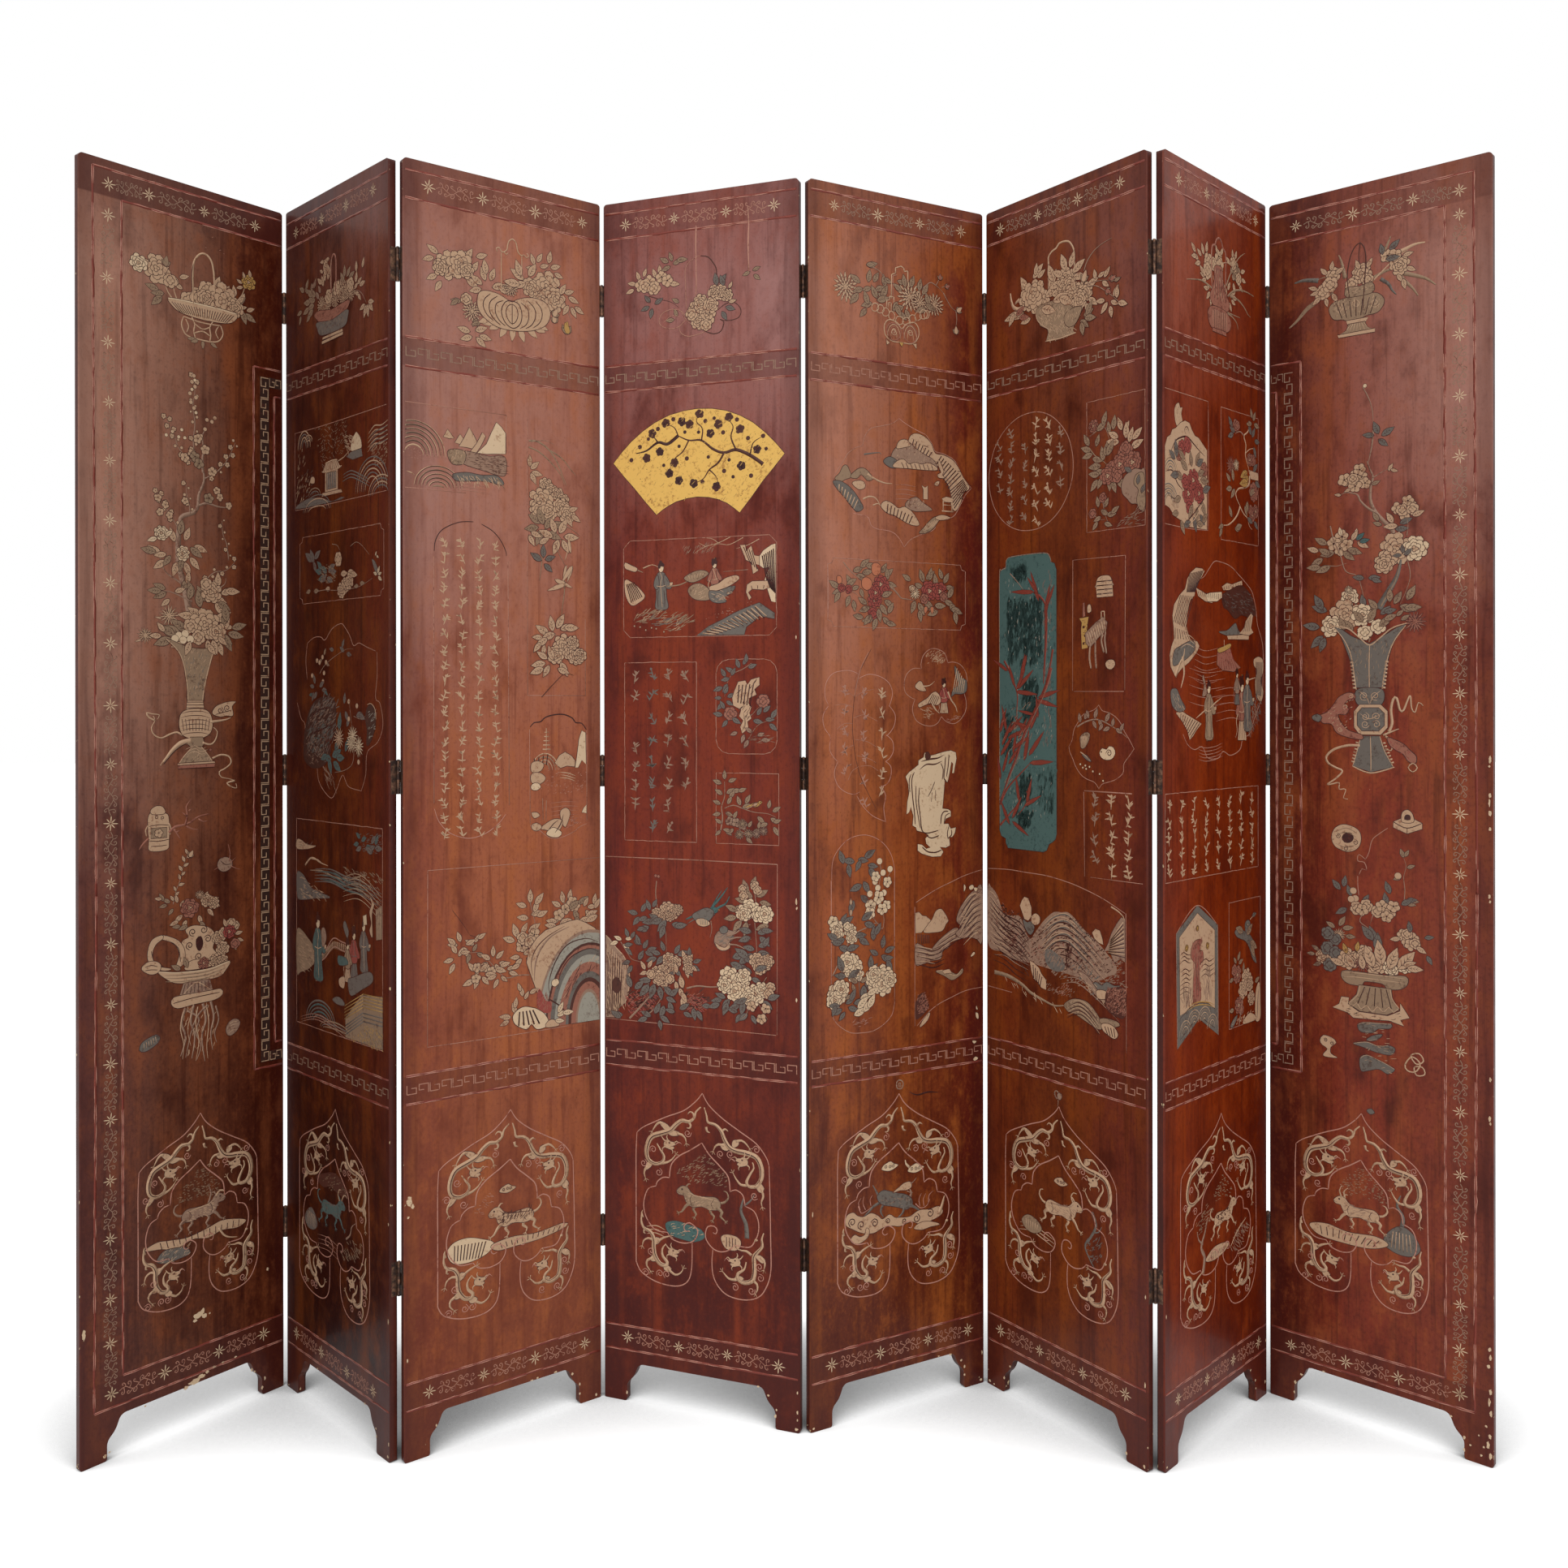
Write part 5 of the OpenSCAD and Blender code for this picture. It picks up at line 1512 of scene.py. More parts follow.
PICTURES[8, "basket of long leaves"] = """
brush slate 9 : 96 164 80 160 66 158 50 160
brush sage 3 : 130 166 114 160 96 162
brush sage 9 : 94 202 74 214 56 232 40 244
brush sage 3.4 : 124 192 110 198 94 202
brush sage 8 : 146 170 142 150 138 134 134 124 ; 216 154 214 140 222 124 228 110
brush cream 8 : 232 144 250 140 270 134 288 134
brush sage 6 : 196 180 216 172 238 168 262 158
brush sage 8 : 250 182 270 190 290 200 306 214 ; 240 180 252 196 266 212 276 228
brush slate 7 : 210 184 224 196 230 208 238 218
brush cream 3 : 190 190 214 170 236 152 258 142
rose cream 15 : 124 160 104 188 118 176
leaf cream 18 : 112 156 130 120 150 80 128 158 30 96 186 190 100 196 220 110 200 -80 122 194 -60 94 180 160
peony cream 19 : 176 166 244 166
rose cream 12 : 186 180 158 184
plum cream 12 : 222 144 236 146
leaf slate 22 : 214 140 100 226 134 40 220 150 0
leaf cream 18 : 250 150 10 256 172 -30 240 182 -60 250 192 -80 172 158 110 186 158 60
fill sage : 116 222 124 212 140 208 158 206 190 206 206 210 216 222 214 234 204 244 184 246 170 252 150 250
 142 246 124 242
curl cream 1.4 9 : 134 224 200 226 166 222
hatch cream 60 6 70 0.9 : 124 212 208 212 206 240 128 240
ribs ridge 1.1 7 : 124 214 208 214 136 244 196 244
fill sage : 146 196 150 188 174 190 190 186 198 192 194 206 150 206
hatch cream 24 5 20 0.9 : 148 190 194 190 192 204 150 204
flat cream : 148 250 188 250 184 257 150 257
flat sage : 152 257 182 257 186 268 198 274 134 274 148 268
ribs cream 1 7 : 154 258 182 258 140 274 194 274
flat cream : 132 274 200 273 200 279 134 279
pen umber 2 : 154 206 150 170 154 138 162 118 172 110 180 118 184 140 182 176 178 236
pen ridge 1 : 172 150 171 130 174 108
"""
PICTURES[8, "peony branch"] = """
brush bark 2 : 178 378 186 394 192 410 196 430 197 460
dots bone 3.4 : 182 376
brush bark 3.6 : 197 460 194 490 188 518
brush bark 8 : 234 664 230 646 214 628 200 610 192 590 192 566 196 546 190 530 186 516
brush bark 4.4 : 200 612 184 600 172 586 168 576 148 570 136 574
brush bark 2 : 196 548 210 540 224 534
leaf slate 24 : 198 470 170 206 468 110 212 472 30 206 478 -40
plum cream 11 : 166 536 150 548 176 544 182 556
plum cream 12 : 164 560 172 530 144 546
rose cream 10 : 160 546
leaf cream 14 : 138 574 170 224 538 60 228 536 -20 156 564 200
leaf sage 18 : 194 560 20
plum cream 11 : 240 608 252 620 262 604 258 596
rose cream 11 : 248 612 266 612
leaf cream 24 : 266 624 20 232 634 120 240 640 180
leaf slate 22 : 236 646 0 244 636 20
brush bark 1.6 : 256 660 258 640 256 622
leaf sage 18 : 212 636 160 206 628 120
plum cream 13 : 140 652 124 664 136 674
plum cream 12 : 148 668
leaf bone 17 : 138 650 100 164 656 80
leaf sage 26 : 126 680 190 118 684 150 104 690 210 142 680 -40 150 676 -20 112 664 150 118 706 200 100 706
 180
leaf cream 22 : 158 660 60 168 664 -30 96 676 160
leaf teal 18 : 172 664 10 166 660 40
brush bark 2.4 : 118 630 124 656 136 684 146 716 166 726 174 744 180 770 184 786
brush bark 1.6 : 112 704 130 706 148 702
peony cream 31 : 236 682
peony bone 24 : 270 684
peony cream 19 : 216 708
leaf slate 16 : 250 690 100 246 694 180 252 694 40
brush slate 13 : 206 790 216 772 230 748 240 728 246 702
brush sage 3 : 210 786 222 764 236 740 244 710
brush bark 1.6 : 256 700 262 730 256 756 244 784
leaf slate 20 : 180 732 170 188 732 0 194 734 -20
leaf sage 28 : 190 800 70 204 790 130 226 778 90 234 782 60 256 776 60 244 786 -20 252 790 0
leaf slate 24 : 180 786 100 210 800 40 216 796 10 168 808 110
peony bone 17 : 154 766
burr bone 8 : 152 752
peony cream 30 : 146 798
peony bone 21 : 120 818 178 800
rose bone 14 : 182 832 206 822
leaf slate 30 : 112 790 160 104 786 120 98 820 170 104 836 225 108 840 250
leaf sage 26 : 188 812 60 178 812 130 208 822 40 160 828 130 216 810 20 144 826 110
burr rose 20 : 270 816
leaf sage 18 : 238 804 40 246 812 30
"""
PICTURES[8, "tall vase tied with a ribbon"] = """
flat slate : 126 820 140 826 156 838 190 854 222 836 238 826 254 820 240 838 230 858 222 886 216 934 164 934
 156 886 146 858 138 838
pen cream 2.4 : 122 818 150 824 172 842 190 856 210 842 230 826 256 818
pen cream 1.8 : 126 822 144 846 156 874 162 910 166 940 ; 254 822 236 846 224 874 216 910 212 940
pen cream 1.6 : 190 856 189 900 190 960
ribs cream 3.4 8 : 160 884 166 938 154 884 160 938 ; 218 884 212 938 224 884 218 938
hatch sage 60 8 80 1 : 150 850 230 850 212 930 166 930
fill slate : 168 938 212 938 210 966 170 966
curl cream 1.2 9 : 180 950 200 950
vein cream 1.4 : 170 940 184 952 190 966 ; 210 940 196 952 190 966
flat cream : 172 966 210 966 222 978 222 1008 210 1021 172 1021 162 1008 162 978
flat slate : 176 972 206 972 216 982 216 1004 206 1014 176 1014 168 1004 168 982
curl cream 1.2 8 : 182 988 202 988 182 1002 202 1002
vein cream 1.4 : 172 982 190 992 212 982
flat slate : 174 1024 208 1024 216 1048 232 1080 192 1090 160 1080 168 1048
pen cream 1.6 : 174 1024 167 1052 159 1080 ; 208 1024 217 1052 232 1080 ; 191 1024 192 1060 192 1088
pen cream 2.4 : 158 1080 192 1092 234 1080
ribs cream 3 7 : 170 1034 162 1076 165 1033 156 1074 ; 212 1034 228 1076 217 1033 234 1074
brush cream 5 : 224 1016 230 1000 228 976 232 956 238 954 244 976 250 976 258 956 262 950 264 972 270 980 276
 962 284 968
brush cream 4 : 214 1022 232 1014 242 1010 ; 218 1024 230 1034 228 1050 218 1046
brush cream 4.6 : 172 1042 150 1042 124 1050 110 1064 114 1076 128 1084 140 1090 128 1104 112 1116 124 1114
 134 1112 134 1124 146 1124 142 1140 150 1142
fill rose : 96 988 112 980 124 966 134 952 150 944 162 946 164 954 152 956 144 966 152 974 146 984 132 984
 138 1000 152 1014 176 1022 176 1030 150 1026 130 1018 120 1002 104 1000
hatch cream 30 5 40 1 : 100 980 160 950 150 1020 110 1000
curl cream 1.2 5 : 146 970 156 950 136 1012
hatch crimson 50 6 20 1.2 : 100 980 160 950 150 1020 110 1000
fill slate : 84 988 94 984 102 990 96 998 86 994
fill rose : 222 1026 234 1030 250 1038 262 1050 272 1060 270 1072 258 1068 250 1056 236 1048 226 1040
hatch crimson 34 6 -40 1.2 : 226 1030 270 1056 264 1072 230 1044
ring cream 1.8 : 266 1072 258 1080 266 1088 274 1080
fill cream : 120 1214 126 1198 140 1190 156 1192 170 1200 174 1216 168 1232 152 1240 134 1236 124 1228
fill ridge : 140 1214 146 1206 156 1206 160 1214 154 1222 144 1222
waves sage 1.6 2 8 : 128 1204 146 1196 164 1204
waves sage 1.6 2 7 : 128 1226 146 1232 164 1226
curl ridge 0.9 5 : 132 1212 164 1222 146 1234
flat cream : 232 1180 256 1168 282 1180 282 1190 256 1200 232 1190
pen ridge 1.2 : 232 1180 256 1190 282 1180 ; 256 1190 256 1200
fill cream : 246 1176 248 1162 256 1157 264 1162 268 1176 262 1180 250 1180
fill ridge : 252 1174 254 1167 260 1167 261 1174
pen hairline 1.4 : 222 1192 206 1204 194 1216 188 1240 182 1252
pen hairline 1.6 : 182 1252 170 1244 168 1256 180 1258 184 1272 176 1270 170 1282
pen hairline 1.4 : 168 1284 168 1300 170 1320
brush bark 1.6 : 250 1328 252 1304 250 1280 254 1260 250 1244
leaf sage 16 : 250 1244 110 252 1242 60 256 1262 20 246 1280 200 254 1326 -10 262 1322 0
dots cream 6 : 240 1278
"""
PICTURES[8, "bowl of flowers on a stand"] = """
leaf slate 22 : 136 1312 130 142 1306 80 156 1322 110 220 1332 100 148 1346 210 226 1312 110 254 1322 10 246
 1330 30 178 1334 60
dots cream 6 : 160 1312 164 1326 156 1328
rose cream 12 : 166 1344 184 1338 204 1346
plum cream 11 : 212 1336 228 1344 220 1354 176 1346 232 1334
brush bark 1.6 : 178 1352 172 1368 190 1382 200 1404 ; 196 1352 190 1372
leaf slate 34 : 200 1404 110 204 1420 90 196 1400 130
leaf sage 20 : 126 1384 150 134 1380 60 140 1384 10 146 1398 0
burr cream 12 : 118 1400 134 1396
rose slate 12 : 126 1406 112 1396
plum cream 11 : 248 1386 256 1396 266 1390 262 1402
rose cream 10 : 270 1398 256 1382
leaf cream 18 : 272 1404 -30 244 1392 190
leaf slate 18 : 286 1386 10 290 1418 -60 262 1378 100
peony cream 15 : 120 1446 104 1440
rose slate 13 : 112 1424 128 1432 116 1456
leaf sage 16 : 88 1438 180 100 1454 200 96 1430 150
peony cream 20 : 152 1440 180 1430 200 1446
peony bone 15 : 228 1448 252 1440
burr rose 15 : 176 1446
leaf cream 44 : 224 1450 70 212 1444 100 240 1448 50 196 1450 110
leaf cream 26 : 250 1440 20 256 1444 0 142 1452 160 160 1454 120 178 1456 100
leaf ochre 20 : 148 1430 110 166 1424 80
fill sage : 138 1468 146 1462 184 1462 220 1462 254 1460 256 1474 244 1484 222 1486 212 1478 180 1478 176
 1486 152 1486 140 1478
waves cream 1.4 2 8 : 142 1466 170 1464 220 1464 252 1464
flat sage : 170 1486 228 1486 230 1504 242 1522 220 1534 172 1534 150 1522 166 1504
ribs ridge 1.2 5 : 176 1488 224 1488 160 1522 236 1522
pen cream 1.4 : 150 1520 158 1528 166 1520 174 1530 184 1522 194 1532 204 1522 214 1530 224 1520 232 1528 240
 1520 ; 172 1487 168 1504 152 1522 ; 226 1487 230 1504 242 1520
flat cream : 138 1512 152 1512 150 1524 170 1536 222 1536 244 1524 244 1510 252 1522 260 1534 244 1540 250
 1550 224 1544 200 1546 160 1548 150 1540 122 1534 134 1526
hatch ridge 30 8 10 0.9 : 130 1526 250 1526 250 1546 150 1546
fill slate : 168 1560 180 1554 204 1552 228 1550 226 1558 204 1562 196 1570 174 1572 ; 196 1576 212 1572 200
 1584 184 1586 ; 160 1596 184 1590 204 1594 222 1590 234 1594 228 1606 204 1606 178 1600 ; 172 1622 184 1614
 206 1620 222 1626 234 1632 222 1642 206 1636 186 1642 174 1644
pen cream 1 : 168 1560 180 1554 204 1552 228 1550 ; 172 1622 184 1614 206 1620 222 1626 234 1632 ; 160 1596
 184 1590 204 1594 222 1590
hatch cream 30 9 10 0.8 : 170 1556 226 1556 230 1640 176 1640
fill cream : 98 1600 104 1590 120 1592 128 1600 118 1610 118 1622 130 1628 104 1628 112 1614 102 1608
curl ridge 1 4 : 108 1598 120 1602
ring cream 2.6 : 252 1620 264 1604 278 1614 270 1630 256 1630
ring cream 2.4 : 262 1602 276 1596 284 1608 272 1616
ring cream 2.2 : 268 1622 282 1620 286 1632 272 1636
fill slate : 184 1716 192 1712 198 1718 190 1722
"""
PICTURES[3, "melon and flowers"] = """
leaf cream 26 : 140 150 20 132 152 170 120 158 60 66 158 150 58 166 200 64 196 210 72 206 240 120 192 -30 132
 178 60
peony cream 26 : 84 176 108 170
peony cream 16 : 120 178 70 182
leaf cream 26 : 152 198 150 158 190 110 168 188 70 172 200 20 150 206 200 160 178 100 184 196 -20
mum cream 16 : 208 194
brush bark 1.6 : 262 172 280 150 298 130
leaf cream 22 : 258 142 110 264 136 60 270 144 20 262 150 180 292 142 20 300 150 -20 288 134 80
peony cream 32 : 284 180
peony cream 24 : 276 206 302 200
peony cream 18 : 250 186
leaf cream 30 : 236 174 150 230 168 110 240 180 200 246 166 60 228 184 180
brush bark 1.4 : 310 196 322 204 334 230 336 246
leaf cream 22 : 312 188 60 322 184 20 330 190 -20 336 208 -60 330 206 240 344 206 -30
bud cream 18 : 300 244 90 298 232 60
bud ochre 22 : 324 258 80 330 260 110
leaf sage 18 : 110 236 180 104 234 220
brush bark 1.4 : 108 236 124 232 138 240
mum cream 19 : 132 250
rose cream 11 : 120 230
leaf cream 28 : 128 288 170 138 284 20 146 292 -10 132 296 200 140 296 -40
brush bark 1.4 : 150 262 144 276 136 288
leaf sage 18 : 142 262 240 148 268 200
ovals cream 26 15 : 188 264 210 200 266 240 214 266 265 228 266 290 244 262 320 176 262 195 256 258 345
ovals cream 24 12 : 166 258 205 264 252 -20
fill cream : 142 232 146 214 160 208 184 210 204 218 212 220 222 214 246 206 270 206 286 214 291 230 284 248
 268 260 244 268 212 272 182 270 160 260 147 248
ring ridge 1.3 : 190 240 198 222 212 218 226 222 232 240 228 258 214 268 198 260
ring ridge 1.1 : 199 240 204 228 212 224 220 228 224 240 220 254 212 260 204 254
pen ridge 1.1 : 212 224 212 244 212 262
pen ridge 1.3 : 194 220 180 228 178 244 186 258 198 266 ; 182 214 168 226 166 242 174 256 188 266
pen ridge 1.2 : 168 212 156 224 154 238 162 252 174 260 ; 230 218 244 228 246 244 240 258 228 266
pen ridge 1.3 : 244 212 258 224 260 240 252 256 240 264
pen ridge 1.2 : 260 210 272 222 274 236 268 250 256 260
pen cream 1.4 : 190 208 190 170 190 132 ; 232 168 232 150 232 130
pen cream 2 : 182 132 180 126 186 124 190 130 196 130 202 124 203 116 206 108 213 103 220 108 222 116 224 124
 230 130 236 128 242 132 246 128 242 124
pen cream 1.6 : 196 130 200 134 204 130
"""
PICTURES[3, "hills in a half-round frame"] = """
rule hairline 1.2 : 4 430 200 430 ; 200 430 200 500 ; 4 581 120 581
flat cream : 76 484 84 470 96 484 88 486 ; 98 492 108 476 118 488 108 494 ; 106 498 116 482 126 462 134 474
 142 488 138 500 120 498
flat bone : 142 506 160 488 170 466 180 446 190 454 198 464 198 502 176 504 160 506
flat cream : 126 508 140 490 152 468 158 474 148 494 138 508
arcs cream sage 7 7 3 : 20 522 60 60
arcs ridge ridge 6 7 1.2 : 20 519 57 57
fill bark : 112 508 130 506 164 510 196 508 198 540 180 542 150 536 128 532 112 526
hatch umber 70 12 0 0.9 : 112 508 196 508 196 540 112 532
fill sage : 84 510 100 504 118 508 114 528 92 530
hatch cream 30 7 60 0.9 : 84 506 120 506 114 534 86 530
arcs cream sage 6 7 2.6 : 66 576 46 38
arcs ridge ridge 5 7 1.1 : 66 574 43 36
fill slate : 94 550 120 544 150 546 178 544 192 552 192 560 160 556 130 558 100 560
hatch cream 60 10 -60 1.2 : 100 548 180 546 192 560 104 560
brush sage 3 : 180 548 190 558 196 566
waves hairline 1 3 6 : 90 566 120 564 160 566
hatch hairline 90 3 0 0.9 : 6 508 70 508 60 530 6 530
vein cream 2 : 6 552 14 554 22 558
"""
PICTURES[3, "flower sprays"] = """
rule hairline 1.2 : 243 432 243 947 ; 243 947 366 947 ; 366 800 366 947
brush sage 3.6 : 246 472 266 472 290 486 308 510 318 532 326 548
brush sage 3 : 246 484 266 490 290 506 312 528 322 548
brush sage 2.6 : 292 486 316 498 334 516 346 528
brush bark 1.6 : 250 474 280 468 300 474
leaf cream 24 : 248 520 90 250 524 40 252 530 -10 250 532 -60
brush bark 1.4 : 248 540 262 554 272 566
peony cream 15 : 282 552 292 562
peony cream 26 : 272 582
peony cream 20 : 266 602 286 600
peony cream 13 : 306 566 318 576
peony cream 18 : 314 590 326 602
leaf cream 24 : 330 596 20 336 604 -30 326 606 -60
leaf sage 30 : 270 624 150 276 626 110 266 632 190 280 634 60 272 636 250 290 630 20 284 640 -20
leaf cream 30 : 302 640 110 310 640 60 296 648 160 308 652 250 316 652 -60 320 646 0
brush bark 1.6 : 322 624 340 632 354 642
brush bark 2 : 250 646 264 654 270 668 274 690
leaf cream 22 : 250 642 -20 246 648 -60 268 662 30
brush sage 2 : 274 680 272 704 268 732
leaf slate 24 : 276 688 90 280 692 20 272 694 150 278 700 -40
brush bark 1.4 : 300 660 310 680 322 700
brush cream 3 : 332 640 330 664 322 690
ovals cream 34 7 : 334 676 100 324 700 260 338 700 250
brush bark 1.6 : 326 700 322 724
ovals cream 40 10 : 338 700 235 300 728 -20 322 736 200
brush sage 1.8 : 322 730 320 756 316 780 314 800
leaf cream 30 : 288 832 150 296 826 100 304 820 60 312 822 20 320 818 0 300 830 200 284 840 210
leaf cream 22 : 274 838 180 270 848 230 278 852 260
brush bark 1.4 : 280 838 296 832 310 836
peony cream 22 : 318 852
peony cream 18 : 302 870 334 864 344 872
peony cream 14 : 338 846 354 870
leaf cream 28 : 284 878 150 280 886 190 288 890 240 296 880 110 312 884 -60 306 896 -20 276 896 200
brush umber 1.2 : 272 950 296 926 320 906 340 908
"""
PICTURES[3, "columns of sprigs"] = """
pen ridge 1.2 : 58 690 60 672 70 654 88 642 110 634 134 632 ; 150 635 172 646 188 662 198 680 200 690
rule hairline 1.3 : 57 700 57 1140 ; 203 700 205 1150
pen blush 1.5 : 58 1150 66 1172 84 1192 108 1203 132 1206 160 1198 184 1182 198 1166
sprigs cream 23 : 78 674 33.5 27.5 4 20
"""
PICTURES[3, "pavilion and rocks by the water"] = """
pen ridge 1.8 : 248 1006 256 998 270 996 280 988 300 983 320 983 338 990 344 998 358 1000 368 1012
rule hairline 1.2 : 247 1010 248 1186 ; 369 1014 369 1186
pen hairline 1.2 : 248 1188 256 1200 268 1200 278 1208 290 1215 306 1217 326 1212 344 1204 352 1198 369 1192
rule cream 1.2 : 282 1008 282 1052
rule cream 1.6 : 278 1016 287 1016
rule cream 1.8 : 277 1024 288 1024
rule cream 1.9 : 276 1032 289 1032
rule cream 2.1 : 275 1040 290 1040
rule cream 2.2 : 274 1048 291 1048
flat bone : 344 1084 348 1060 352 1030 358 1014 366 1018 367 1078 358 1070 350 1084
flat cream : 300 1074 310 1060 322 1054 336 1062 344 1072 342 1082 326 1080 312 1084
hatch hairline 190 3.4 20 1 : 262 1060 292 1056 306 1086 366 1094 366 1130 310 1136 262 1120
arcs cream sage 4 6 2.4 : 279 1088 28 32
ribs ridge 1.4 4 : 252 1066 290 1056 252 1090 286 1076
fill cream : 251 1074 264 1070 276 1076 270 1088 252 1090 ; 251 1094 268 1092 280 1102 270 1112 252 1110
fill bone : 251 1114 262 1110 270 1118 262 1124 251 1122
waves cream 1.8 3 5 : 312 1092 326 1094 344 1100
rule bark 1 : 274 1140 275 1180 ; 282 1144 281 1182
waves hairline 0.9 4 8 : 290 1150 320 1148 350 1150
fill cream : 312 1166 324 1160 332 1168 330 1180 322 1196 314 1184
flat bone : 362 1162 368 1156 368 1172 358 1170
fill cream : 270 1196 284 1186 300 1180 316 1184 312 1198 300 1206 284 1200
fill bone : 282 1206 296 1196 314 1206 308 1214 292 1213
fill cream : 252 1188 264 1186 272 1194 262 1200 252 1196 ; 251 1166 262 1166 268 1172 256 1176
vein ridge 1.6 : 300 1206 312 1190 318 1172
vein ridge 1.4 : 286 1200 298 1188 308 1182
hatch hairline 40 6 20 0.9 : 326 1176 362 1176 350 1196 322 1200
"""
PICTURES[3, "banded rock, left half"] = """
rule hairline 1.1 : 45 1259 396 1259 ; 45 1259 44 1573
pen hairline 1.3 : 44 1573 120 1574 220 1575 330 1574
brush umber 1 : 92 1334 112 1360 126 1382
leaf cream 18 : 136 1396 60 142 1390 30 134 1400 150
brush umber 1 : 126 1382 136 1386 146 1396
brush bark 2 : 246 1468 224 1466 200 1468 184 1456 170 1440 150 1418 130 1414 112 1414
leaf cream 22 : 102 1398 170 108 1392 110 118 1398 20 112 1402 -60 98 1396 140
leaf cream 20 : 100 1412 120 94 1422 190 104 1418 60 96 1430 240 108 1412 0
leaf sage 16 : 132 1412 60 140 1416 -30 126 1416 250
leaf cream 22 : 166 1430 150 172 1426 90 178 1430 40 184 1438 -20 162 1436 200 176 1440 -60 136 1448 130 140
 1456 90 134 1464 200 142 1460 250
plum cream 9 : 140 1442 156 1444 168 1452 138 1462
leaf cream 22 : 146 1450 40 156 1456 -10 176 1448 -20 186 1444 10 150 1460 -50
leaf cream 18 : 178 1462 190 182 1468 240 188 1464 -40 200 1452 10 204 1458 -20 210 1452 30
leaf cream 26 : 216 1402 160 222 1396 110 230 1390 60 244 1388 30 250 1398 -20
plum cream 12 : 230 1412 244 1418 240 1402 256 1394
rose cream 12 : 232 1398 248 1406
leaf cream 22 : 226 1432 180 234 1428 20 230 1436 220 226 1446 200 240 1436 -30
leaf cream 26 : 244 1362 170 250 1356 10 262 1360 20 256 1352 70 240 1340 160 258 1338 50 248 1334 90
leaf cream 24 : 318 1340 100 312 1346 150 322 1346 40 330 1336 80 310 1368 200 318 1372 -20 304 1374 170
plum cream 11 : 322 1352 336 1340 342 1348 308 1362
leaf sage 26 : 340 1356 -60 330 1352 30 346 1368 -80 350 1344 30
leaf cream 22 : 302 1382 170 310 1380 30 306 1386 -20
leaf cream 20 : 362 1350 60 370 1352 0 366 1358 -50 384 1348 80 386 1356 60
leaf cream 26 : 366 1370 20 374 1374 190 384 1366 60 380 1376 -20 392 1370 200
brush bark 1.4 : 248 1334 252 1350 258 1376 254 1396 ; 320 1330 318 1360 310 1384
flat cream : 262 1502 252 1476 240 1444 246 1420 262 1400 280 1388 304 1382 330 1376 348 1374 366 1382 386
 1394 396 1408 396 1571 336 1571 318 1552 296 1532 280 1514
vein bark 4 : 256 1480 258 1450 268 1424 292 1400 330 1386
vein umber 2 : 252 1470 250 1444 260 1420 284 1400 320 1384
arch bark : 372 1571 112 176 396
arch mist : 372 1571 108 170 396
arch umber : 372 1571 93 151 396
arch rose : 372 1571 89 146 396
arch slate : 372 1571 83 140 396
arch mist : 372 1571 74 128 396
arch rose : 372 1571 66 114 396
hatch ridge 46 20 60 1.4 : 312 1560 316 1500 340 1464 396 1450 396 1478 356 1490 334 1530 330 1560
hatch cream 30 14 60 1 : 312 1560 316 1500 340 1464 396 1450 396 1478 356 1490 334 1530 330 1560
arch slate : 372 1571 50 96 396
arch umber : 372 1571 44 84 396
arch rose : 372 1571 38 76 396
arch bark : 372 1571 28 62 396
arch mist : 372 1571 24 56 396
vein umber 2.4 : 292 1516 286 1490 300 1450 326 1420 366 1412 394 1422
vein ridge 1.6 : 306 1500 312 1470 334 1444 372 1432 394 1440
fill bone : 294 1484 304 1482 308 1490 300 1496 293 1492
bare crimson : 262 1506 266 1496 272 1504 280 1520 290 1524 292 1540 284 1544 270 1540 262 1530
hatch rose 40 9 70 1.6 : 260 1500 276 1500 292 1526 292 1544 264 1540
brush umber 3 : 286 1518 310 1534 324 1550 334 1560
leaf cream 18 : 232 1506 100 236 1512 60 246 1502 20 228 1496 110
leaf cream 22 : 218 1536 110 216 1526 80 208 1542 170 204 1548 200
fill bone : 212 1540 222 1530 236 1526 252 1530 262 1534 278 1546 286 1566 262 1571 250 1560 240 1568 222
 1560 214 1552
ribs ridge 2.2 5 : 222 1534 256 1534 218 1560 272 1562
fill cream : 280 1570 284 1560 296 1558 308 1570
leaf bone 22 : 304 1552 20 316 1548 0 300 1560 -10 306 1546 60
"""
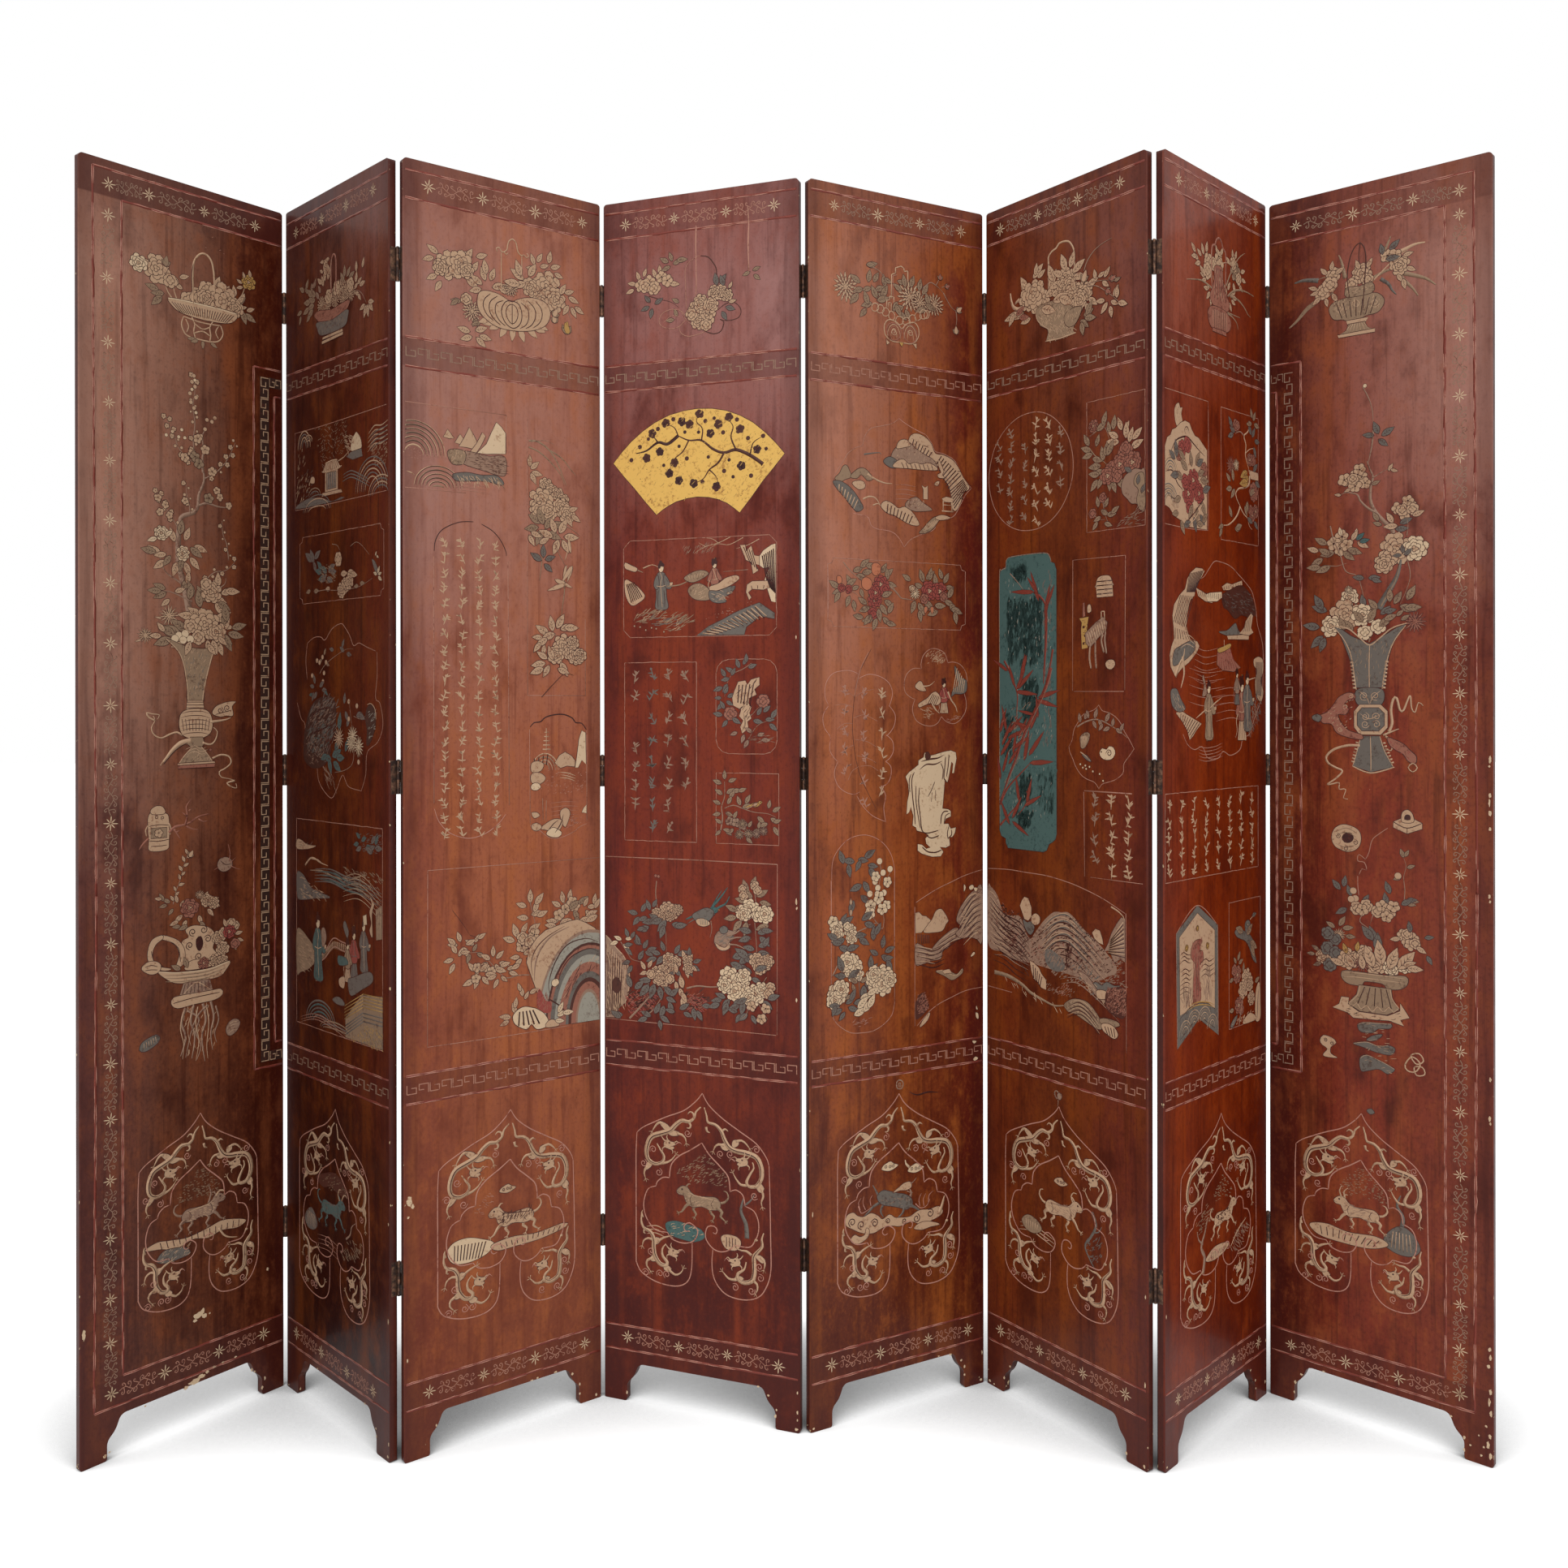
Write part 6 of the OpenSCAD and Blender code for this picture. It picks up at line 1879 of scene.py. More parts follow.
PICTURES[4, "fruit and flowers"] = """
leaf cream 18 : 78 154 110 70 160 170 66 170 200 86 148 70
plum cream 13 : 80 164 98 158
rose cream 14 : 90 166 108 172
leaf cream 20 : 112 152 110 120 146 90 126 156 0 132 162 -20 120 162 50 140 166 -10
plum cream 12 : 124 152 136 160
leaf sage 20 : 138 126 150 146 124 110 148 130 20 142 134 200 156 124 0
brush umber 1.6 : 98 186 120 194 144 202 160 214
leaf slate 20 : 98 206 200 100 198 130 104 210 260 110 202 30
leaf sage 18 : 160 204 150 150 236 180 156 230 110
pen hairline 1.2 : 175 228 174 180 173 146 178 134 192 124 205 121 220 124
pen umber 2 : 205 121 220 125 231 138 237 152 237 192
pen hairline 1.4 : 176 236 160 250 140 252 122 244 119 232 128 220 148 216 166 222 176 234 ; 160 250 164 262
 178 270 200 268 214 264
pen umber 1.8 : 214 264 232 270 246 266 252 250 244 244
pen umber 1.4 : 240 226 256 216 274 216 286 230 282 244 264 248 246 246
pen hairline 1 : 164 222 180 244 196 252 ; 128 240 144 228 162 232
peony cream 17 : 196 220
peony cream 22 : 214 234
peony cream 16 : 204 208 226 216 200 244
rose cream 12 : 216 252 186 230
peony cream 15 : 246 194
peony cream 12 : 232 190 258 200
leaf cream 14 : 222 200 90 262 188 60 262 214 10
leaf slate 22 : 238 180 100 244 176 50 252 182 110 256 222 -20 248 230 -60
leaf sage 16 : 310 160 20 304 162 200 312 168 -40
"""
PICTURES[4, "gilded fan"] = """
flat gold : 22 500 40 480 60 461 84 443 110 428 140 416 170 410 198 408 228 410 256 416 284 427 310 442 334
 462 354 482 372 503 350 528 328 552 306 580 283 607 272 598 258 588 240 580 220 575 197 573 176 575 154 580
 136 588 124 595 113 603 90 578 68 552 44 526
brush umber 7 : 330 520 304 502 276 490 252 494 230 486 206 468 180 466 158 456
brush ridge 5 : 158 456 136 470 116 466 92 480 70 484
brush umber 4 : 252 494 240 512 222 524 210 540 192 548
brush umber 3.4 : 276 490 266 466 270 446 258 430
brush umber 3 : 206 468 208 446 196 432 200 420
brush umber 2.6 : 158 456 150 440 132 432 ; 222 524 236 538 240 552
brush ridge 2.4 : 116 466 104 450
brush umber 3 : 180 466 168 486 150 500 140 520
brush ridge 2.2 : 304 502 310 480 326 470
plum umber 8 : 262 428 240 440 284 452 202 418 182 436 132 430 104 448 92 494 150 506
plum ridge 8 : 166 430 224 456 190 548 236 556 140 526 120 484 286 520 318 492 160 540
dots umber 3.6 : 250 456 278 434 214 432 148 424 116 440 78 472 60 496 176 500 208 546 252 528 330 468 300
 470 306 540
dots ridge 2.8 : 232 428 172 450 96 458 128 510 220 500 262 508 270 540 336 492 160 476 200 452
hatch ochre 150 9 45 1.2 : 30 500 110 430 198 410 290 432 368 503 285 600 198 576 114 598
hatch umber 110 1.8 0 1.4 : 30 500 110 430 198 410 290 432 368 503 285 600 198 576 114 598
"""
PICTURES[4, "two figures by a stream"] = """
box hairline 1.3 cut 14 : 43 651 356 836
hatch bark 60 9 60 0.8 : 166 668 236 664 230 680 170 684
brush cream 1.4 : 264 652 240 662 214 668 190 680
brush cream 1.2 : 290 654 262 666 238 664 216 676 ; 240 662 228 654 216 652
brush cream 1.4 : 322 658 300 668 276 674
brush cream 1.2 : 214 668 200 660
flat bone : 318 696 330 680 346 670 354 668 354 776 346 774 338 750 330 744 336 724 344 710 330 712 322 706
ribs ridge 1.8 7 : 326 690 352 676 338 744 354 760
flat cream : 284 668 294 668 296 680 306 670 312 688 322 690 322 706 314 704 320 716 310 722 306 700 296 696
 290 682
ribs ridge 1.2 4 : 288 670 310 680 302 700 320 716
flat cream : 298 742 308 736 338 736 342 748 330 752 308 750 300 756 306 766 302 770 296 756
ribs ridge 1 3 : 300 744 338 744 302 750 336 750
brush sage 4 : 46 694 58 700 70 706 84 712
brush cream 2.4 : 84 704 104 698 118 704
fill cream : 46 692 60 698 72 704 68 710 54 706 46 702 ; 46 726 60 730 76 742 88 758 74 770 60 774 48 756
ribs ridge 1.4 7 : 48 734 66 730 58 770 84 758
put man slate cream : 122 742 0.86
brush sage 2.6 : 134 740 160 738 186 728 214 716
fill sage : 170 726 186 716 206 712 220 718 206 728 186 734
ribs cream 0.9 6 : 176 722 214 716 180 730 208 724
put lady rose cream : 232 728 0.64
fill sage : 178 748 190 738 206 738 222 750 224 766 202 768 186 762
hatch cream 40 7 30 0.9 : 180 748 206 738 224 756 200 768
fill cream : 222 744 240 738 256 728 276 724 282 730 264 742 240 750 226 752
fill slate : 222 752 240 752 258 746 274 744 266 756 252 764 256 772 238 774 224 768
hatch cream 40 8 -20 0.9 : 224 752 270 746 256 772 226 770
rule bark 1 : 250 716 300 714
hatch sage 120 18 20 1.6 : 50 806 76 786 130 792 190 806 150 830 96 814
hatch cream 44 12 30 1.1 : 52 800 76 784 120 794 188 808 150 826
hatch slate 40 12 10 1.6 : 70 800 120 796 180 810 130 822
dots cream 1.4 : 66 814 78 816 90 822 102 818 112 820 128 826
flat slate : 196 834 220 818 248 806 272 794 298 784 322 776 352 796 352 806 322 800 308 812 296 820 292 834
ribs cream 2.2 14 : 204 832 318 780 230 834 340 800
ribs ridge 1 12 : 210 830 318 782 236 834 336 804
hatch hairline 60 3 20 0.9 : 214 804 260 784 300 774 320 776 260 800
"""
PICTURES[4, "columns of sprigs, and two small frames"] = """
box hairline 1.3 plain 0 : 45 884 195 1224
sprigs slate 27 : 103 908 0 41.5 1 8
sprigs bark 27 : 138 908 0 41.5 1 8 ; 173 912 0 41 1 6
sprigs bark 26 : 68 912 0 36 1 2 ; 68 1048 0 36 1 4
box hairline 1.2 round 26 : 235 880 357 1056
brush bark 1.4 : 306 888 290 898 268 908 258 924 252 950
leaf slate 18 : 282 896 110 290 890 60 300 896 20 270 904 150 262 916 190 254 912 120 266 910 60 258 926 240
 248 932 200 296 886 90
leaf slate 16 : 252 944 60 246 952 180 258 950 20 248 962 230 256 958 -30
flat cream : 272 940 280 922 294 920 298 928 306 918 322 914 322 928 312 936 316 946 302 952 300 962 306 970
 302 980 306 990 298 996 300 1008 288 1018 284 1006 290 994 282 986 286 974 270 966 268 952
ribs ridge 1.6 5 : 278 928 314 926 276 960 306 968
hatch ridge 36 12 50 1.2 : 272 940 310 920 300 1010 282 1000
vein sage 3 : 290 980 294 1000 286 1016
rose rose 13 : 330 958 264 982
leaf slate 18 : 248 984 170 258 994 230 268 990 -30 252 972 120
brush bark 1.4 : 290 990 306 984 318 972 328 964
leaf slate 18 : 318 984 60 330 978 40 334 992 0 346 990 60 342 1000 -40 310 994 -10
brush bark 1.4 : 300 1030 308 1016 320 1002 340 994
leaf bark 16 : 300 1030 240 308 1016 150 318 1022 20 326 1030 0 278 1016 200 292 1020 250
hatch bark 30 12 10 0.9 : 290 1026 340 1022 344 1034 296 1036
box hairline 1.2 plain 0 : 235 1092 360 1224
brush bark 2.6 : 244 1200 248 1176 246 1156 252 1136 252 1108
brush bark 2 : 252 1158 270 1152 290 1158 312 1164 338 1166 354 1172
leaf sage 18 : 246 1112 160 252 1104 90 260 1108 20 248 1132 150 256 1130 30 268 1126 10 280 1126 20 262 1138
 50
leaf sage 16 : 244 1150 160 258 1150 60 244 1168 190 254 1166 -20 246 1186 150 254 1184 30 244 1200 220 254
 1198 -40
leaf sage 18 : 284 1152 110 294 1148 60 288 1156 20 318 1172 -40 340 1156 80 348 1162 30 344 1174 -30 350
 1190 -60 350 1182 20 338 1184 200
put bird ochre cream : 314 1150 0.5
brush bark 1.6 : 262 1172 276 1186 284 1200
plum bark 9 : 262 1182 276 1184 288 1188
burr sage 10 : 288 1186 282 1206 300 1204
leaf sage 14 : 270 1176 60 300 1192 60 310 1200 20 320 1194 80 296 1212 -40 270 1196 220 264 1200 170
brush bark 1.2 : 284 1200 304 1206 322 1200 334 1188
burr bark 9 : 316 1204 330 1198
"""
PICTURES[4, "birds and peonies, right half"] = """
rule hairline 1.8 : 4 1257 180 1257 ; 180 1257 357 1259
rule hairline 1.1 : 357 1259 356 1573
rule hairline 1.4 : 4 1569 150 1571
rule hairline 1.3 : 150 1571 354 1574
flat bark : 4 1408 14 1416 26 1432 40 1446 52 1462 56 1490 52 1516 46 1536 30 1548 26 1566 4 1567
ribs cream 1.2 9 : 6 1424 48 1464 6 1566 42 1540
ribs umber 2 7 : 6 1440 42 1464 6 1566 36 1546
hatch cream 60 18 -75 1.2 : 4 1420 50 1466 50 1530 4 1566
pen cream 2 : 5 1410 26 1432 44 1450 54 1478 52 1516 44 1538
fill umber : 20 1494 30 1490 36 1504 30 1518 20 1514
hatch umber 90 18 30 3 : 44 1520 100 1504 106 1524 90 1554 50 1556
hatch crimson 70 15 -40 1.8 : 44 1520 100 1504 106 1524 90 1554 50 1556
hatch rose 60 8 30 1.2 : 44 1520 100 1504 100 1550 44 1556
hatch umber 60 16 30 2.6 : 160 1514 200 1506 212 1520 206 1538 168 1544
hatch crimson 50 13 -40 1.8 : 160 1514 200 1506 212 1520 206 1538 168 1544
hatch rose 60 8 30 1.2 : 160 1510 210 1510 206 1540 164 1544
brush bark 4 : 54 1566 74 1546 92 1526 108 1510 124 1502 140 1498
brush bark 2.6 : 84 1562 104 1546 120 1524 128 1508 ; 86 1520 94 1500 96 1488
brush bark 1.8 : 112 1300 110 1324 114 1350 122 1372 130 1390 132 1414 132 1436
dots rose 2.6 : 110 1290 116 1291
brush bark 3.4 : 174 1500 196 1494 222 1494 246 1492 262 1494
leaf slate 20 : 72 1364 170 80 1360 60 76 1370 230 98 1356 110 104 1350 60 92 1370 200
peony cream 12 : 112 1362 124 1368
peony cream 15 : 134 1352 148 1356
peony cream 10 : 158 1352 140 1366
leaf slate 26 : 108 1376 190 118 1376 150 124 1372 200 132 1374 230 144 1380 -10 150 1384 10 96 1388 200 128
 1384 250
leaf slate 18 : 92 1396 160 86 1390 200
leaf bone 18 : 38 1416 160 46 1414 10 30 1420 200 42 1424 -40
leaf slate 18 : 58 1412 60 64 1416 -20 52 1410 110 46 1432 -40 44 1426 10
brush bark 1.4 : 36 1420 50 1440 60 1452 78 1456 86 1464
leaf slate 20 : 76 1424 110 84 1430 60 88 1436 -20 92 1434 20 56 1456 200 60 1464 240 74 1452 60
leaf slate 22 : 120 1438 170 128 1432 110 126 1442 230 112 1446 200 150 1436 60 156 1438 20
peony cream 14 : 138 1448 150 1452
peony cream 12 : 134 1462 146 1464
leaf slate 18 : 150 1466 -40 146 1470 240 180 1440 90 188 1450 20 186 1456 -30 178 1462 -60
leaf cream 20 : 172 1446 110 178 1450 60 174 1460 -80 180 1456 -30
peony cream 11 : 176 1448 178 1462
leaf cream 18 : 88 1470 120 94 1466 60 92 1474 200
peony cream 13 : 112 1474 126 1470
peony cream 15 : 128 1486 116 1484
rose cream 10 : 100 1478 140 1484
leaf cream 20 : 154 1472 100 158 1482 -60 152 1488 -80 160 1500 -70
leaf cream 24 : 166 1500 100 172 1512 -110 164 1508 -60
leaf slate 28 : 100 1490 180 96 1498 230 108 1496 250 118 1500 -80 128 1500 -40
leaf slate 24 : 58 1506 110 66 1508 40 132 1520 -20 138 1528 -70 128 1536 -110 140 1516 40
leaf slate 22 : 150 1546 170 160 1540 30 168 1546 -20 188 1536 -80 196 1540 -60 206 1530 0 120 1556 -30 118
 1564 -80 40 1560 180 36 1566 150 92 1562 200 100 1558 160 108 1552 60
put bird teal slate : 214 1358 1.0
brush teal 5 : 222 1350 234 1336 246 1322 258 1306 ; 226 1356 240 1344 254 1336 262 1322
brush teal 3 : 224 1348 234 1330 246 1312
fill slate : 186 1362 200 1352 216 1346 230 1352 224 1366 210 1376 198 1374
fill cream : 194 1370 206 1366 218 1370 222 1376 210 1381 198 1378
ribs teal 1 5 : 200 1366 220 1366 202 1378 218 1378
brush bark 1.4 : 224 1370 226 1386 222 1402
fill bark : 232 1400 238 1390 252 1384 270 1386 284 1376 268 1394 262 1406 254 1418 240 1420 232 1412
fill cream : 233 1410 242 1416 254 1418 262 1408 262 1418 250 1424 238 1420
hatch slate 40 10 20 1 : 236 1394 266 1384 260 1414 238 1416
brush bark 3.4 : 256 1396 274 1390 290 1378 304 1372
brush bark 3 : 258 1404 276 1398 296 1398 306 1400 ; 256 1412 276 1412 292 1418 300 1420
fill slate : 242 1384 250 1378 258 1382 256 1390 246 1392
brush bark 1.6 : 312 1312 314 1330 312 1360 314 1390 316 1420 312 1450 316 1480
leaf sage 24 : 298 1314 110 306 1306 70 316 1320 30 322 1330 -10 308 1322 150 298 1330 170 290 1340 200
rose cream 9 : 288 1308 312 1300 318 1308 290 1320
brush bark 1.4 : 294 1296 302 1312 308 1328
peony bone 20 : 302 1344
peony bone 16 : 290 1352 320 1352
peony bone 18 : 332 1352
leaf sage 26 : 286 1366 230 296 1368 260 276 1360 190 278 1348 160 340 1372 200
leaf slate 24 : 306 1386 170 318 1388 20 326 1382 0 322 1394 -40 304 1396 200
leaf slate 22 : 320 1412 20 330 1412 60 318 1424 0 326 1424 -30 312 1418 170 312 1428 200
leaf slate 30 : 268 1436 20 282 1446 40 276 1452 -10 292 1440 20 264 1446 -20 300 1434 150
peony cream 15 : 316 1438 330 1444
peony cream 13 : 338 1438 322 1452
leaf slate 22 : 300 1454 200 306 1462 150 314 1456 20 306 1472 -20
peony bone 22 : 262 1474
peony bone 20 : 282 1482 272 1498
peony bone 16 : 252 1488 290 1470
peony bone 21 : 312 1502
peony bone 15 : 326 1492 300 1508
rose cream 10 : 344 1486 340 1498
leaf slate 24 : 246 1516 190 254 1512 160 262 1514 230 242 1524 200 258 1520 250 284 1512 230 290 1516 260
 296 1510 210 282 1524 200 330 1512 -40 338 1508 20
brush bark 1.6 : 318 1516 328 1530 338 1546
plum cream 10 : 306 1524 334 1526 326 1546
leaf slate 20 : 278 1536 170 284 1540 240 298 1538 220 306 1540 -60
brush bark 1.4 : 300 1528 294 1542 282 1550
brush bark 1.2 : 336 1468 328 1480 322 1490
"""
PICTURES[4, "hanging cords"] = """
pen hairline 1.6 : 195 62 194 100 196 160 194 200
pen blush 2 : 196 64 195 110 196 180
pen hairline 2.4 : 300 40 302 80 301 120 302 162
pen blush 2 : 302 70 300 110 302 150
"""
PICTURES[5, "basket of daisies"] = """
mum cream 27 : 80 188
leaf sage 24 : 128 142 20 112 176 150 118 186 200 130 172 80 142 170 60 136 182 200 146 184 20 152 190 -20
leaf sage 26 : 168 176 100 160 196 60 150 204 20 138 210 200 126 222 230 130 214 110 108 196 230 150 200 120
brush bark 1.8 : 138 142 156 148 168 162 178 172
brush bark 1.6 : 118 230 132 216 148 210 166 214
leaf sage 20 : 126 140 10 166 160 -20 196 160 -10
rule cream 2 : 182 196 183 150 192 146 192 136 205 131 211 134 212 140 220 138 221 174
rule hairline 1.4 : 186 196 186 152 195 149
rule cream 1.8 : 172 214 172 200 178 199 178 192 188 192 188 220
rule cream 1.4 : 176 214 176 204 182 204 182 220
mum cream 28 : 224 186
mum cream 20 : 248 194
mum cream 22 : 282 194
leaf sage 24 : 206 178 150 214 170 100 226 168 70 196 200 240 210 208 200 214 212 -60 200 218 -40 192 206 -60
 246 172 80 254 178 60 262 204 200 270 196 110 262 196 -20
brush bark 2 : 254 168 262 160 274 152 290 158 304 168
brush bark 1.8 : 304 168 312 180 324 194 336 200
brush bark 1.6 : 334 200 336 214 334 228
brush bark 1.4 : 286 156 292 146 296 138
brush bark 1.2 : 300 158 308 154 316 152
bud cream 16 : 336 200 40 334 244 90
bud rose 12 : 296 144 90 308 156 20
ring cream 1.6 : 138 218 142 210 150 210 154 218 148 224 140 224 ; 150 220 154 212 162 212 166 220 160 226
 152 226 ; 162 224 166 216 174 216 178 224 172 230 164 230 ; 176 228 180 220 188 222 190 230 186 236 178 234
 ; 192 236 196 228 206 228 210 236 204 242 194 242 ; 208 236 212 228 222 228 226 236 220 242 210 240 ; 222
 230 226 222 234 220 240 228 234 234 226 236 ; 236 224 240 214 248 214 252 222 246 228 240 230 ; 248 218 252
 208 262 208 266 216 260 224 250 224 ; 258 216 262 208 268 208 270 216 266 222 260 222
ring cream 1.8 : 168 244 178 236 196 240 206 250 216 240 234 234 244 242 246 256 240 268 228 276 204 276 184
 276 170 268 166 256
ring rose 2 : 172 256 178 244 192 242 204 252 202 266 190 274 178 270 ; 210 256 214 244 228 240 240 250 240
 264 230 274 216 270
arcs cream rose 5 4 1.6 : 188 270 15 26 ; 226 270 15 28
curl cream 1.2 7 : 188 258 226 256
flat cream : 170 274 178 280 172 284
flat ochre : 200 276 210 276 206 284
flat cream : 232 276 240 274 240 284
"""
PICTURES[5, "rocky island in a lobed frame"] = """
pen blush 1.3 : 200 421 212 428 236 438 262 446
pen hairline 1.5 : 262 446 276 462 284 476 306 480 330 490 345 512 356 526 371 541 ; 371 541 356 556 344 576
 326 600 292 608 282 626 266 634 248 640 226 650 211 665
pen blush 1.3 : 211 665 204 654 192 642 176 636 150 634 136 628 130 614 114 610 96 608
pen hairline 1.3 : 52 545 62 530 76 510 86 496 104 484 116 480 122 462 136 446 164 438 184 432 200 421
pen umber 1 : 52 546 66 566 88 592 104 606
fill cream : 222 470 226 452 240 446 258 450 274 462 284 480 304 482 326 490 340 504 350 520 366 540 352 552
 344 572 332 588 322 578 322 560 316 540 304 526 296 510 280 496 262 488 244 482
ribs ridge 1.6 7 : 230 456 280 480 226 472 270 492
ribs ridge 1.6 9 : 296 482 348 520 284 500 316 548
ribs ridge 1.5 7 : 350 524 362 542 318 548 330 586
hatch umber 60 16 -20 1.5 : 226 452 280 476 340 506 362 540 330 584 306 526 250 484
fill bark : 182 512 184 488 200 472 220 464 240 476 262 486 280 494 290 512 262 510 240 514 214 514
hatch cream 90 5 60 0.8 : 184 510 190 482 222 468 286 498 288 512
fill cream : 194 478 200 464 216 460 226 470 214 474
fill slate : 164 506 176 496 192 500 200 512 182 516
fill cream : 186 514 196 502 210 498 222 506 236 502 252 504 268 500 286 506 288 512 260 514 224 514
ribs ridge 1.1 8 : 200 504 280 504 206 514 284 513
brush slate 3 : 120 496 140 492 156 490 158 494
fill sage : 56 546 66 536 74 522 82 520 88 530 92 540 78 546 66 552
fill slate : 52 552 66 550 82 556 98 568 108 580 118 596 104 604 90 592 76 578 62 566
ribs cream 2.2 7 : 62 554 110 584 62 566 100 602
fill sage : 90 540 104 526 118 522 130 528 140 540 128 544 114 534 104 542
brush cream 4 : 128 532 144 540 166 546 184 546
fill cream : 94 552 106 546 120 548 122 558 108 562
brush cream 3.4 : 118 580 132 574 146 576 156 588
brush cream 2.6 : 140 590 152 586 160 592
fill cream : 158 590 168 580 184 584 198 592 212 588 226 594 238 606 246 620 232 622 212 616 190 606 172 602
ribs ridge 1.6 8 : 170 584 234 606 168 602 226 620
fill bark : 214 586 222 574 240 568 252 576 268 584 276 590 250 594 232 594
hatch cream 44 6 50 0.9 : 216 582 240 570 274 590 230 592
fill sage : 246 636 258 624 272 610 286 602 300 604 292 610 280 624 264 634
ribs cream 2 6 : 262 618 298 604 252 634 280 622
fill cream : 284 604 300 598 320 602 310 606 292 608
flat cream : 300 566 310 562 326 564 326 572 304 572
rule cream 2 : 303 568 303 590 ; 324 570 324 590
rule cream 2.4 : 300 590 328 590
rule cream 1.2 : 303 578 324 578
fill cream : 292 492 298 500 304 514 300 520 306 526 292 526 290 520 298 516 292 504
flat cream : 252 544 260 548 266 544 266 570 256 570 256 552
fill cream : 282 540 288 534 294 534 290 542
waves hairline 1 4 9 : 190 548 214 546 240 548
"""
PICTURES[5, "fruit and roses"] = """
box hairline 1.3 notch 12 : 40 693 356 820
pen blush 1.2 : 40 704 42 760 40 806
leaf sage 24 : 96 716 20 104 722 -20 112 708 40 116 718 10 124 704 0 160 716 60 168 722 40 170 736 -10 174
 728 100 138 744 250 70 752 200 66 756 240 64 748 150 92 742 120 96 770 -80 88 762 250 82 742 30 140 760 110
 146 744 -30
brush bark 2 : 74 700 90 716 112 730 136 742 156 748
brush bark 1.6 : 54 756 76 752 96 754 118 770 130 784
leaf sage 20 : 108 744 200 112 748 -70
peony crimson 18 : 158 738
peony crimson 16 : 144 768 146 754
rose crimson 12 : 140 794 168 748
rose crimson 8 : 86 750 70 748
leaf sage 24 : 160 760 20 166 768 -30 156 776 -50 152 784 -80 132 782 200 126 776 150 140 804 190 136 796 230
 162 800 -40 170 810 -10 174 792 60 148 802 250 118 802 170
brush bark 3 : 180 742 194 752 204 762 220 764 236 766
brush bark 1.8 : 196 756 190 748 186 742
leaf sage 24 : 226 728 150 236 734 -20 256 730 110 262 724 40 270 726 80 286 736 100 300 722 110 304 730 60
 308 738 0
burr bone 13 : 236 752
rose cream 8 : 230 744
peony crimson 20 : 270 746
peony crimson 18 : 294 746
rose rose 10 : 304 756
leaf sage 26 : 244 770 -60 236 766 -110 246 784 -80 256 766 -30 282 774 0 290 784 200 306 764 -20 314 758 60
 318 768 -50 322 778 -20 330 784 -80
bud peach 14 : 262 776 260 276 776 270
rose rose 10 : 258 762
fill peach : 138 702 146 698 156 702 156 716 146 722 138 716 ; 116 730 126 726 136 732 136 744 126 750 116
 744 ; 60 728 66 726 70 730 70 738 62 740
"""
PICTURES[5, "sprigs in a scalloped frame, and a figure in a five-lobed one"] = """
pen umber 1 : 136 860 124 880 112 900 102 930 96 970 94 1010 100 1060 112 1100 128 1130 146 1160
pen hairline 1.2 : 130 866 118 886 108 910 98 950
pen blush 1.3 : 108 908 92 902 72 902 50 908 36 926 34 950 42 966 ; 42 966 30 984 32 1006 44 1022 46 1030 ;
 46 1028 44 1048 54 1064 62 1070 ; 62 1070 54 1090 60 1112 76 1126 96 1132 110 1128 ; 104 1136 118 1156 136
 1172 152 1180 168 1186
pen blush 1.4 : 108 916 130 908 156 912 176 924 184 942 180 960 176 968 ; 176 966 190 984 188 1004 178 1018
 170 1024 ; 170 1022 184 1034 186 1052 178 1066 168 1072 ; 168 1072 180 1082 180 1100 172 1114 158 1120
pen blush 1.3 : 158 1120 168 1136 164 1160 168 1186
pen hairline 0.8 : 98 950 80 940 62 940 ; 96 970 76 964 56 966 ; 94 1000 76 1000 60 1010 ; 98 1040 82 1046 70
 1060 ; 108 1080 92 1090 84 1106 ; 100 950 120 940 142 936 ; 96 990 120 984 150 996 ; 100 1030 126 1034 150
 1046 ; 112 1080 134 1080 152 1090 ; 104 1060 130 1066 146 1074
sprigs hairline 26 : 78 940 0 37 1 5 ; 120 944 0 41 1 6
sprigs cream 26 : 160 946 0 37 1 6
pen hairline 1.5 : 250 896 232 896 216 908 211 926 214 942 228 952 236 954 ; 236 954 230 974 238 994 256 1004
 276 1006 290 1000 298 988 ; 298 988 310 998 328 1002 344 994 356 978 358 960 352 940 ; 352 940 360 920 356
 900 342 886 324 882 314 884 ; 314 884 306 866 290 858 272 858 256 870 250 888 252 896
hatch cream 60 6 50 0.9 : 256 872 276 860 300 864 308 882 290 888 262 886
hatch cream 26 10 10 0.9 : 258 872 300 866 304 880 270 884
fill cream : 236 930 246 920 252 922 256 930 262 938 248 938
brush cream 2.6 : 254 930 270 928 282 920
fill slate : 330 890 338 900 344 912 358 918 358 938 346 944 330 944 322 950 326 936 340 926 332 908
ribs cream 2 6 : 334 892 356 920 324 940 352 942
put lady crimson cream : 304 950 0.62
fill cream : 274 944 284 940 294 948 296 960 286 966 272 962 258 966 246 970 244 964 258 956 268 950
brush cream 4 : 276 962 284 974 294 982 ; 314 940 322 956 332 968 336 980
ribs ridge 1 5 : 276 944 294 950 262 966 286 966
hatch cream 24 9 -20 0.9 : 246 970 274 968 270 990 250 990
hatch hairline 26 9 0 0.9 : 304 990 340 984 330 998 310 998
"""
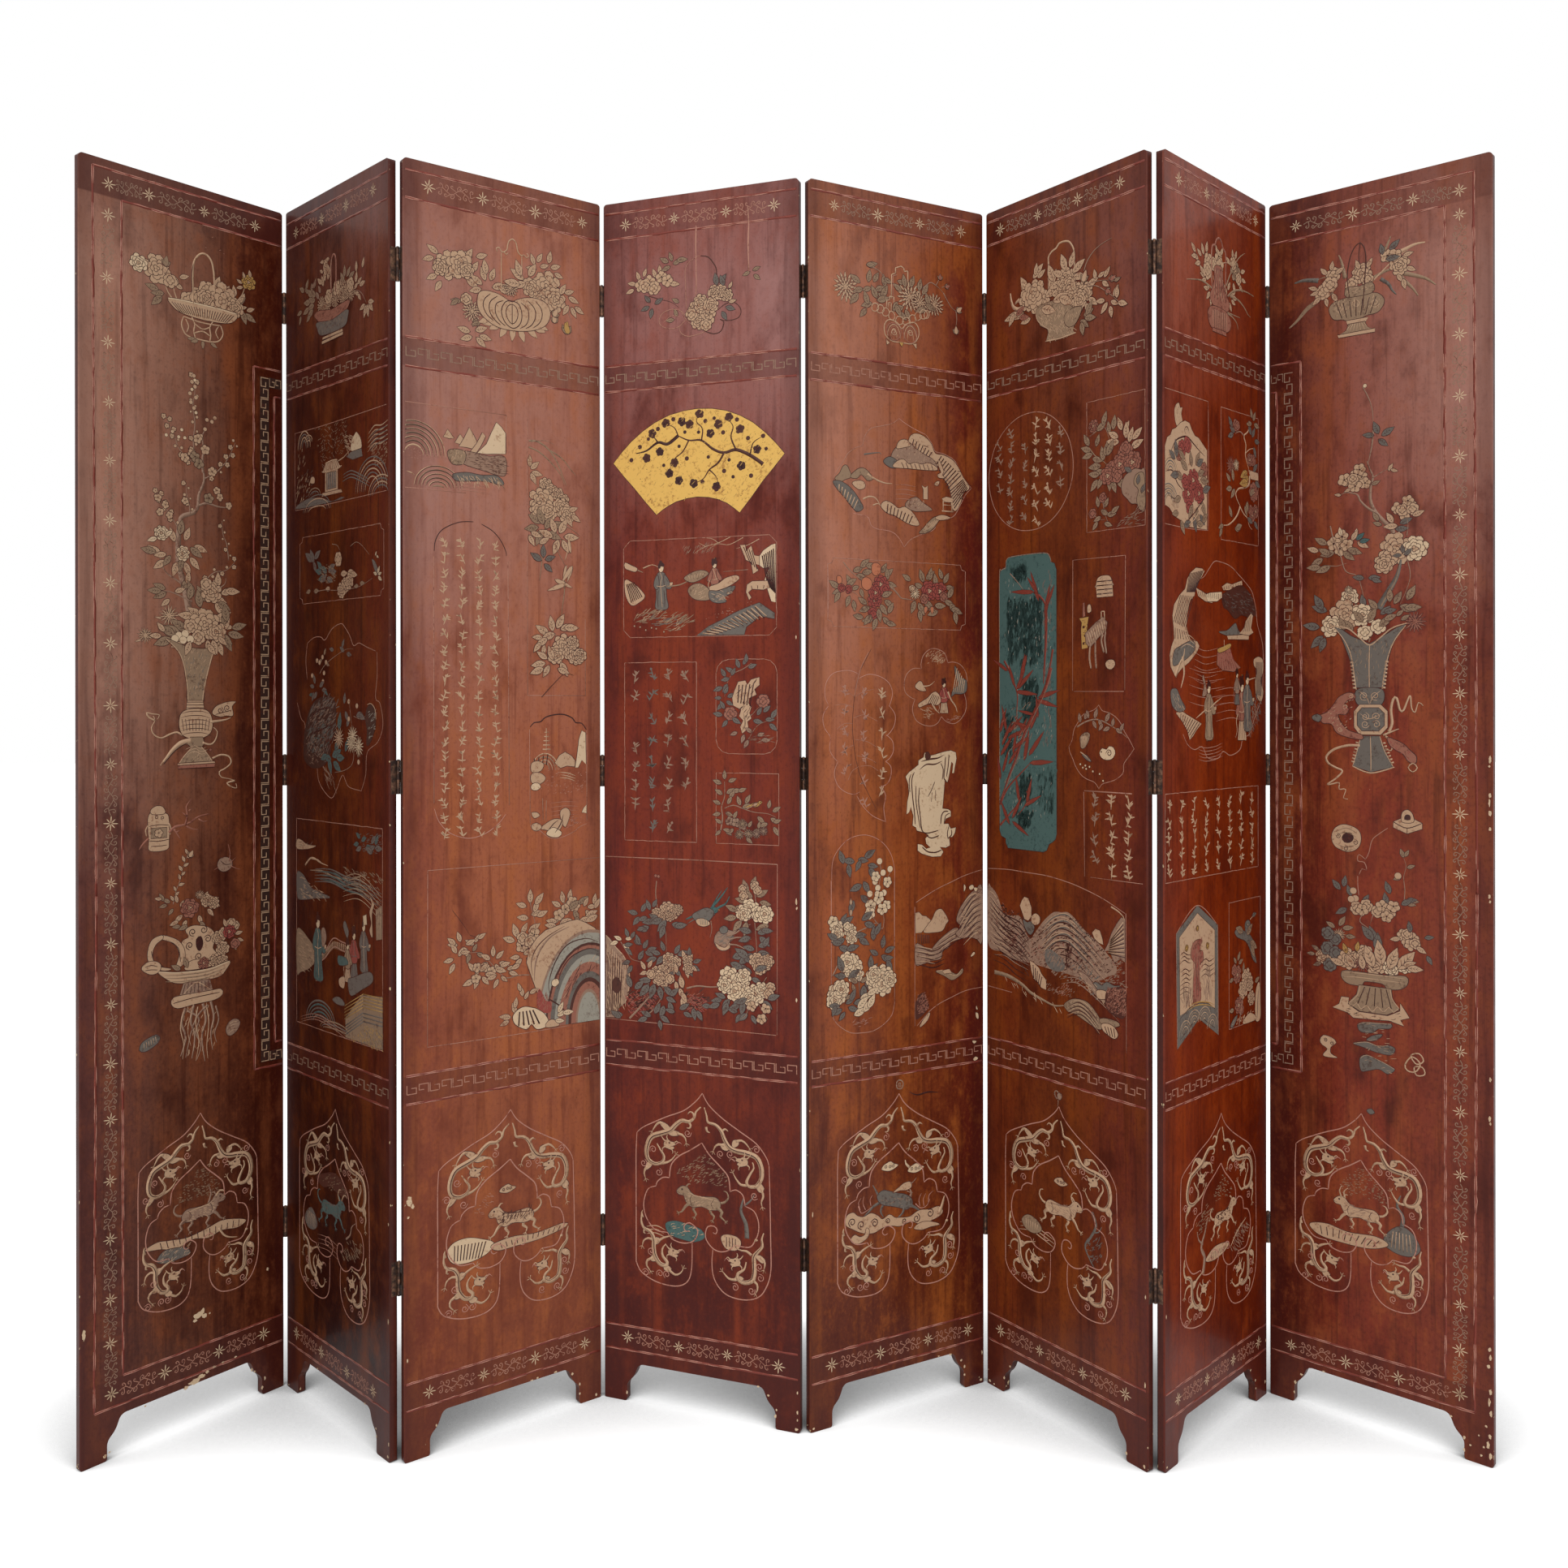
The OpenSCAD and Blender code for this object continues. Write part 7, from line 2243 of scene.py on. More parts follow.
PICTURES[5, "pale rock"] = """
flat bone : 214 1102 222 1094 232 1088 244 1080 244 1072 256 1066 258 1058 266 1056 270 1064 288 1060 306
 1056 320 1054 332 1058 334 1070 330 1086 328 1098 324 1098 326 1080 322 1076 318 1094 314 1110 312 1116 306
 1108 304 1130 302 1150 300 1166 314 1168 320 1172 320 1182 308 1186 304 1196 314 1196 320 1206 332 1204 330
 1214 324 1222 316 1222 318 1238 308 1242 294 1240 302 1250 296 1258 276 1258 262 1254 250 1250 242 1244 242
 1232 252 1234 262 1242 272 1240 262 1232 260 1222 268 1216 256 1210 240 1206 238 1200 230 1196 232 1178 226
 1160 222 1170 216 1174 218 1150 222 1134 220 1116
vein umber 3.4 : 250 1074 270 1070 290 1068 304 1062
vein umber 3 : 246 1090 262 1080 282 1080 300 1074
pen umber 2.4 : 234 1094 228 1110 230 1140 234 1170 236 1194
pen umber 2 : 226 1098 222 1112 224 1132
pen umber 2.4 : 246 1124 244 1150 248 1180 252 1206 264 1212 290 1208
pen umber 2 : 238 1120 238 1150 244 1184 248 1202
pen umber 2.4 : 308 1066 306 1086 304 1108 312 1116
pen umber 2.2 : 316 1062 314 1084 310 1104
pen umber 2 : 296 1078 302 1090 300 1110
pen umber 1.8 : 282 1114 274 1130 266 1142 ; 284 1130 284 1150 ; 276 1134 274 1152
pen umber 2.6 : 296 1196 298 1180 304 1172 314 1172
pen umber 2 : 304 1196 308 1180 318 1176
pen umber 2.4 : 262 1216 274 1222 292 1218
pen umber 2.2 : 322 1208 322 1218 314 1224
pen umber 2.6 : 252 1238 266 1248 284 1250 298 1246
pen umber 2 : 316 1200 312 1214 314 1226
fill umber : 260 1060 266 1056 272 1066 262 1070
"""
PICTURES[5, "blossom in a round-ended frame"] = """
pen blush 1.2 : 48 1290 50 1256 62 1234 84 1216 110 1209 136 1212 162 1226 180 1248 188 1276 188 1300
rule hairline 1.5 : 188 1300 188 1530
rule blush 1.4 : 47 1290 47 1530
pen hairline 1.5 : 188 1530 182 1552 164 1568 140 1578 116 1579 90 1576 66 1562 52 1546 46 1526
leaf slate 26 : 120 1252 30 106 1254 -10 112 1256 240 128 1266 -10 130 1272 -50 98 1258 170 84 1262 -80 74
 1260 110 118 1296 -60 114 1302 200 112 1322 -40 96 1330 250
brush bark 1.4 : 154 1262 158 1280 154 1300 150 1330 152 1350 ; 182 1278 172 1292 166 1310
dots bone 6 : 154 1260 162 1282 178 1276 144 1298 168 1302 150 1310 132 1320 164 1320 130 1338
plum bone 10 : 146 1288 172 1300 170 1344
plum bone 13 : 152 1328
plum bone 12 : 160 1350 134 1342 132 1356
leaf cream 14 : 90 1338 90 90 1346 -90
brush bark 3 : 50 1466 62 1446 76 1424 88 1402 104 1390 128 1382 148 1376 160 1388 164 1370 158 1350
brush bark 1.8 : 148 1376 136 1360 128 1340
leaf slate 26 : 68 1374 60 62 1380 110 74 1372 30 120 1374 -20 114 1368 30
peony bone 15 : 58 1378 60 1392
plum bone 11 : 50 1366
peony bone 14 : 88 1386 92 1398
rose bone 9 : 82 1378
leaf slate 26 : 76 1400 200 70 1408 170 64 1414 -20 80 1420 10 88 1430 -30 100 1396 0 108 1402 -30 60 1400
 150 140 1408 90 144 1398 60
leaf slate 24 : 160 1424 80 166 1432 20 150 1436 150 158 1438 -30 164 1444 0 170 1448 -60
peony bone 22 : 92 1452
peony bone 20 : 100 1466 82 1444
leaf slate 28 : 78 1470 170 72 1460 110 84 1474 30 128 1470 40 134 1462 90 122 1480 -60 118 1490 -90 128 1484
 -70
brush slate 2 : 108 1470 108 1490 110 1512
leaf sage 18 : 104 1484 150 112 1484 30 98 1500 110 94 1506 200
peony bone 24 : 146 1484 162 1478 160 1492
peony bone 17 : 176 1484 140 1472
peony bone 23 : 60 1500
peony bone 18 : 54 1512 68 1492
leaf slate 22 : 78 1520 20 84 1528 -20 70 1530 200 64 1524 170 88 1516 60 96 1522 10 56 1522 250 76 1536 230
leaf bone 30 : 110 1514 10 126 1508 20 96 1544 20 104 1532 40 118 1540 50 128 1534 60
hatch hairline 30 8 20 0.9 : 90 1556 130 1552 120 1566 96 1568
"""
PICTURES[5, "fan of mountains, left half"] = """
pen hairline 1.5 : 237 1344 262 1332 290 1320 320 1310 350 1300 380 1293 396 1290
rule hairline 1.2 : 235 1352 235 1580
pen hairline 1.4 : 240 1580 256 1566 268 1556 290 1544 320 1534 356 1524 396 1521
flat cream : 236 1364 244 1362 252 1370 262 1372 272 1380 262 1392 250 1402 237 1402
fill cream : 256 1402 264 1390 276 1378 284 1364 296 1360 306 1370 314 1384 308 1390 300 1402 280 1404
ribs umber 2 7 : 240 1404 270 1408 240 1424 270 1424
hatch bark 24 6 60 0.9 : 262 1400 284 1366 300 1364 310 1386 298 1400
fill bark : 237 1424 252 1428 268 1436 284 1434 298 1426 318 1428 314 1436 300 1442 296 1456 276 1458 256
 1462 237 1462
waves ridge 1.7 5 8 : 238 1430 256 1434 276 1440 304 1434
waves cream 1.6 4 9 : 240 1428 260 1432 284 1438
fill bark : 276 1436 290 1422 308 1410 328 1400 338 1402 330 1414 350 1420 340 1422 320 1426 300 1430
waves ridge 1.5 3 8 : 288 1430 316 1418 336 1408
waves cream 1.6 3 9 : 290 1422 316 1410 338 1402
fill bark : 334 1386 340 1366 352 1350 366 1336 380 1328 396 1326 396 1430 384 1426 366 1420 344 1420 332
 1410 346 1398
waves cream 1.7 4 12 : 340 1386 356 1364 374 1346 394 1338
waves cream 1.7 3 12 : 352 1410 368 1398 384 1388 394 1384
waves ridge 1.8 4 12 : 340 1380 356 1358 374 1340 394 1332
waves ridge 1.8 3 12 : 350 1404 366 1392 382 1382 394 1378
vein cream 2.4 : 352 1352 366 1340 380 1336 394 1340
hatch cream 40 14 30 1.2 : 340 1370 394 1332 396 1420 344 1410
fill sage : 284 1480 300 1480 320 1484 334 1490 348 1480 348 1488 336 1496 322 1500 304 1490
pen cream 1.4 : 286 1479 306 1480 318 1488 334 1492 348 1480
flat cream : 300 1480 316 1478 322 1486 304 1486
bare umber : 236 1538 244 1522 256 1518 262 1532 268 1546 254 1560 240 1568 236 1562
hatch rose 130 5 40 1.4 : 238 1520 256 1518 268 1548 240 1562
hatch hairline 60 3 30 0.9 : 237 1530 256 1518 268 1548 240 1566
fill cream : 246 1582 254 1570 266 1558 270 1560 264 1572 252 1581
fill bone : 364 1322 372 1318 376 1324 368 1328 ; 376 1324 386 1326 380 1332 ; 369 1456 376 1450 378 1454 370
 1459 ; 382 1556 385 1564 381 1562 ; 380 1570 386 1572 387 1582 382 1580 ; 372 1624 382 1626 376 1630 ; 374
 1660 380 1656 386 1660 378 1664 ; 352 1316 356 1322 352 1330
ring bark 2.6 : 192 1686 196 1679 204 1680 208 1687 204 1695 195 1694
curl bark 1.6 5 : 200 1687
vein ridge 2.4 : 222 1704 240 1712 266 1710 290 1714
"""
PICTURES[6, "full flower basket"] = """
leaf cream 34 : 128 158 40 120 190 130 112 176 120
leaf cream 26 : 134 154 80 140 160 30
brush cream 10 : 110 206 90 208 76 200 70 186 68 172
brush cream 9 : 122 190 112 172 102 164 96 166
brush cream 10 : 104 196 90 190 80 196
peony cream 26 : 118 194 144 206
peony cream 30 : 130 188
leaf cream 26 : 104 216 200 92 218 170 74 218 190 78 212 240 112 228 160 122 232 190
leaf rose 24 : 84 218 30 92 224 -10
pen cream 3.4 : 168 220 168 180 168 140 168 128 176 120 188 116 194 110 206 109 218 112 224 118 230 128 232
 140 233 180 234 204
leaf cream 36 : 170 186 60 180 176 110 160 200 20 176 200 0
peony cream 22 : 212 180
leaf cream 32 : 204 172 150 212 164 110 222 162 70 228 172 30 230 180 -10 200 182 190
peony cream 18 : 206 190 222 196
peony cream 22 : 240 214 224 214
peony cream 20 : 258 216 246 226
leaf cream 26 : 268 228 -40 260 236 -60 232 206 100 250 200 60 264 206 20
brush bark 2 : 256 176 264 160 280 146 300 138 322 134
bud cream 22 : 254 196 70
brush bark 2 : 262 202 280 202 300 204 316 208 ; 262 206 284 210 306 224 330 244 350 264
leaf cream 20 : 284 198 100 290 196 20 300 206 -40 314 204 -10 304 200 50
bud rose 14 : 318 208 20 308 224 -30
leaf sage 16 : 328 212 10
leaf cream 22 : 306 242 170 312 246 230 318 254 -80 320 246 -30 326 240 60 336 252 -20 334 244 90
flat sage : 136 220 150 214 178 212 208 216 228 236 248 238 252 246 242 256 234 268 228 276 234 284 162 284
 168 270 166 262 148 252 138 236
hatch cream 130 9 60 1 : 138 222 160 214 210 218 230 238 250 242 232 270 232 282 164 282 168 262 144 250
hatch cream 130 9 -60 1 : 138 222 160 214 210 218 230 238 250 242 232 270 232 282 164 282 168 262 144 250
fill sage : 214 242 232 238 250 240 246 254 234 268 220 270 210 262 208 250
hatch cream 30 8 60 0.9 : 214 242 248 240 234 268 212 262
pen cream 2.4 : 160 284 196 286 236 284
pen cream 1.6 : 134 218 140 240 158 256 170 264
leaf cream 40 : 150 220 -20 180 214 10 196 210 -30
leaf sage 26 : 248 264 -40 256 258 20 250 268 -80 258 262 -10 262 258 60
"""
PICTURES[6, "sprigs in an oval, and a flowering rock"] = """
ring hairline 1.5 : 118 411 146 414 174 426 198 446 216 470 226 498 229 524 226 552 214 580 196 604 172 622
 144 632 116 634 88 630 60 618 38 600 22 578 12 552 8 524 12 496 22 468 38 446 60 428 88 415
sprigs bark 25 : 38 464 0 27 1 4
sprigs bark 26 : 68 444 0 28 1 7
sprigs bark 24 : 106 480 0 32 1 5
sprigs cream 27 : 135 434 0 31 1 7 ; 168 440 0 30 1 6
sprigs bark 26 : 198 462 0 30 1 4
box hairline 1.2 plain 0 : 262 417 396 653
peony rose 12 : 278 462
brush bark 1.6 : 268 480 282 474 296 468 306 470 314 488 322 504
leaf sage 24 : 286 472 30 300 464 70 268 496 120 272 506 160 276 512 190 284 500 70 276 520 -20 316 480 100
 324 476 80
leaf cream 28 : 344 480 110 348 488 60 354 496 90 338 500 170 360 504 70 368 500 40 364 514 20 336 492 150
brush sage 2 : 268 500 282 516 300 528 314 540
leaf sage 28 : 302 528 100 296 536 180 300 544 200 292 552 170 306 520 80 288 560 230 300 556 240 316 560 270
 322 566 -70 334 560 -60 310 520 60
peony rose 18 : 322 548 312 556
peony rose 24 : 354 530
peony rose 20 : 340 540 368 540
rose rose 12 : 334 560 352 512
fill bark : 344 576 352 562 364 556 374 552 388 556 396 558 396 624 384 624 378 614 366 612 356 602 346 592
fill sage : 376 564 392 562 396 590 396 620 386 626 378 608 382 590 372 578
leaf slate 18 : 380 580 80 388 596 60 384 608 -40 366 556 150
rose rose 9 : 300 594 276 620
brush bark 1.4 : 300 600 304 620 312 640
brush bark 1.2 : 280 624 292 632 306 634
leaf sage 20 : 290 610 100 304 612 60 296 616 -30 296 628 200 310 626 0 320 624 30 288 636 230 304 640 -20
hatch bark 50 14 20 0.9 : 330 640 396 618 396 648 330 650
"""
PICTURES[6, "teal panel of bamboo"] = """
flat teal : 54 700 54 690 60 682 70 679 154 679 166 684 172 692 172 698 182 702 187 714 187 1206 184 1216 176
 1222 168 1226 162 1238 154 1242 60 1242 54 1232 54 1224 42 1220 37 1208 37 720 40 706 48 700
pen bark 1.6 : 38 1206 37 1100 37 900 37 720 42 704 54 700 56 686 72 680 154 680 170 688 174 700
hatch pine 430 24 88 6 : 58 776 150 776 152 890 120 900 60 896
hatch pine 90 18 84 6 : 66 712 110 710 106 734 78 738
hatch pine 190 22 75 6 : 96 926 140 926 134 1000 100 1010
hatch pine 110 20 70 5 : 46 990 70 1000 72 1070 46 1080
hatch pine 120 18 80 6 : 90 1106 122 1106 118 1164 92 1160
hatch pine 100 18 60 6 : 76 1178 122 1178 112 1208 84 1206
hatch pine 110 18 80 5 : 134 1100 182 1096 178 1180 140 1176
hatch slate 90 13 84 2.6 : 152 720 174 720 176 1060 156 1050
hatch mist 130 7 84 1.1 : 50 716 176 716 176 1190 50 1190
brush bark 2 : 66 712 84 728 98 742 106 752
brush cinnabar 5 : 130 752 146 762 158 776 160 800 158 830
brush cinnabar 9 : 172 896 166 920 150 950 130 980 110 1010 94 1040 84 1064 64 1100 50 1130 38 1154
brush cinnabar 8 : 160 780 161 820 160 850 156 900 154 926
brush cinnabar 5 : 178 862 170 896 160 922
brush cinnabar 4.6 : 50 880 64 900 80 930 86 950 84 980 88 1010 ; 38 1200 56 1184 76 1166 92 1150
brush cinnabar 5 : 38 1160 56 1130 80 1108 100 1092 120 1076
brush cinnabar 3.6 : 110 1130 116 1144 104 1160 88 1176
ovals cinnabar 62 10 : 130 752 176 142 770 110 158 800 78
ovals cinnabar 44 8 : 140 756 130 160 830 88 162 780 62
ovals cinnabar 58 10 : 94 924 78 84 936 40 82 940 -6 110 870 250 140 952 14 136 956 -14
ovals cinnabar 46 8 : 60 900 150 78 930 110 84 936 60
ovals cinnabar 62 11 : 104 1072 78 116 1062 50 118 1076 4
ovals cinnabar 52 9 : 38 1020 70 56 1016 104 60 1020 40 44 1044 60 60 1030 20 74 1050 30 40 1064 50
ovals cinnabar 46 8 : 46 1096 70 62 1080 50 40 1110 100 74 1060 78 88 1030 60 96 1018 34
ovals cinnabar 50 9 : 90 1150 100 110 1152 74 104 1158 26 72 1184 60 72 1190 -30 64 1196 118
ovals cinnabar 44 7 : 140 990 96 120 1012 60 106 1020 130 130 984 170 112 1006 170
hatch bark 60 14 50 1 : 40 980 130 960 120 1060 50 1140
pen bark 1 : 176 900 168 922 154 950 134 980 114 1012 98 1042 ; 52 1130 68 1100 88 1066
"""
PICTURES[6, "small treasures, fruit and sprigs"] = """
rule hairline 1 : 228 700 352 702
rule hairline 1.1 : 228 700 227 940
rule hairline 1.2 : 352 702 350 940 ; 230 941 348 942
fill cream : 284 750 288 738 300 734 316 736 322 748 322 754 284 754
flat cream : 284 752 322 752 324 772 286 772
ribs ridge 1.4 4 : 286 740 286 770 322 740 322 770
hatch bark 26 8 0 0.9 : 288 738 320 738 320 770 288 770
flat rose : 253 780 256 780 258 804 252 806
fill cream : 264 786 270 784 272 796 264 798
flat ochre : 244 808 266 806 264 816 262 830 264 862 250 864 248 830 250 816
dots umber 2 : 254 824 258 840 254 854
hatch umber 24 4 20 1 : 248 812 264 812 262 860 250 860
flat bark : 258 836 282 818 300 808 310 818 308 830 290 844 270 862 260 854
ribs cream 2.2 9 : 260 838 304 812 268 858 308 832
rule cream 2 : 296 812 296 798 303 798 304 812
pen bark 4 : 270 856 268 880 272 900 ; 282 850 282 876 284 900 ; 300 836 296 850 302 872 ; 306 834 304 850
 308 874
pen cream 1 : 269 860 267 880 271 900 ; 301 840 297 852 303 870
fill cream : 306 892 312 886 324 886 328 894 320 902 310 900
hatch bark 12 5 20 0.9 : 308 888 326 888 324 898 310 898
pen hairline 1.4 : 290 966 298 976 314 980 330 988 342 1000 350 1014 358 1024 371 1043 ; 371 1043 360 1056
 348 1070 346 1086 330 1098 312 1104 298 1108 290 1117
pen hairline 1.3 : 290 1117 280 1106 260 1100 246 1092 234 1078 228 1066 220 1052 218 1042 ; 218 1042 226
 1030 230 1012 240 998 252 984 268 978 280 974 290 966
brush bark 3 : 238 1006 260 996 286 992 312 1000 340 1014 356 1024
leaf bark 18 : 246 998 100 256 992 60 266 990 110 280 990 70 290 992 -60 300 1000 230 306 996 60 322 1004 80
 330 1008 -30 340 1012 60 276 994 -60 316 1006 200
fill sage : 246 1036 246 1024 258 1016 268 1018 266 1030 256 1044 248 1044
ribs cream 1.4 5 : 248 1024 264 1020 248 1042 258 1042
fill slate : 250 1056 262 1058 272 1068 262 1066
brush cream 2 : 246 1052 258 1058 270 1068
fill bone : 292 1052 298 1044 308 1046 314 1040 324 1042 328 1052 320 1062 306 1064 296 1060
curl ridge 1.2 7 : 314 1052
dots ridge 1 : 296 1050
dots bone 1.8 : 246 1074 252 1080 260 1082 268 1078 276 1086 292 1090 300 1102 258 1076
rule hairline 2 : 255 1122 366 1122
rule hairline 1.1 : 254 1124 256 1278 ; 270 1278 390 1278
sprigs bark 29 : 280 1140 0 34 1 4
sprigs cream 29 : 320 1140 0 31 1 5 ; 358 1140 0 31 1 5
"""
PICTURES[6, "fan of mountains, right half"] = """
pen hairline 1.6 : 4 1287 60 1284 110 1285 160 1286 210 1292 250 1300 300 1314 350 1334
rule hairline 1.3 : 352 1334 353 1580
pen hairline 1.3 : 4 1518 40 1519 70 1520
bare bark : 4 1324 12 1322 24 1330 32 1340 40 1356 48 1370 70 1372 90 1370 100 1384 108 1400 120 1410 130
 1398 146 1380 160 1366 180 1352 200 1350 214 1348 230 1356 250 1372 270 1384 290 1396 310 1412 330 1430 328
 1444 310 1452 296 1460 270 1466 236 1464 214 1462 180 1460 150 1458 120 1456 80 1456 60 1452 40 1446 4 1432
hatch umber 700 8 30 1.9 : 30 1352 110 1376 124 1408 190 1352 232 1360 330 1430 290 1460 120 1456 60 1450 40
 1400
hatch rose 300 6 -50 1.4 : 20 1340 110 1376 124 1408 190 1352 232 1360 330 1430 290 1460 120 1456 60 1450 20
 1400
waves ridge 1.8 7 13 : 20 1350 50 1372 90 1382 118 1404
waves cream 1.6 5 14 : 150 1392 190 1360 240 1372 310 1422
waves cream 1.6 5 10 : 6 1330 16 1334 30 1346 44 1364
waves cream 1.3 5 9 : 8 1390 30 1400 50 1404 70 1416
waves slate 2.6 5 12 : 150 1386 180 1362 214 1354 250 1378 280 1392
waves cream 1.3 5 12 : 148 1384 180 1360 214 1352 252 1376
waves ridge 1.6 6 10 : 10 1342 40 1366 84 1388 118 1412
waves ridge 1.6 6 12 : 156 1400 192 1370 236 1378 300 1424
waves ridge 1.4 5 11 : 20 1420 50 1426 80 1440 110 1448
waves bark 1.8 3 9 : 24 1436 50 1434 80 1444 116 1452
fill slate : 100 1376 112 1380 122 1376 130 1388 120 1402 108 1394
hatch bark 430 8 25 1.6 : 150 1440 232 1424 340 1420 350 1470 300 1500 240 1480 176 1470
hatch slate 160 9 40 1.6 : 190 1440 260 1440 340 1500 280 1500
waves bark 2 4 9 : 196 1456 236 1448 276 1464 336 1500
bare slate : 158 1430 168 1422 186 1428 204 1438 206 1454 188 1462 170 1458 158 1446
hatch bark 60 10 60 1.4 : 160 1424 204 1440 200 1458 164 1454
hatch umber 60 8 80 2 : 206 1410 224 1410 222 1456 208 1456
flat cream : 92 1350 98 1338 104 1332 114 1334 122 1350 122 1368 114 1376 104 1374 98 1362
fill cream : 124 1366 134 1360 144 1366 142 1378 130 1382 122 1376
flat cream : 274 1378 282 1370 292 1372 298 1386 300 1396 290 1394 280 1388
flat bark : 302 1408 312 1392 320 1372 332 1354 342 1342 350 1344 350 1420 340 1416 326 1424 314 1404
ribs cream 1.6 8 : 346 1346 350 1410 316 1384 310 1410
ribs ridge 1.3 8 : 346 1350 350 1416 318 1384 312 1412
brush cream 3 : 318 1326 334 1332 346 1340 350 1348
flat cream : 118 1452 128 1454 142 1462 148 1472 160 1482 160 1500 148 1498 138 1488 128 1484 122 1470
ribs ridge 1.6 5 : 124 1456 152 1480 126 1482 146 1498
hatch bark 110 5 40 1 : 150 1480 190 1496 220 1484 232 1490 220 1504 190 1508 164 1502
hatch hairline 60 6 50 0.9 : 170 1500 214 1480 224 1500 190 1508
brush sage 8 : 22 1488 60 1490 96 1500 120 1512 150 1520 180 1526 204 1522
hatch cream 60 12 -50 1.2 : 24 1486 100 1496 160 1518 204 1516 200 1530 120 1520 60 1498
fill sage : 206 1520 222 1508 240 1504 262 1506 280 1518 292 1532 296 1548 280 1548 256 1540 232 1532 214
 1530
waves ridge 1.5 4 7 : 214 1522 240 1510 266 1518 290 1540
waves cream 1.4 4 7 : 214 1518 240 1506 266 1514 290 1536
fill slate : 270 1476 282 1466 296 1470 308 1462 326 1466 338 1464 330 1476 312 1480 306 1490 292 1490 282
 1480
fill bark : 240 1452 262 1458 284 1478 296 1486 306 1500 288 1494 268 1478 250 1464
hatch cream 60 12 -40 1.4 : 236 1450 300 1478 320 1470 300 1500 260 1478
fill cream : 284 1482 300 1478 318 1484 306 1492 288 1494
bare umber : 312 1474 350 1468 350 1516 330 1520 310 1512 304 1496
hatch rose 240 6 60 1.5 : 308 1474 350 1468 350 1516 306 1512
hatch hairline 120 3.4 30 1 : 306 1478 350 1466 350 1516 318 1516
fill sage : 290 1534 300 1528 330 1528 338 1534 322 1540 302 1540
fill cream : 296 1540 310 1536 326 1540 334 1552 326 1560 312 1556 300 1550
ribs ridge 1.4 4 : 300 1542 328 1542 308 1556 330 1558
ring bark 2.6 : 181 1690 184 1684 190 1686 192 1694 186 1698
fill bark : 188 1690 194 1686 200 1690 196 1698 190 1698
brush bark 1.6 : 190 1700 190 1708 188 1714
"""
SKETCHES["beast"] = """
brush robe 6 : -40 -8 -56 -12 -66 -24 -62 -36 -54 -38
limb robe 8 : 16 2 24 14 16 24 20 32 ; -24 4 -20 16 -30 24 -26 34
fill robe : -46 -8 -34 -20 -8 -19 14 -18 30 -26 38 -36 50 -38 60 -32 66 -24 60 -17 48 -16 42 -2 26 9 2 5 -22
 10 -42 6
limb robe 8 : 32 0 44 10 52 22 60 26
limb robe 9 : -36 2 -50 12 -46 22 -58 32
hatch trim 60 7 -20 1.1 : -42 -14 -8 -19 30 -26 44 -16 30 4 -30 8
vein trim 2.4 : -40 -12 -10 -16 24 -20 40 -30
brush robe 4 : 42 -36 36 -44 30 -44
pen ridge 1.1 : 66 -23 58 -21
pen ridge 1 : 26 -20 32 -8 28 4 ; -30 -16 -22 -4 -28 6
dots ridge 1.5 : 52 -30
"""
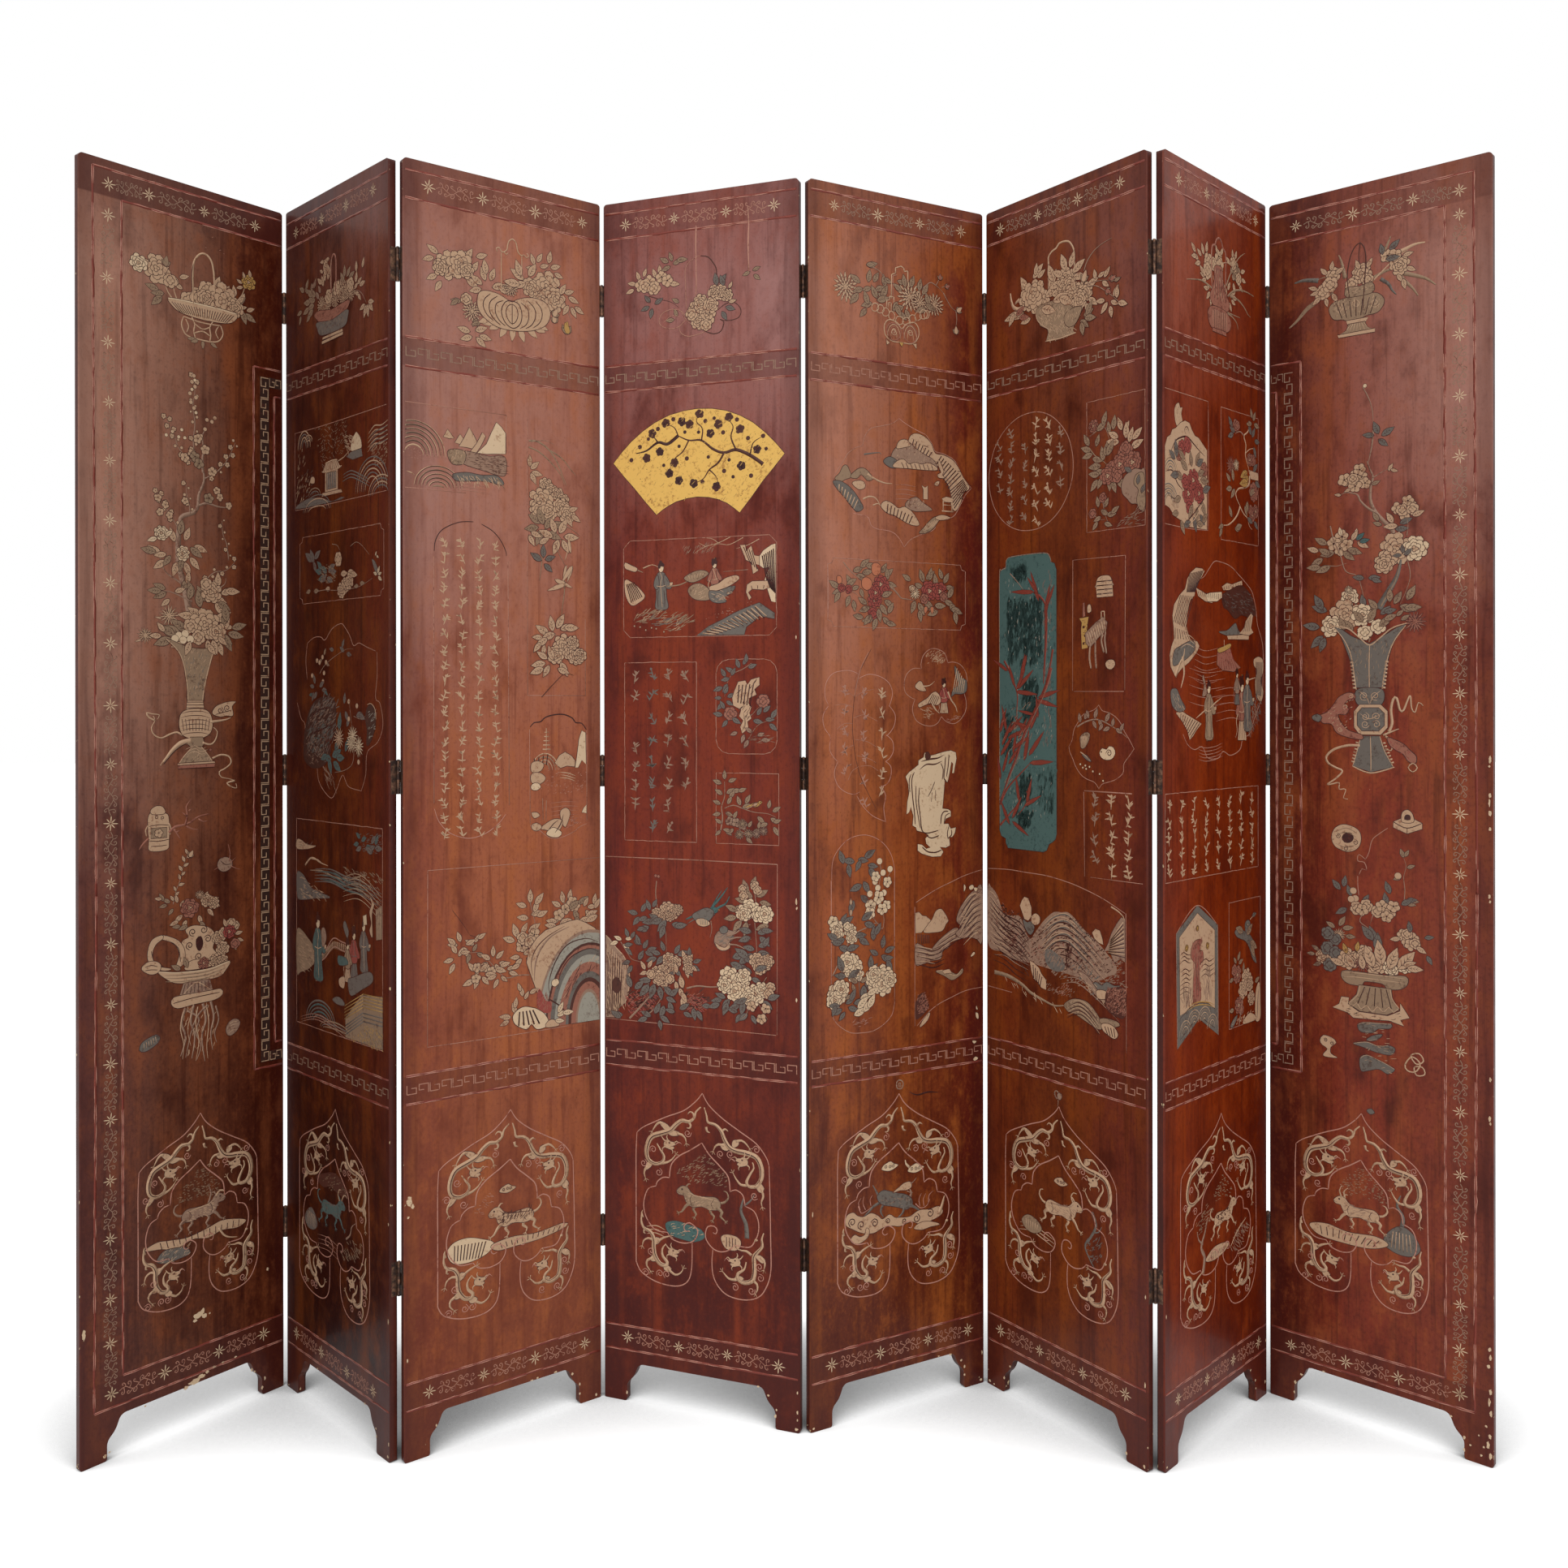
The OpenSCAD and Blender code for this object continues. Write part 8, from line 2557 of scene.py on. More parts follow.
# The ogee panel and its four crawling dragons at the foot of every leaf.
OGEE = """
pen blush 2.1 : 198 1704 185 1720 160 1740 125 1755 100 1767 75 1780 62 1791 ; 62 1791 60 1830 60 1900 60
 1980 60 2030 61 2040 72 2057 100 2070 132 2074 155 2070 170 2057 176 2032 177 1987 ; 198 1704 212 1725 240
 1747 275 1767 310 1787 330 1810 336 1825 ; 336 1825 338 1900 339 1960 339 2020 327 2055 310 2072 282 2079
 250 2075 230 2060 220 2040 218 2015 220 1994
pen blush 2.4 : 197 1797 175 1812 150 1827 134 1845 130 1870
pen blush 2.1 : 130 1870 117 1871 105 1880 102 1889 ; 102 1889 87 1895 79 1910 76 1930 82 1952 100 1972 126
 1974 ; 126 1974 135 1985 157 1990 177 1985 187 1972 187 1960 172 1950 162 1955 160 1962 165 1967 172 1965
pen blush 2.4 : 197 1797 212 1817 235 1837 252 1855 256 1882
pen blush 2.1 : 256 1882 267 1877 282 1885 287 1905 ; 287 1905 305 1912 314 1930 314 1950 307 1967 295 1980
 265 1980 ; 265 1980 255 1990 237 1996 220 1992 206 1977 205 1962 210 1952 222 1950 229 1956 226 1964 220
 1962
brush cream 4.4 : 181 1752 180 1744 173 1741 168 1746
brush cream 5 : 168 1759 174 1766 172 1772 166 1772
fill cream : 108 1766 116 1766 126 1770 132 1777 128 1784 118 1778
limb cream 5.4 : 116 1769 108 1768 100 1776 94 1786
fill cream : 126 1784 138 1780 150 1782 148 1788 134 1790
limb cream 5 : 146 1785 156 1786 163 1792 165 1801
fill cream : 82 1848 90 1843 94 1850 86 1858 80 1860
limb cream 5 : 84 1852 79 1860 77 1868 80 1877 ; 112 1845 126 1841 136 1834 143 1825
vein cream 10 : 195 1730 185 1740 181 1752 170 1760 157 1759 145 1767 132 1780 115 1787 95 1795 86 1807 82
 1825 86 1840 100 1847 115 1842 119 1831 112 1820 104 1808
vein ridge 1.5 : 170 1761 157 1760 145 1768 132 1781 115 1788 95 1796 87 1808 83 1825 87 1840 100 1846 114
 1841 118 1831 112 1820
put head cream cream : 129 1808 0.95
curl blush 1.5 8 : 168 1782 96 1820 76 1848 108 1862
brush blush 2 : 143 1806 150 1801 156 1804
brush cream 5 : 206 1766 208 1774 214 1776
brush cream 4.4 : 240 1770 246 1766 252 1770
fill cream : 236 1796 246 1792 256 1798 250 1806 240 1804
limb cream 5 : 244 1797 232 1796 224 1802 221 1810
fill cream : 260 1796 262 1786 272 1784 274 1792 266 1798
limb cream 5 : 268 1787 280 1784 290 1790 296 1797 ; 290 1866 278 1866 268 1856 262 1846
fill cream : 310 1860 318 1858 326 1868 320 1876 312 1872
limb cream 5 : 320 1868 324 1882 320 1894 322 1902
vein cream 10 : 202 1730 207 1745 210 1757 225 1760 237 1770 245 1787 255 1800 270 1805 287 1806 310 1812 320
 1830 320 1850 310 1865 295 1867 290 1860 297 1845 305 1832 302 1822
vein ridge 1.5 : 212 1758 225 1762 236 1771 245 1788 255 1800 270 1805 287 1807 308 1813 318 1830 318 1850
 309 1863 296 1865
put head cream cream : 282 1824 -0.95
curl blush 1.5 8 : 236 1814 256 1812 310 1798 306 1884
brush blush 2 : 266 1824 258 1820 254 1826
brush cream 4.6 : 74 1952 72 1944 74 1938
brush cream 4.4 : 78 1972 76 1980 80 1982
limb cream 5 : 99 1994 86 1990 76 1996 73 2006
fill cream : 96 1990 104 1986 112 1990 106 1998 98 2000
limb cream 5 : 106 1993 116 1986 126 1982 132 1980
fill cream : 90 2026 98 2020 106 2024 100 2032 92 2032
limb cream 5 : 94 2027 84 2032 82 2042 90 2052
fill cream : 118 2040 126 2036 134 2042 128 2048 120 2046
limb cream 5 : 128 2044 142 2052 154 2046 158 2038
vein cream 9 : 72 1942 71 1960 77 1972 90 1977 97 1990 97 2007 100 2022 110 2035 122 2037 125 2030 116 2020
 115 2007 122 1997
vein ridge 1.4 : 74 1964 80 1973 90 1979 97 1991 98 2008 101 2021 111 2034 120 2035 122 2030
put head cream cream : 137 2011 0.9
curl blush 1.5 8 : 92 2014 110 2054 124 2054 80 2056
brush blush 2 : 150 2008 156 2002 162 2008
brush cream 4.4 : 312 1966 308 1964 306 1970
limb cream 5 : 300 1994 290 1988 280 1988 270 1986
fill cream : 308 1994 318 1992 328 2000 322 2006 312 2000
limb cream 5 : 318 1996 326 2002 327 2010 325 2018
fill cream : 284 2040 276 2044 262 2046 268 2038 278 2036
limb cream 5 : 268 2044 254 2044 246 2038 240 2032 ; 302 2040 311 2046 312 2056 308 2064
vein cream 9 : 325 1950 321 1962 322 1975 312 1987 305 1997 306 2020 302 2040 285 2047 272 2042 272 2032 285
 2022 289 2008
vein ridge 1.4 : 321 1964 320 1976 311 1987 304 1998 304 2020 300 2038 285 2045 274 2041 275 2033
put head cream cream : 267 2012 -0.9
curl blush 1.5 8 : 316 2014 318 2034 266 2058 300 2060
brush blush 2 : 254 2012 248 2006 244 2012
"""
PICTURES[1, "beast in the ogee panel"] = """
hatch sage 260 4 0 1.1 : 224 1826 250 1850 262 1872 258 1888 220 1880 180 1884 178 1866 200 1844
brush bark 4 : 240 1900 246 1880 240 1862
fill cream : 118 1950 140 1942 168 1946 200 1950 240 1944 268 1938 300 1944 318 1952 300 1960 268 1956 240
 1962 210 1956 176 1964 148 1956
ribs ridge 1.2 14 : 140 1944 310 1946 144 1958 308 1958
fill slate : 140 1976 152 1962 174 1962 196 1968 204 1980 180 1984 156 1984
hatch cream 30 7 30 1 : 142 1964 200 1964 200 1982 146 1982
brush cream 4 : 262 1950 272 1966 284 1974 300 1978
put beast bark cream : 224 1914 0.78
brush cream 4 : 256 1888 264 1880 274 1884 270 1892
"""
PICTURES[2, "beast in the ogee panel"] = """
fill slate : 78 1950 86 1934 104 1924 120 1934 128 1952 112 1964 90 1964
ribs cream 1.4 6 : 90 1932 120 1936 84 1958 122 1960
waves hairline 1.2 4 8 : 130 1968 170 1964 210 1970
hatch sage 90 11 -40 1.2 : 214 1976 240 1950 290 1930 300 1950 270 1976 230 1984
fill umber : 126 1860 160 1846 200 1838 236 1852 250 1868 220 1872 180 1866 150 1872
hatch sage 80 6 20 1 : 126 1860 200 1838 250 1868 180 1872
put beast teal slate : 184 1912 0.82
brush cream 3.4 : 216 1884 210 1874 214 1864 222 1862 ; 224 1882 230 1872 238 1868 246 1872
brush bark 4 : 240 1948 256 1936 262 1920 280 1908
"""
PICTURES[3, "beast in the ogee panel"] = """
fill bone : 82 1944 96 1932 122 1930 148 1938 172 1950 160 1966 128 1974 100 1972 86 1962
ribs ridge 1.6 10 : 92 1938 160 1944 92 1966 150 1972
fill cream : 168 1954 210 1948 260 1952 318 1946 322 1954 270 1964 220 1966 180 1966
ribs ridge 1.2 12 : 180 1954 316 1950 184 1964 310 1958
put beast cream umber : 216 1918 -0.82
hatch umber 40 9 70 1.6 : 184 1900 250 1900 250 1920 184 1920
cloud cream 8 : 200 1856
hatch hairline 60 8 -20 1 : 130 1880 160 1850 170 1870 140 1900
"""
PICTURES[4, "beast in the ogee panel"] = """
hatch sage 220 7 30 1.1 : 150 1850 206 1806 262 1850 250 1866 170 1866
brush slate 9 : 296 1956 294 1930 284 1906 290 1880
brush slate 4 : 290 1896 304 1884 312 1870
fill teal : 130 1950 150 1942 180 1946 204 1952 210 1966 190 1976 160 1974 138 1968
hatch cream 30 8 20 1 : 134 1946 206 1950 204 1970 140 1970
fill cream : 244 1962 254 1954 276 1956 284 1966 276 1980 254 1980
ribs ridge 1.2 4 : 252 1958 276 1960 252 1976 276 1976
waves cream 2 3 7 : 90 1960 110 1956 128 1962
put beast sage cream : 206 1904 -0.8
"""
PICTURES[5, "two beasts in the ogee panel"] = """
brush slate 5 : 152 1892 144 1878 138 1868
brush slate 6 : 154 1904 140 1908 130 1916 118 1923
brush slate 5.4 : 162 1908 156 1920 162 1932
brush bark 6 : 222 1908 226 1896 220 1886
fill slate : 148 1890 160 1882 176 1886 192 1892 212 1898 226 1908 228 1920 216 1927 200 1921 182 1915 164
 1910 152 1902
hatch bark 44 8 -25 1.1 : 150 1886 226 1906 222 1924 154 1904
brush slate 6 : 220 1918 234 1926 246 1934 256 1938
brush slate 5.4 : 210 1922 206 1932 194 1940
fill cream : 184 1890 198 1882 210 1876 224 1876 226 1886 214 1890 200 1888
brush bark 2.4 : 224 1880 232 1876 238 1870
brush bark 2 : 216 1892 224 1896 230 1898
fill cream : 78 1932 80 1916 94 1912 104 1920 118 1924 134 1920 150 1928 160 1936 176 1930 188 1938 200 1940
 222 1942 244 1934 268 1936 290 1934 300 1944 294 1952 274 1958 250 1962 226 1952 200 1956 182 1952 160 1952
 140 1958 116 1954 96 1944
curl ridge 1.5 9 : 92 1930 112 1938 142 1940 238 1948 270 1944
curl ridge 1.4 6 : 172 1942 210 1948
fill cream : 88 1962 98 1954 108 1960 120 1958 124 1946 130 1952 126 1964 108 1972 96 1970 ; 232 1966 248
 1958 270 1960 292 1969 270 1970 250 1972
brush cream 8 : 290 1950 298 1934 304 1916
cloud bone 9 : 176 1838 236 1851
brush bone 5 : 222 1848 214 1840 212 1832
brush blush 2 : 106 1902 112 1916 124 1914 136 1908
brush blush 1.8 : 110 1910 106 1896 112 1888 ; 122 1912 116 1898 118 1886 ; 134 1906 132 1894 138 1886
brush blush 2 : 236 1920 248 1930 262 1928 270 1916
brush blush 1.8 : 246 1926 244 1912 250 1902 ; 256 1928 254 1914 260 1904 ; 266 1922 268 1908 278 1902
"""
PICTURES[6, "beast in the ogee panel"] = """
put beast cream bark : 196 1908 0.82
brush cream 3.4 : 226 1880 222 1870 228 1862 236 1862
brush slate 6 : 272 1884 282 1906 270 1930 256 1950 266 1970 280 1986
brush slate 3 : 276 1920 288 1916 296 1904
hatch slate 60 8 40 1.2 : 250 1940 290 1930 294 1970 262 1980
waves cream 2.2 3 7 : 90 1956 120 1950 150 1956 180 1964
fill sage : 96 1950 112 1936 136 1940 148 1954 130 1966 108 1964
ribs cream 1.4 6 : 104 1944 140 1948 106 1960 138 1962
cloud cream 8 : 196 1850
"""
PICTURES[7, "beast in the ogee panel"] = """
brush bark 9 : 140 1992 146 1966 134 1944 148 1920 158 1896
brush bark 4 : 140 1940 124 1928 118 1912
hatch sage 120 7 20 1.1 : 112 1900 150 1872 180 1888 160 1910 120 1920
hatch sage 120 7 -20 1.1 : 176 1866 212 1830 250 1866 236 1876 190 1876
hatch bark 110 12 -40 1.4 : 240 1980 262 1950 306 1930 318 1950 296 1978 262 1990
vein cream 3 : 246 1976 276 1952 312 1936
fill cream : 150 1972 180 1958 214 1958 240 1966 220 1976 180 1980
ribs ridge 1.2 8 : 166 1964 232 1966 170 1976 222 1974
put beast cream umber : 220 1914 0.78
dots umber 1.8 : 200 1906 214 1902 226 1908 210 1912 236 1900
"""
PICTURES[8, "beast in the ogee panel"] = """
hatch sage 240 4 0 1.1 : 174 1819 206 1846 228 1872 214 1882 174 1876 136 1882 124 1868 146 1846
brush slate 8 : 244 1926 248 1900 238 1880 244 1860
fill slate : 214 1952 226 1928 246 1916 266 1926 278 1950 262 1966 234 1966
ribs cream 1.4 6 : 228 1928 262 1928 224 1958 266 1960
fill cream : 78 1952 110 1944 150 1950 200 1946 222 1956 190 1970 140 1972 96 1968
ribs ridge 1.2 10 : 92 1950 212 1952 96 1966 200 1966
put beast cream bark : 172 1914 -0.74
brush cream 3 : 144 1888 142 1876 150 1868 ; 138 1888 134 1876 138 1866
"""
# Patches where the lacquer has flaked and the pale ground shows.
PICTURES[1, "flaked spots"] = """
chip bone : 221 2101 22 14 229 2096 9 12 232 2106 12 10 214 2109 10 8 243 2105 4 4 212 2222 26 12 226 2217 18
 9 196 2227 12 8 238 2213 8 7 252 2209 9 5 270 2207 7 4 296 2206 6 4 7 2064 7 22 8 2058 5 9 330 2243 5 8 336
 2249 4 4 364 2060 6 8 44 2290 9 7 52 2286 5 4 118 2230 5 4 352 2286 6 8 358 2270 4 9
"""
PICTURES[4, "flaked spots"] = """
chip bone : 394 1326 4 14 395 1338 4 7 394 1506 4 9 394 841 3 8 393 2293 8 6 395 2276 3 6 395 2262 4 9 352
 2276 5 8 354 2264 4 5 338 2240 6 5 318 2227 7 4 48 2284 4 8 395 2226 3 7
"""
PICTURES[8, "flaked spots"] = """
chip bone : 395 1062 5 16 394 1074 4 5 395 1125 5 9 394 1138 4 16 395 1156 6 12 395 1184 5 8 394 1302 5 9 395
 1311 4 6 395 1622 5 9 394 1690 5 12 395 1699 4 7 394 2094 6 9 395 2108 5 14 392 2124 7 9 395 2168 6 12 393
 2186 5 16 396 2206 6 12 394 2246 6 10 391 2262 6 16 395 2280 7 14 384 2268 4 5 388 2230 5 5 380 2284 5 5 362
 2272 4 4 376 2250 3 4 352 2262 5 8 352 2284 4 8 330 2232 6 4 62 2244 6 5 50 2262 5 8 48 2282 4 6 104 2225 6
 3
"""
PICTURES[2, "flaked spots"] = """
chip bone : 394 2052 4 12 395 2268 4 8 392 2291 7 6 352 2270 4 6 350 2256 5 5 310 2226 6 4 395 1880 3 7 128
 2224 6 3
"""
PICTURES[3, "flaked spots"] = """
chip bone : 10 1840 12 22 16 1850 8 9 8 1868 5 6 250 2225 7 3 262 2224 5 4 300 2224 7 4 336 2238 6 6 352 2262
 4 8 352 2280 5 6 388 2293 5 7 6 2120 3 9 60 2250 4 5
"""
PICTURES[5, "flaked spots"] = """
chip bone : 352 2258 5 8 352 2274 5 6 344 2244 6 5 318 2227 8 4 290 2224 5 3 392 2293 7 6 8 2293 6 5 6 1900 3
 12 395 2240 3 9
"""
PICTURES[6, "flaked spots"] = """
chip bone : 8 2293 7 6 20 2295 5 4 48 2272 5 7 352 2286 5 7 392 2292 6 7 394 2150 4 12 395 1996 3 9 64 2244 5
 5
"""
PICTURES[7, "flaked spots"] = """
chip bone : 8 2292 6 5 392 2275 5 8 350 2258 5 6 352 2274 4 5 330 2232 6 4 6 2030 3 9 395 2196 3 8
"""


# Where the border stars sit on each leaf: x d pairs along the top, the bottom, and the outer side.
STARS = {
    1: (54, 42, 128, 40, 235, 41, 340, 40), 2: (45, 48, 150, 48, 245, 46, 345, 44),
    3: (48, 43, 153, 42, 260, 43, 360, 42), 4: (48, 44, 150, 44, 256, 44, 352, 44),
    5: (55, 41, 152, 43, 248, 43, 346, 42), 6: (40, 41, 140, 41, 240, 41, 340, 41),
    7: (55, 40, 158, 39, 260, 39, 355, 39), 8: (53, 51, 160, 53, 267, 52, 346, 55),
}
LOW_STARS = {
    1: (56, 2185, 155, 2183, 262, 2183, 355, 2183), 2: (42, 2184, 143, 2188, 243, 2192, 340, 2193),
    3: (47, 2186, 152, 2186, 257, 2185, 363, 2187), 4: (50, 2177, 157, 2180, 256, 2179, 358, 2183),
    5: (47, 2185, 155, 2187, 265, 2186, 360, 2188), 6: (38, 2184, 142, 2184, 250, 2185, 350, 2183),
    7: (48, 2187, 155, 2189, 258, 2188, 363, 2190), 8: (42, 2194, 145, 2194, 240, 2193, 345, 2188),
}
SIDE_STARS = {
    1: (53, 97, 50, 208, 52, 322, 54, 428, 55, 531, 55, 637, 56, 748, 56, 855, 56, 965, 56, 1069, 56, 1174,
        56, 1280, 56, 1388, 56, 1495, 55, 1600, 55, 1699, 54, 1806, 54, 1910, 54, 2017, 54, 2095, 56, 2185),
    8: (346, 98, 346, 203, 346, 310, 346, 419, 346, 526, 346, 630, 346, 736, 346, 842, 346, 946, 346, 1054,
        346, 1160, 346, 1267, 346, 1374, 346, 1477, 346, 1581, 346, 1688, 346, 1800, 346, 1907, 346, 2030,
        345, 2110, 345, 2188),
}
# The band lines across each leaf, from the top: two each of the upper border, the upper fret, the lower
# fret and the lower border. The end leaves have no fret across them.
BANDS = {
    1: (16, 65, None, None, None, None, 2159, 2209), 2: (24, 72, 319, 366, 1626, 1675, 2164, 2212),
    3: (20, 70, 315, 367, 1619, 1669, 2162, 2210), 4: (20, 69, 313, 362, 1610, 1658, 2156, 2202),
    5: (19, 68, 319, 368, 1620, 1666, 2162, 2212), 6: (19, 64, 314, 362, 1618, 1668, 2160, 2210),
    7: (17, 63, 311, 359, 1624, 1671, 2165, 2212), 8: (26, 76, None, None, None, None, 2168, 2213),
}
# The ogee panel is drawn with this tip, these sides and this foot, and fitted to each leaf's own: its tip's
# x and d, its left and right sides, and its foot.
OGEE_TIP, OGEE_SIDES, OGEE_FOOT = (198, 1704), (60, 338), 2076
OGEES = {
    1: (225, 1725, 105, 343, 2073), 2: (200, 1717, 55, 327, 2088), 3: (207, 1712, 63, 340, 2078),
    4: (206, 1695, 68, 342, 2068), 5: (198, 1704, 60, 338, 2076), 6: (192, 1712, 52, 332, 2078),
    7: (211, 1718, 57, 353, 2085), 8: (174, 1724, 50, 291, 2070),
}
# The colours of each leaf's upper and lower key fret.
FRETS = {
    1: ("cream", "cream"), 2: ("bark", "bark"), 3: ("bark", "hairline"), 4: ("bark", "hairline"),
    5: ("hairline", "hairline"), 6: ("bark", "hairline"), 7: ("bark", "hairline"), 8: ("bark", "bark"),
}
# Drawn line work that runs straight on the leaf is kept this far inside its edges.
LEFT, RIGHT = 4.0, 396.0


def end_borders(art, leaf):
    """The borders of the first and last leaves, which close the frame. The last one mirrors the first."""
    top, inner_top, _, _, _, _, inner_low, low = BANDS[leaf]
    side, inner, fret, fret_in, middle = (27, 77, 337, 381, 360) if leaf == 1 else (371, 321, 62, 15, 38)
    far = RIGHT if leaf == 1 else LEFT
    # Each frame opens towards the next leaf. The outer one's long side bows by a few millimetres.
    outer = [(far, top), (side - 2, top), (side + 3, 1300), (side - 2, low), (far, low)]
    frames = [outer] + [[(far, high), (x, high), (x, foot), (far, foot)] for x, high, foot in (
        (inner, inner_top, inner_low), (fret, 311, 1667), (fret_in, 363, 1621))]
    for frame_line in frames:
        for start, end in zip(frame_line, frame_line[1:]):
            band_line(art, [start, end])
    fret_band(art, middle, 328, middle, 1656, FRETS[leaf][0])
    for d in (337, 1647):
        fret_band(art, *((370, d, RIGHT, d) if leaf == 1 else (LEFT, d, 28, d)), FRETS[leaf][0])
    scroll_border(art, SIDE_STARS[leaf], "bark")


def middle_borders(art, leaf):
    """The bands that cross a leaf: scrolls at the top and bottom, and the two key frets between."""
    for d in BANDS[leaf]:
        band_line(art, [(LEFT, d), (RIGHT, d)])
    for lines, colour in zip((BANDS[leaf][2:4], BANDS[leaf][4:6]), FRETS[leaf]):
        middle = sum(lines) / 2
        fret_band(art, LEFT, middle, RIGHT, middle, colour)


def draw_leaf(leaf):
    """Everything drawn on one leaf."""
    art = Drawing(leaf * 101)
    (end_borders if leaf in (1, 8) else middle_borders)(art, leaf)
    scroll_border(art, STARS[leaf], "bark" if leaf in (1, 5, 6, 8) else "hairline")
    scroll_border(art, LOW_STARS[leaf], "hairline")
    for (place, _), text in PICTURES.items():
        if place == leaf:
            art.draw(text)
    x, d, left, right, foot = OGEES[leaf]
    tall = (foot - d) / (OGEE_FOOT - OGEE_TIP[1])
    halves = (x - left) / (OGEE_TIP[0] - OGEE_SIDES[0]), (right - x) / (OGEE_SIDES[1] - OGEE_TIP[0])
    art.at(x, d, 1, tall, OGEE_TIP, halves)
    art.draw(OGEE)
    return art


# A collection of the motifs, numbered so that they stay in order.
motifs = bpy.data.collections.new("motifs")
for number, name in enumerate(MOTIFS):
    points, corners = [], []
    for face in motif_faces()[name]:
        corners.append(list(range(len(points), len(points) + len(face))))
        points += [(x, y, 0) for x, y in face]
    mesh = bpy.data.meshes.new(name)
    mesh.from_pydata(points, [], corners)
    motifs.objects.link(bpy.data.objects.new(f"{number:02d}_{name}", mesh))

# The inlay tree: lines become flat ribbons, stamps become motifs, and every flat shape gets its height.
inlay = bpy.data.node_groups.new("inlay", "GeometryNodeTree")
for name, kind, way in (
        ("Drawing", "NodeSocketGeometry", "INPUT"), ("Motifs", "NodeSocketCollection", "INPUT"),
        ("Finish", "NodeSocketMaterial", "INPUT"), ("Inlay", "NodeSocketGeometry", "OUTPUT")):
    inlay.interface.new_socket(name, in_out=way, socket_type=kind)
start = node(inlay, "NodeGroupInput").outputs
# What each point of a drawing carries.
LAYERS = {"kind": "INT", "motif": "INT", "half_width": "FLOAT", "height": "FLOAT", "turn": "FLOAT",
          "stretch": "FLOAT_VECTOR"}
AREA, LINE, STAMP = 0, 1, 2
read = {}
for name, kind in LAYERS.items():
    read[name] = node(inlay, "GeometryNodeInputNamedAttribute", {"Name": name}, data_type=kind).outputs[0]
parts = []
for number in (AREA, LINE, STAMP):
    chosen = node(inlay, "FunctionNodeCompare", {2: read["kind"], 3: number}, data_type="INT",
                  operation="EQUAL").outputs[0]
    parts.append(node(inlay, "GeometryNodeSeparateGeometry", {0: start["Drawing"], 1: chosen},
                      domain="POINT").outputs[0])
areas, lines, stamps = parts
lines = node(inlay, "GeometryNodeMeshToCurve", {0: lines}).outputs[0]
lines = node(inlay, "GeometryNodeSetCurveNormal", {0: lines}, mode="Z_UP").outputs[0]
flat = node(inlay, "GeometryNodeCurvePrimitiveLine", {"Start": (-1, 0, 0), "End": (1, 0, 0)}).outputs[0]
lines = node(inlay, "GeometryNodeCurveToMesh",
             {"Curve": lines, "Profile Curve": flat, "Scale": read["half_width"]}).outputs[0]
turned = node(inlay, "ShaderNodeCombineXYZ", {2: read["turn"]}).outputs[0]
chosen = node(inlay, "GeometryNodeCollectionInfo",
              {"Collection": start["Motifs"], "Separate Children": True, "Reset Children": True}).outputs[0]
marks = node(inlay, "GeometryNodeInstanceOnPoints",
             {"Points": stamps, "Instance": chosen, "Pick Instance": True, "Instance Index": read["motif"],
              "Rotation": turned, "Scale": read["stretch"]}).outputs[0]
marks = node(inlay, "GeometryNodeRealizeInstances", {0: marks}).outputs[0]
shapes = node(inlay, "GeometryNodeJoinGeometry")
for part in (areas, lines, marks):
    inlay.links.new(part, shapes.inputs[0])
raised = node(inlay, "GeometryNodeExtrudeMesh",
              {"Mesh": shapes.outputs[0], "Offset": (0, 0, 1), "Offset Scale": read["height"],
               "Individual": False}, mode="FACES").outputs[0]
under = node(inlay, "GeometryNodeFlipFaces", {0: shapes.outputs[0]}).outputs[0]
closed = node(inlay, "GeometryNodeJoinGeometry")
for part in (raised, under):
    inlay.links.new(part, closed.inputs[0])
closed = node(inlay, "GeometryNodeMergeByDistance",
              {"Geometry": closed.outputs[0], "Distance": 1e-6}).outputs[0]
closed = node(inlay, "GeometryNodeRealizeInstances", {0: closed}).outputs[0]
closed = node(inlay, "GeometryNodeSetMaterial", {"Geometry": closed, "Material": start["Finish"]}).outputs[0]
node(inlay, "NodeGroupOutput", {0: closed})
sockets = {item.name: item.identifier for item in inlay.interface.items_tree if item.in_out == "INPUT"}


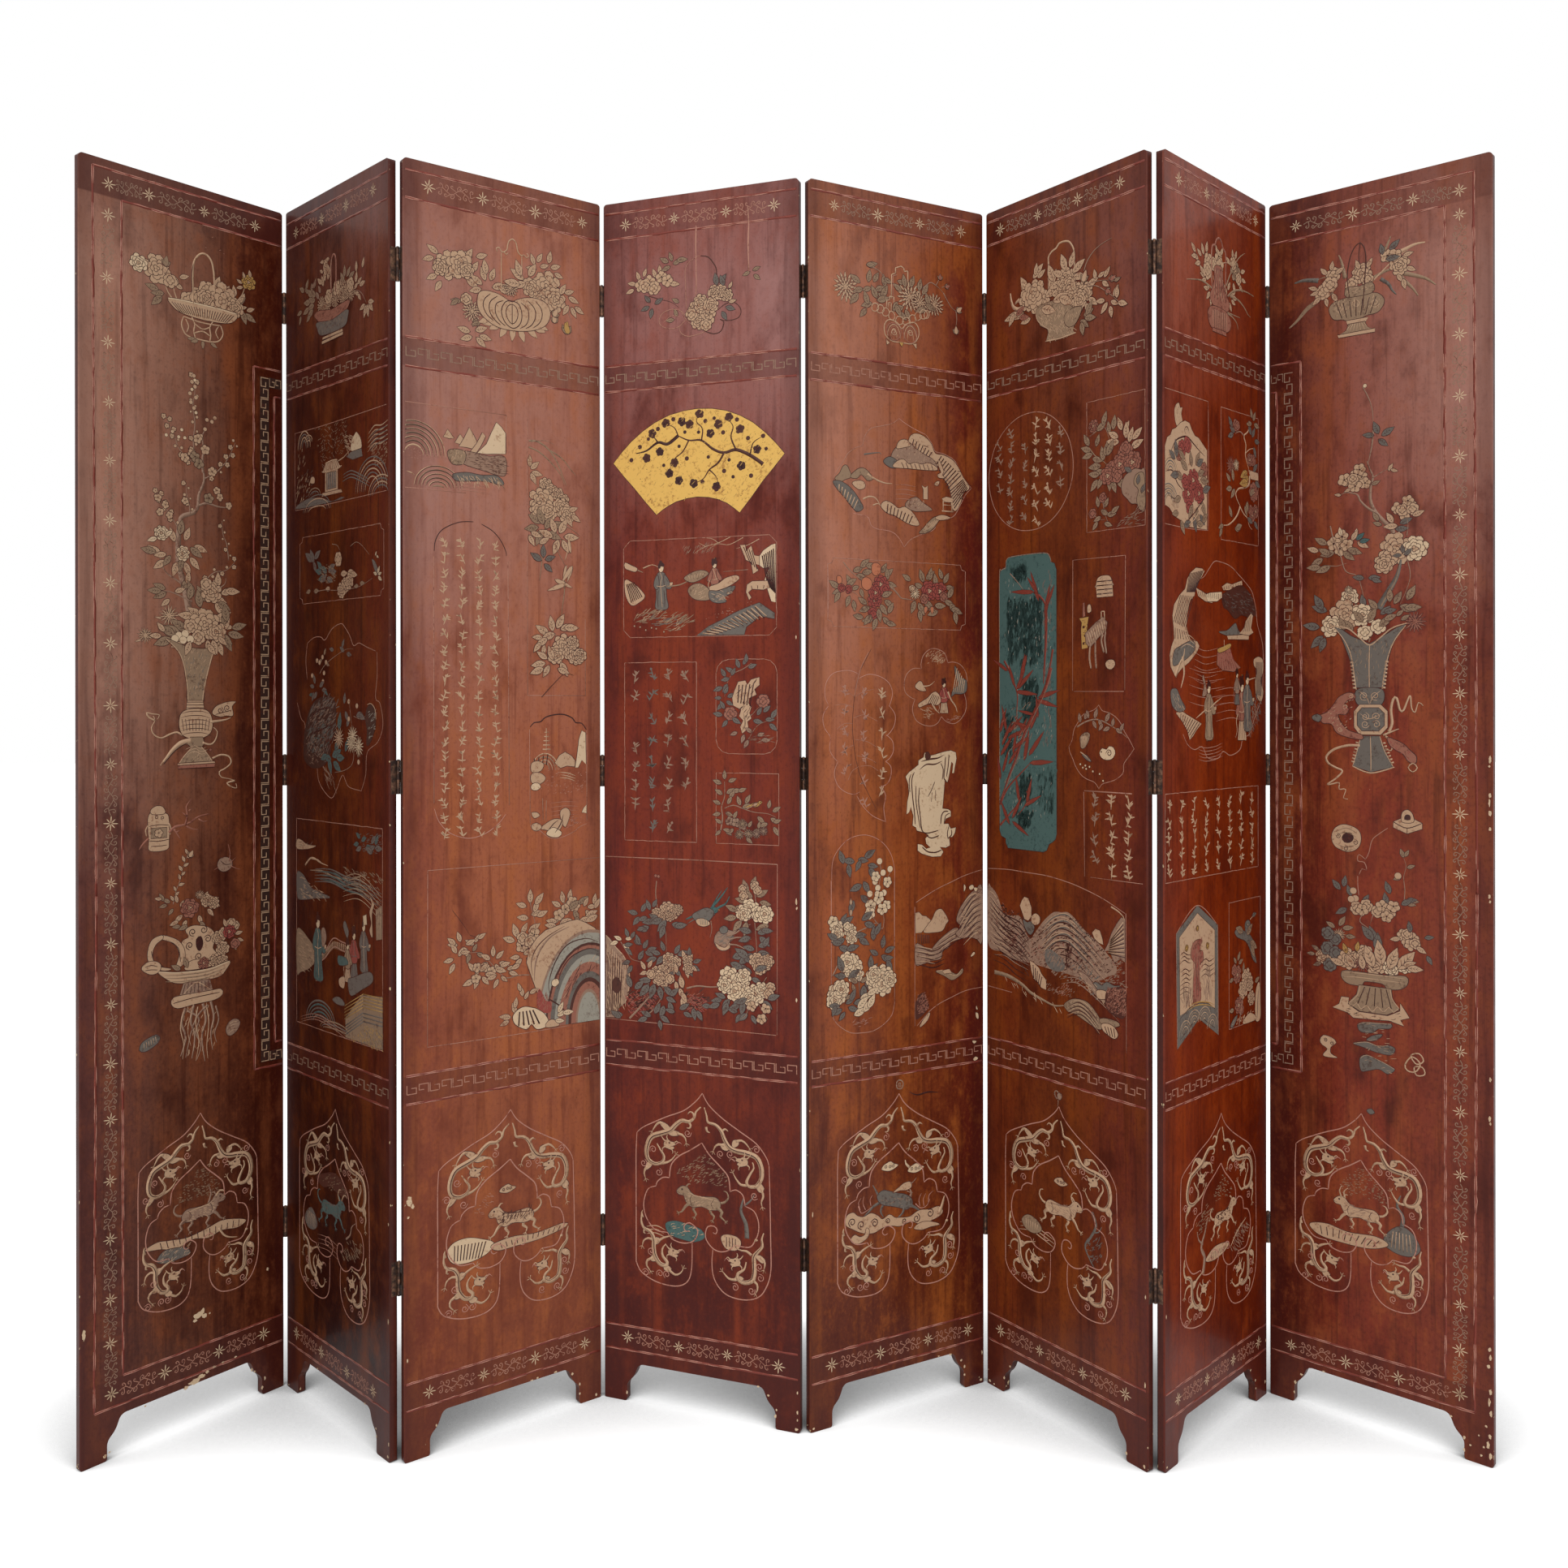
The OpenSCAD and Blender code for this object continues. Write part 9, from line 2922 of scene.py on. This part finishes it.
def inlay_piece(leaf, pigment_name, art):
    """One pigment's whole inlay on one leaf, as one mesh in its place."""
    points, edges, faces = [], [], []
    values = {name: [] for name in LAYERS}

    def add(x, y, kind, height, half=0.0, motif=0, turn=0.0, stretch=(1, 1, 1)):
        """One point with what it carries."""
        points.append((x * MM, y * MM, 0))
        for key, value in zip(values, (kind, motif, half * MM, height * MM, turn, stretch)):
            values[key].append(value)

    for name, outline, height in art.areas:
        if name == pigment_name:
            faces.append(range(len(points), len(points) + len(outline)))
            for x, y in outline:
                add(x, y, AREA, height)
    for name, line, height in art.lines:
        if name == pigment_name:
            first = len(points)
            edges += [(i, i + 1) for i in range(first, first + len(line) - 1)]
            for x, y, half in line:
                add(x, y, LINE, height, half)
    for name, motif, x, y, turn, long, wide, height in art.stamps:
        if name == pigment_name:
            stretch = (long * MM, wide * MM, 1)
            add(x, y, STAMP, height, motif=MOTIFS.index(motif), turn=math.radians(turn), stretch=stretch)
    mesh = bpy.data.meshes.new(f"leaf_{leaf}_{pigment_name}")
    mesh.from_pydata(points, edges, faces)
    values["stretch"] = [v for triple in values["stretch"] for v in triple]
    for key, kind in LAYERS.items():
        layer = mesh.attributes.new(key, kind, "POINT")
        layer.data.foreach_set("vector" if kind == "FLOAT_VECTOR" else "value", values[key])
    drawing = bpy.data.objects.new("drawing", mesh)
    scene.collection.objects.link(drawing)
    grown = drawing.modifiers.new("inlay", "NODES")
    grown.node_group = inlay
    grown[sockets["Motifs"]] = motifs
    # The second leaf's inlay takes the pigments with painted shade.
    grown[sockets["Finish"]] = (SHADED_PIGMENTS if leaf == 2 else FINISHES)[pigment_name]
    bpy.context.view_layer.update()
    made = bpy.data.meshes.new_from_object(drawing.evaluated_get(bpy.context.evaluated_depsgraph_get()))
    bpy.data.objects.remove(drawing)
    for key in [a.name for a in made.attributes if a.name in LAYERS]:
        made.attributes.remove(made.attributes[key])
    # The drawing's right, up and outwards, as the leaf stands.
    x, y, a = CORNERS[leaf - 1]
    made.transform(Matrix((
        (math.cos(a), 0, math.sin(a), x * MM), (math.sin(a), 0, -math.cos(a), y * MM),
        (0, 1, 0, 0), (0, 0, 0, 1))))
    made.name = f"leaf_{leaf}_{pigment_name}_inlay"
    piece = bpy.data.objects.new(made.name, made)
    scene.collection.objects.link(piece)
    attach(piece, f"leaf_{leaf}")


FINISHES = {name: pigment(f"{name} lime pigment", *values) for name, values in PIGMENTS.items()}
# The second leaf's inlay gets painted shade, darker and browner than the others', as that leaf stands in a
# narrow fold.
SHADED_PIGMENTS = {}
for name, values in PIGMENTS.items():
    SHADED_PIGMENTS[name] = pigment(f"browned {name} lime pigment", *values, painted_shade=0.38)
plates = aged_brass("aged cast brass", "#7d5d4b", "#2f1f1a", 0.42)
screws = aged_brass("filed brass", "#8c6c55", "#35261e", 0.38)
pins = aged_brass("drawn brass wire", "#806350", "#36271f", 0.36)
# Each front's colours: left, middle, right, warm, dark and its painted sheen. Then how strong the painted
# sheen at its top is at the left and at the right, how far down from the top it reaches, how far it deepens
# near the floor, how much its edges are knocked, and how dark the coat of its top border is. The change from
# left to right is partly painted light.
GROUNDS = {
    1: ("#69372e", "#6d3e2b", "#491706", "#8a4a2a", "#330f0a", "#c2907a",
        (0.85, -0.25), 1400, 0.4, 0.11, 0.7),
    2: ("#3c160e", "#451a0b", "#592111", "#66300f", "#240906", "#b98b80",
        (0.05, 0.35), 450, 1.0, 0.11, 0.5),
    3: ("#8c4834", "#a45d3f", "#a15b3f", "#aa5f33", "#682c1a", "#ac8074",
        (0.75, 0.35), 1200, 0.65, 0.11, 0.5),
    4: ("#6d261a", "#7b311f", "#722c1f", "#86361a", "#40100b", "#a87a74",
        (0.5, 0.85), 800, 0.85, 0.11, 0.25),
    5: ("#a15633", "#8c441e", "#672217", "#a45824", "#45140b", "#b9806a",
        (0.8, -0.1), 1300, 0.8, 0.11, 0.4),
    6: ("#743015", "#682e15", "#6f2f21", "#864014", "#3a120b", "#a87468",
        (0.0, 0.3), 700, 0.15, 0.1, 0.35),
    7: ("#84341e", "#782706", "#691e02", "#90390f", "#440f07", "#b87a68",
        (0.55, -0.05), 600, 0.4, 0.1, 0.15),
    8: ("#4a170d", "#833421", "#7e3b2b", "#974d28", "#3c110a", "#b08072",
        (-0.1, 1.0), 950, 0.15, 0.125, 0.35),
}
BACK = ("#3a1a15", "#421d16", "#381814", "#552a1c", "#24100d")
EDGES = ("#4e2219", "#4e2219", "#4e2219", "#6a3322", "#2c110d")
for number in range(1, 9):
    bands = [d or NO_BAND for d in BANDS[number]]
    finishes = {
        "front_lacquer": lacquer(f"rubbed brown lacquer {number}", number, *GROUNDS[number], bands),
        "back_lacquer": lacquer(f"plain dark lacquer {number}", number, *BACK),
        "boards": lacquer(f"edge lacquer {number}", number, *EDGES, knocked=0.05),
        "right_hinge_plates": plates, "left_hinge_plates": plates,
        "right_hinge_screws": screws, "left_hinge_screws": screws, "hinge_pins": pins,
    }
    for name, finish in finishes.items():
        if f"leaf_{number}_{name}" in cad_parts:
            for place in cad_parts[f"leaf_{number}_{name}"].material_slots:
                place.material = finish
    art = draw_leaf(number)
    used = {shape[0] for shape in art.areas + art.lines + art.stamps}
    for pigment_name in PIGMENTS:
        if pigment_name in used:
            inlay_piece(number, pigment_name, art)
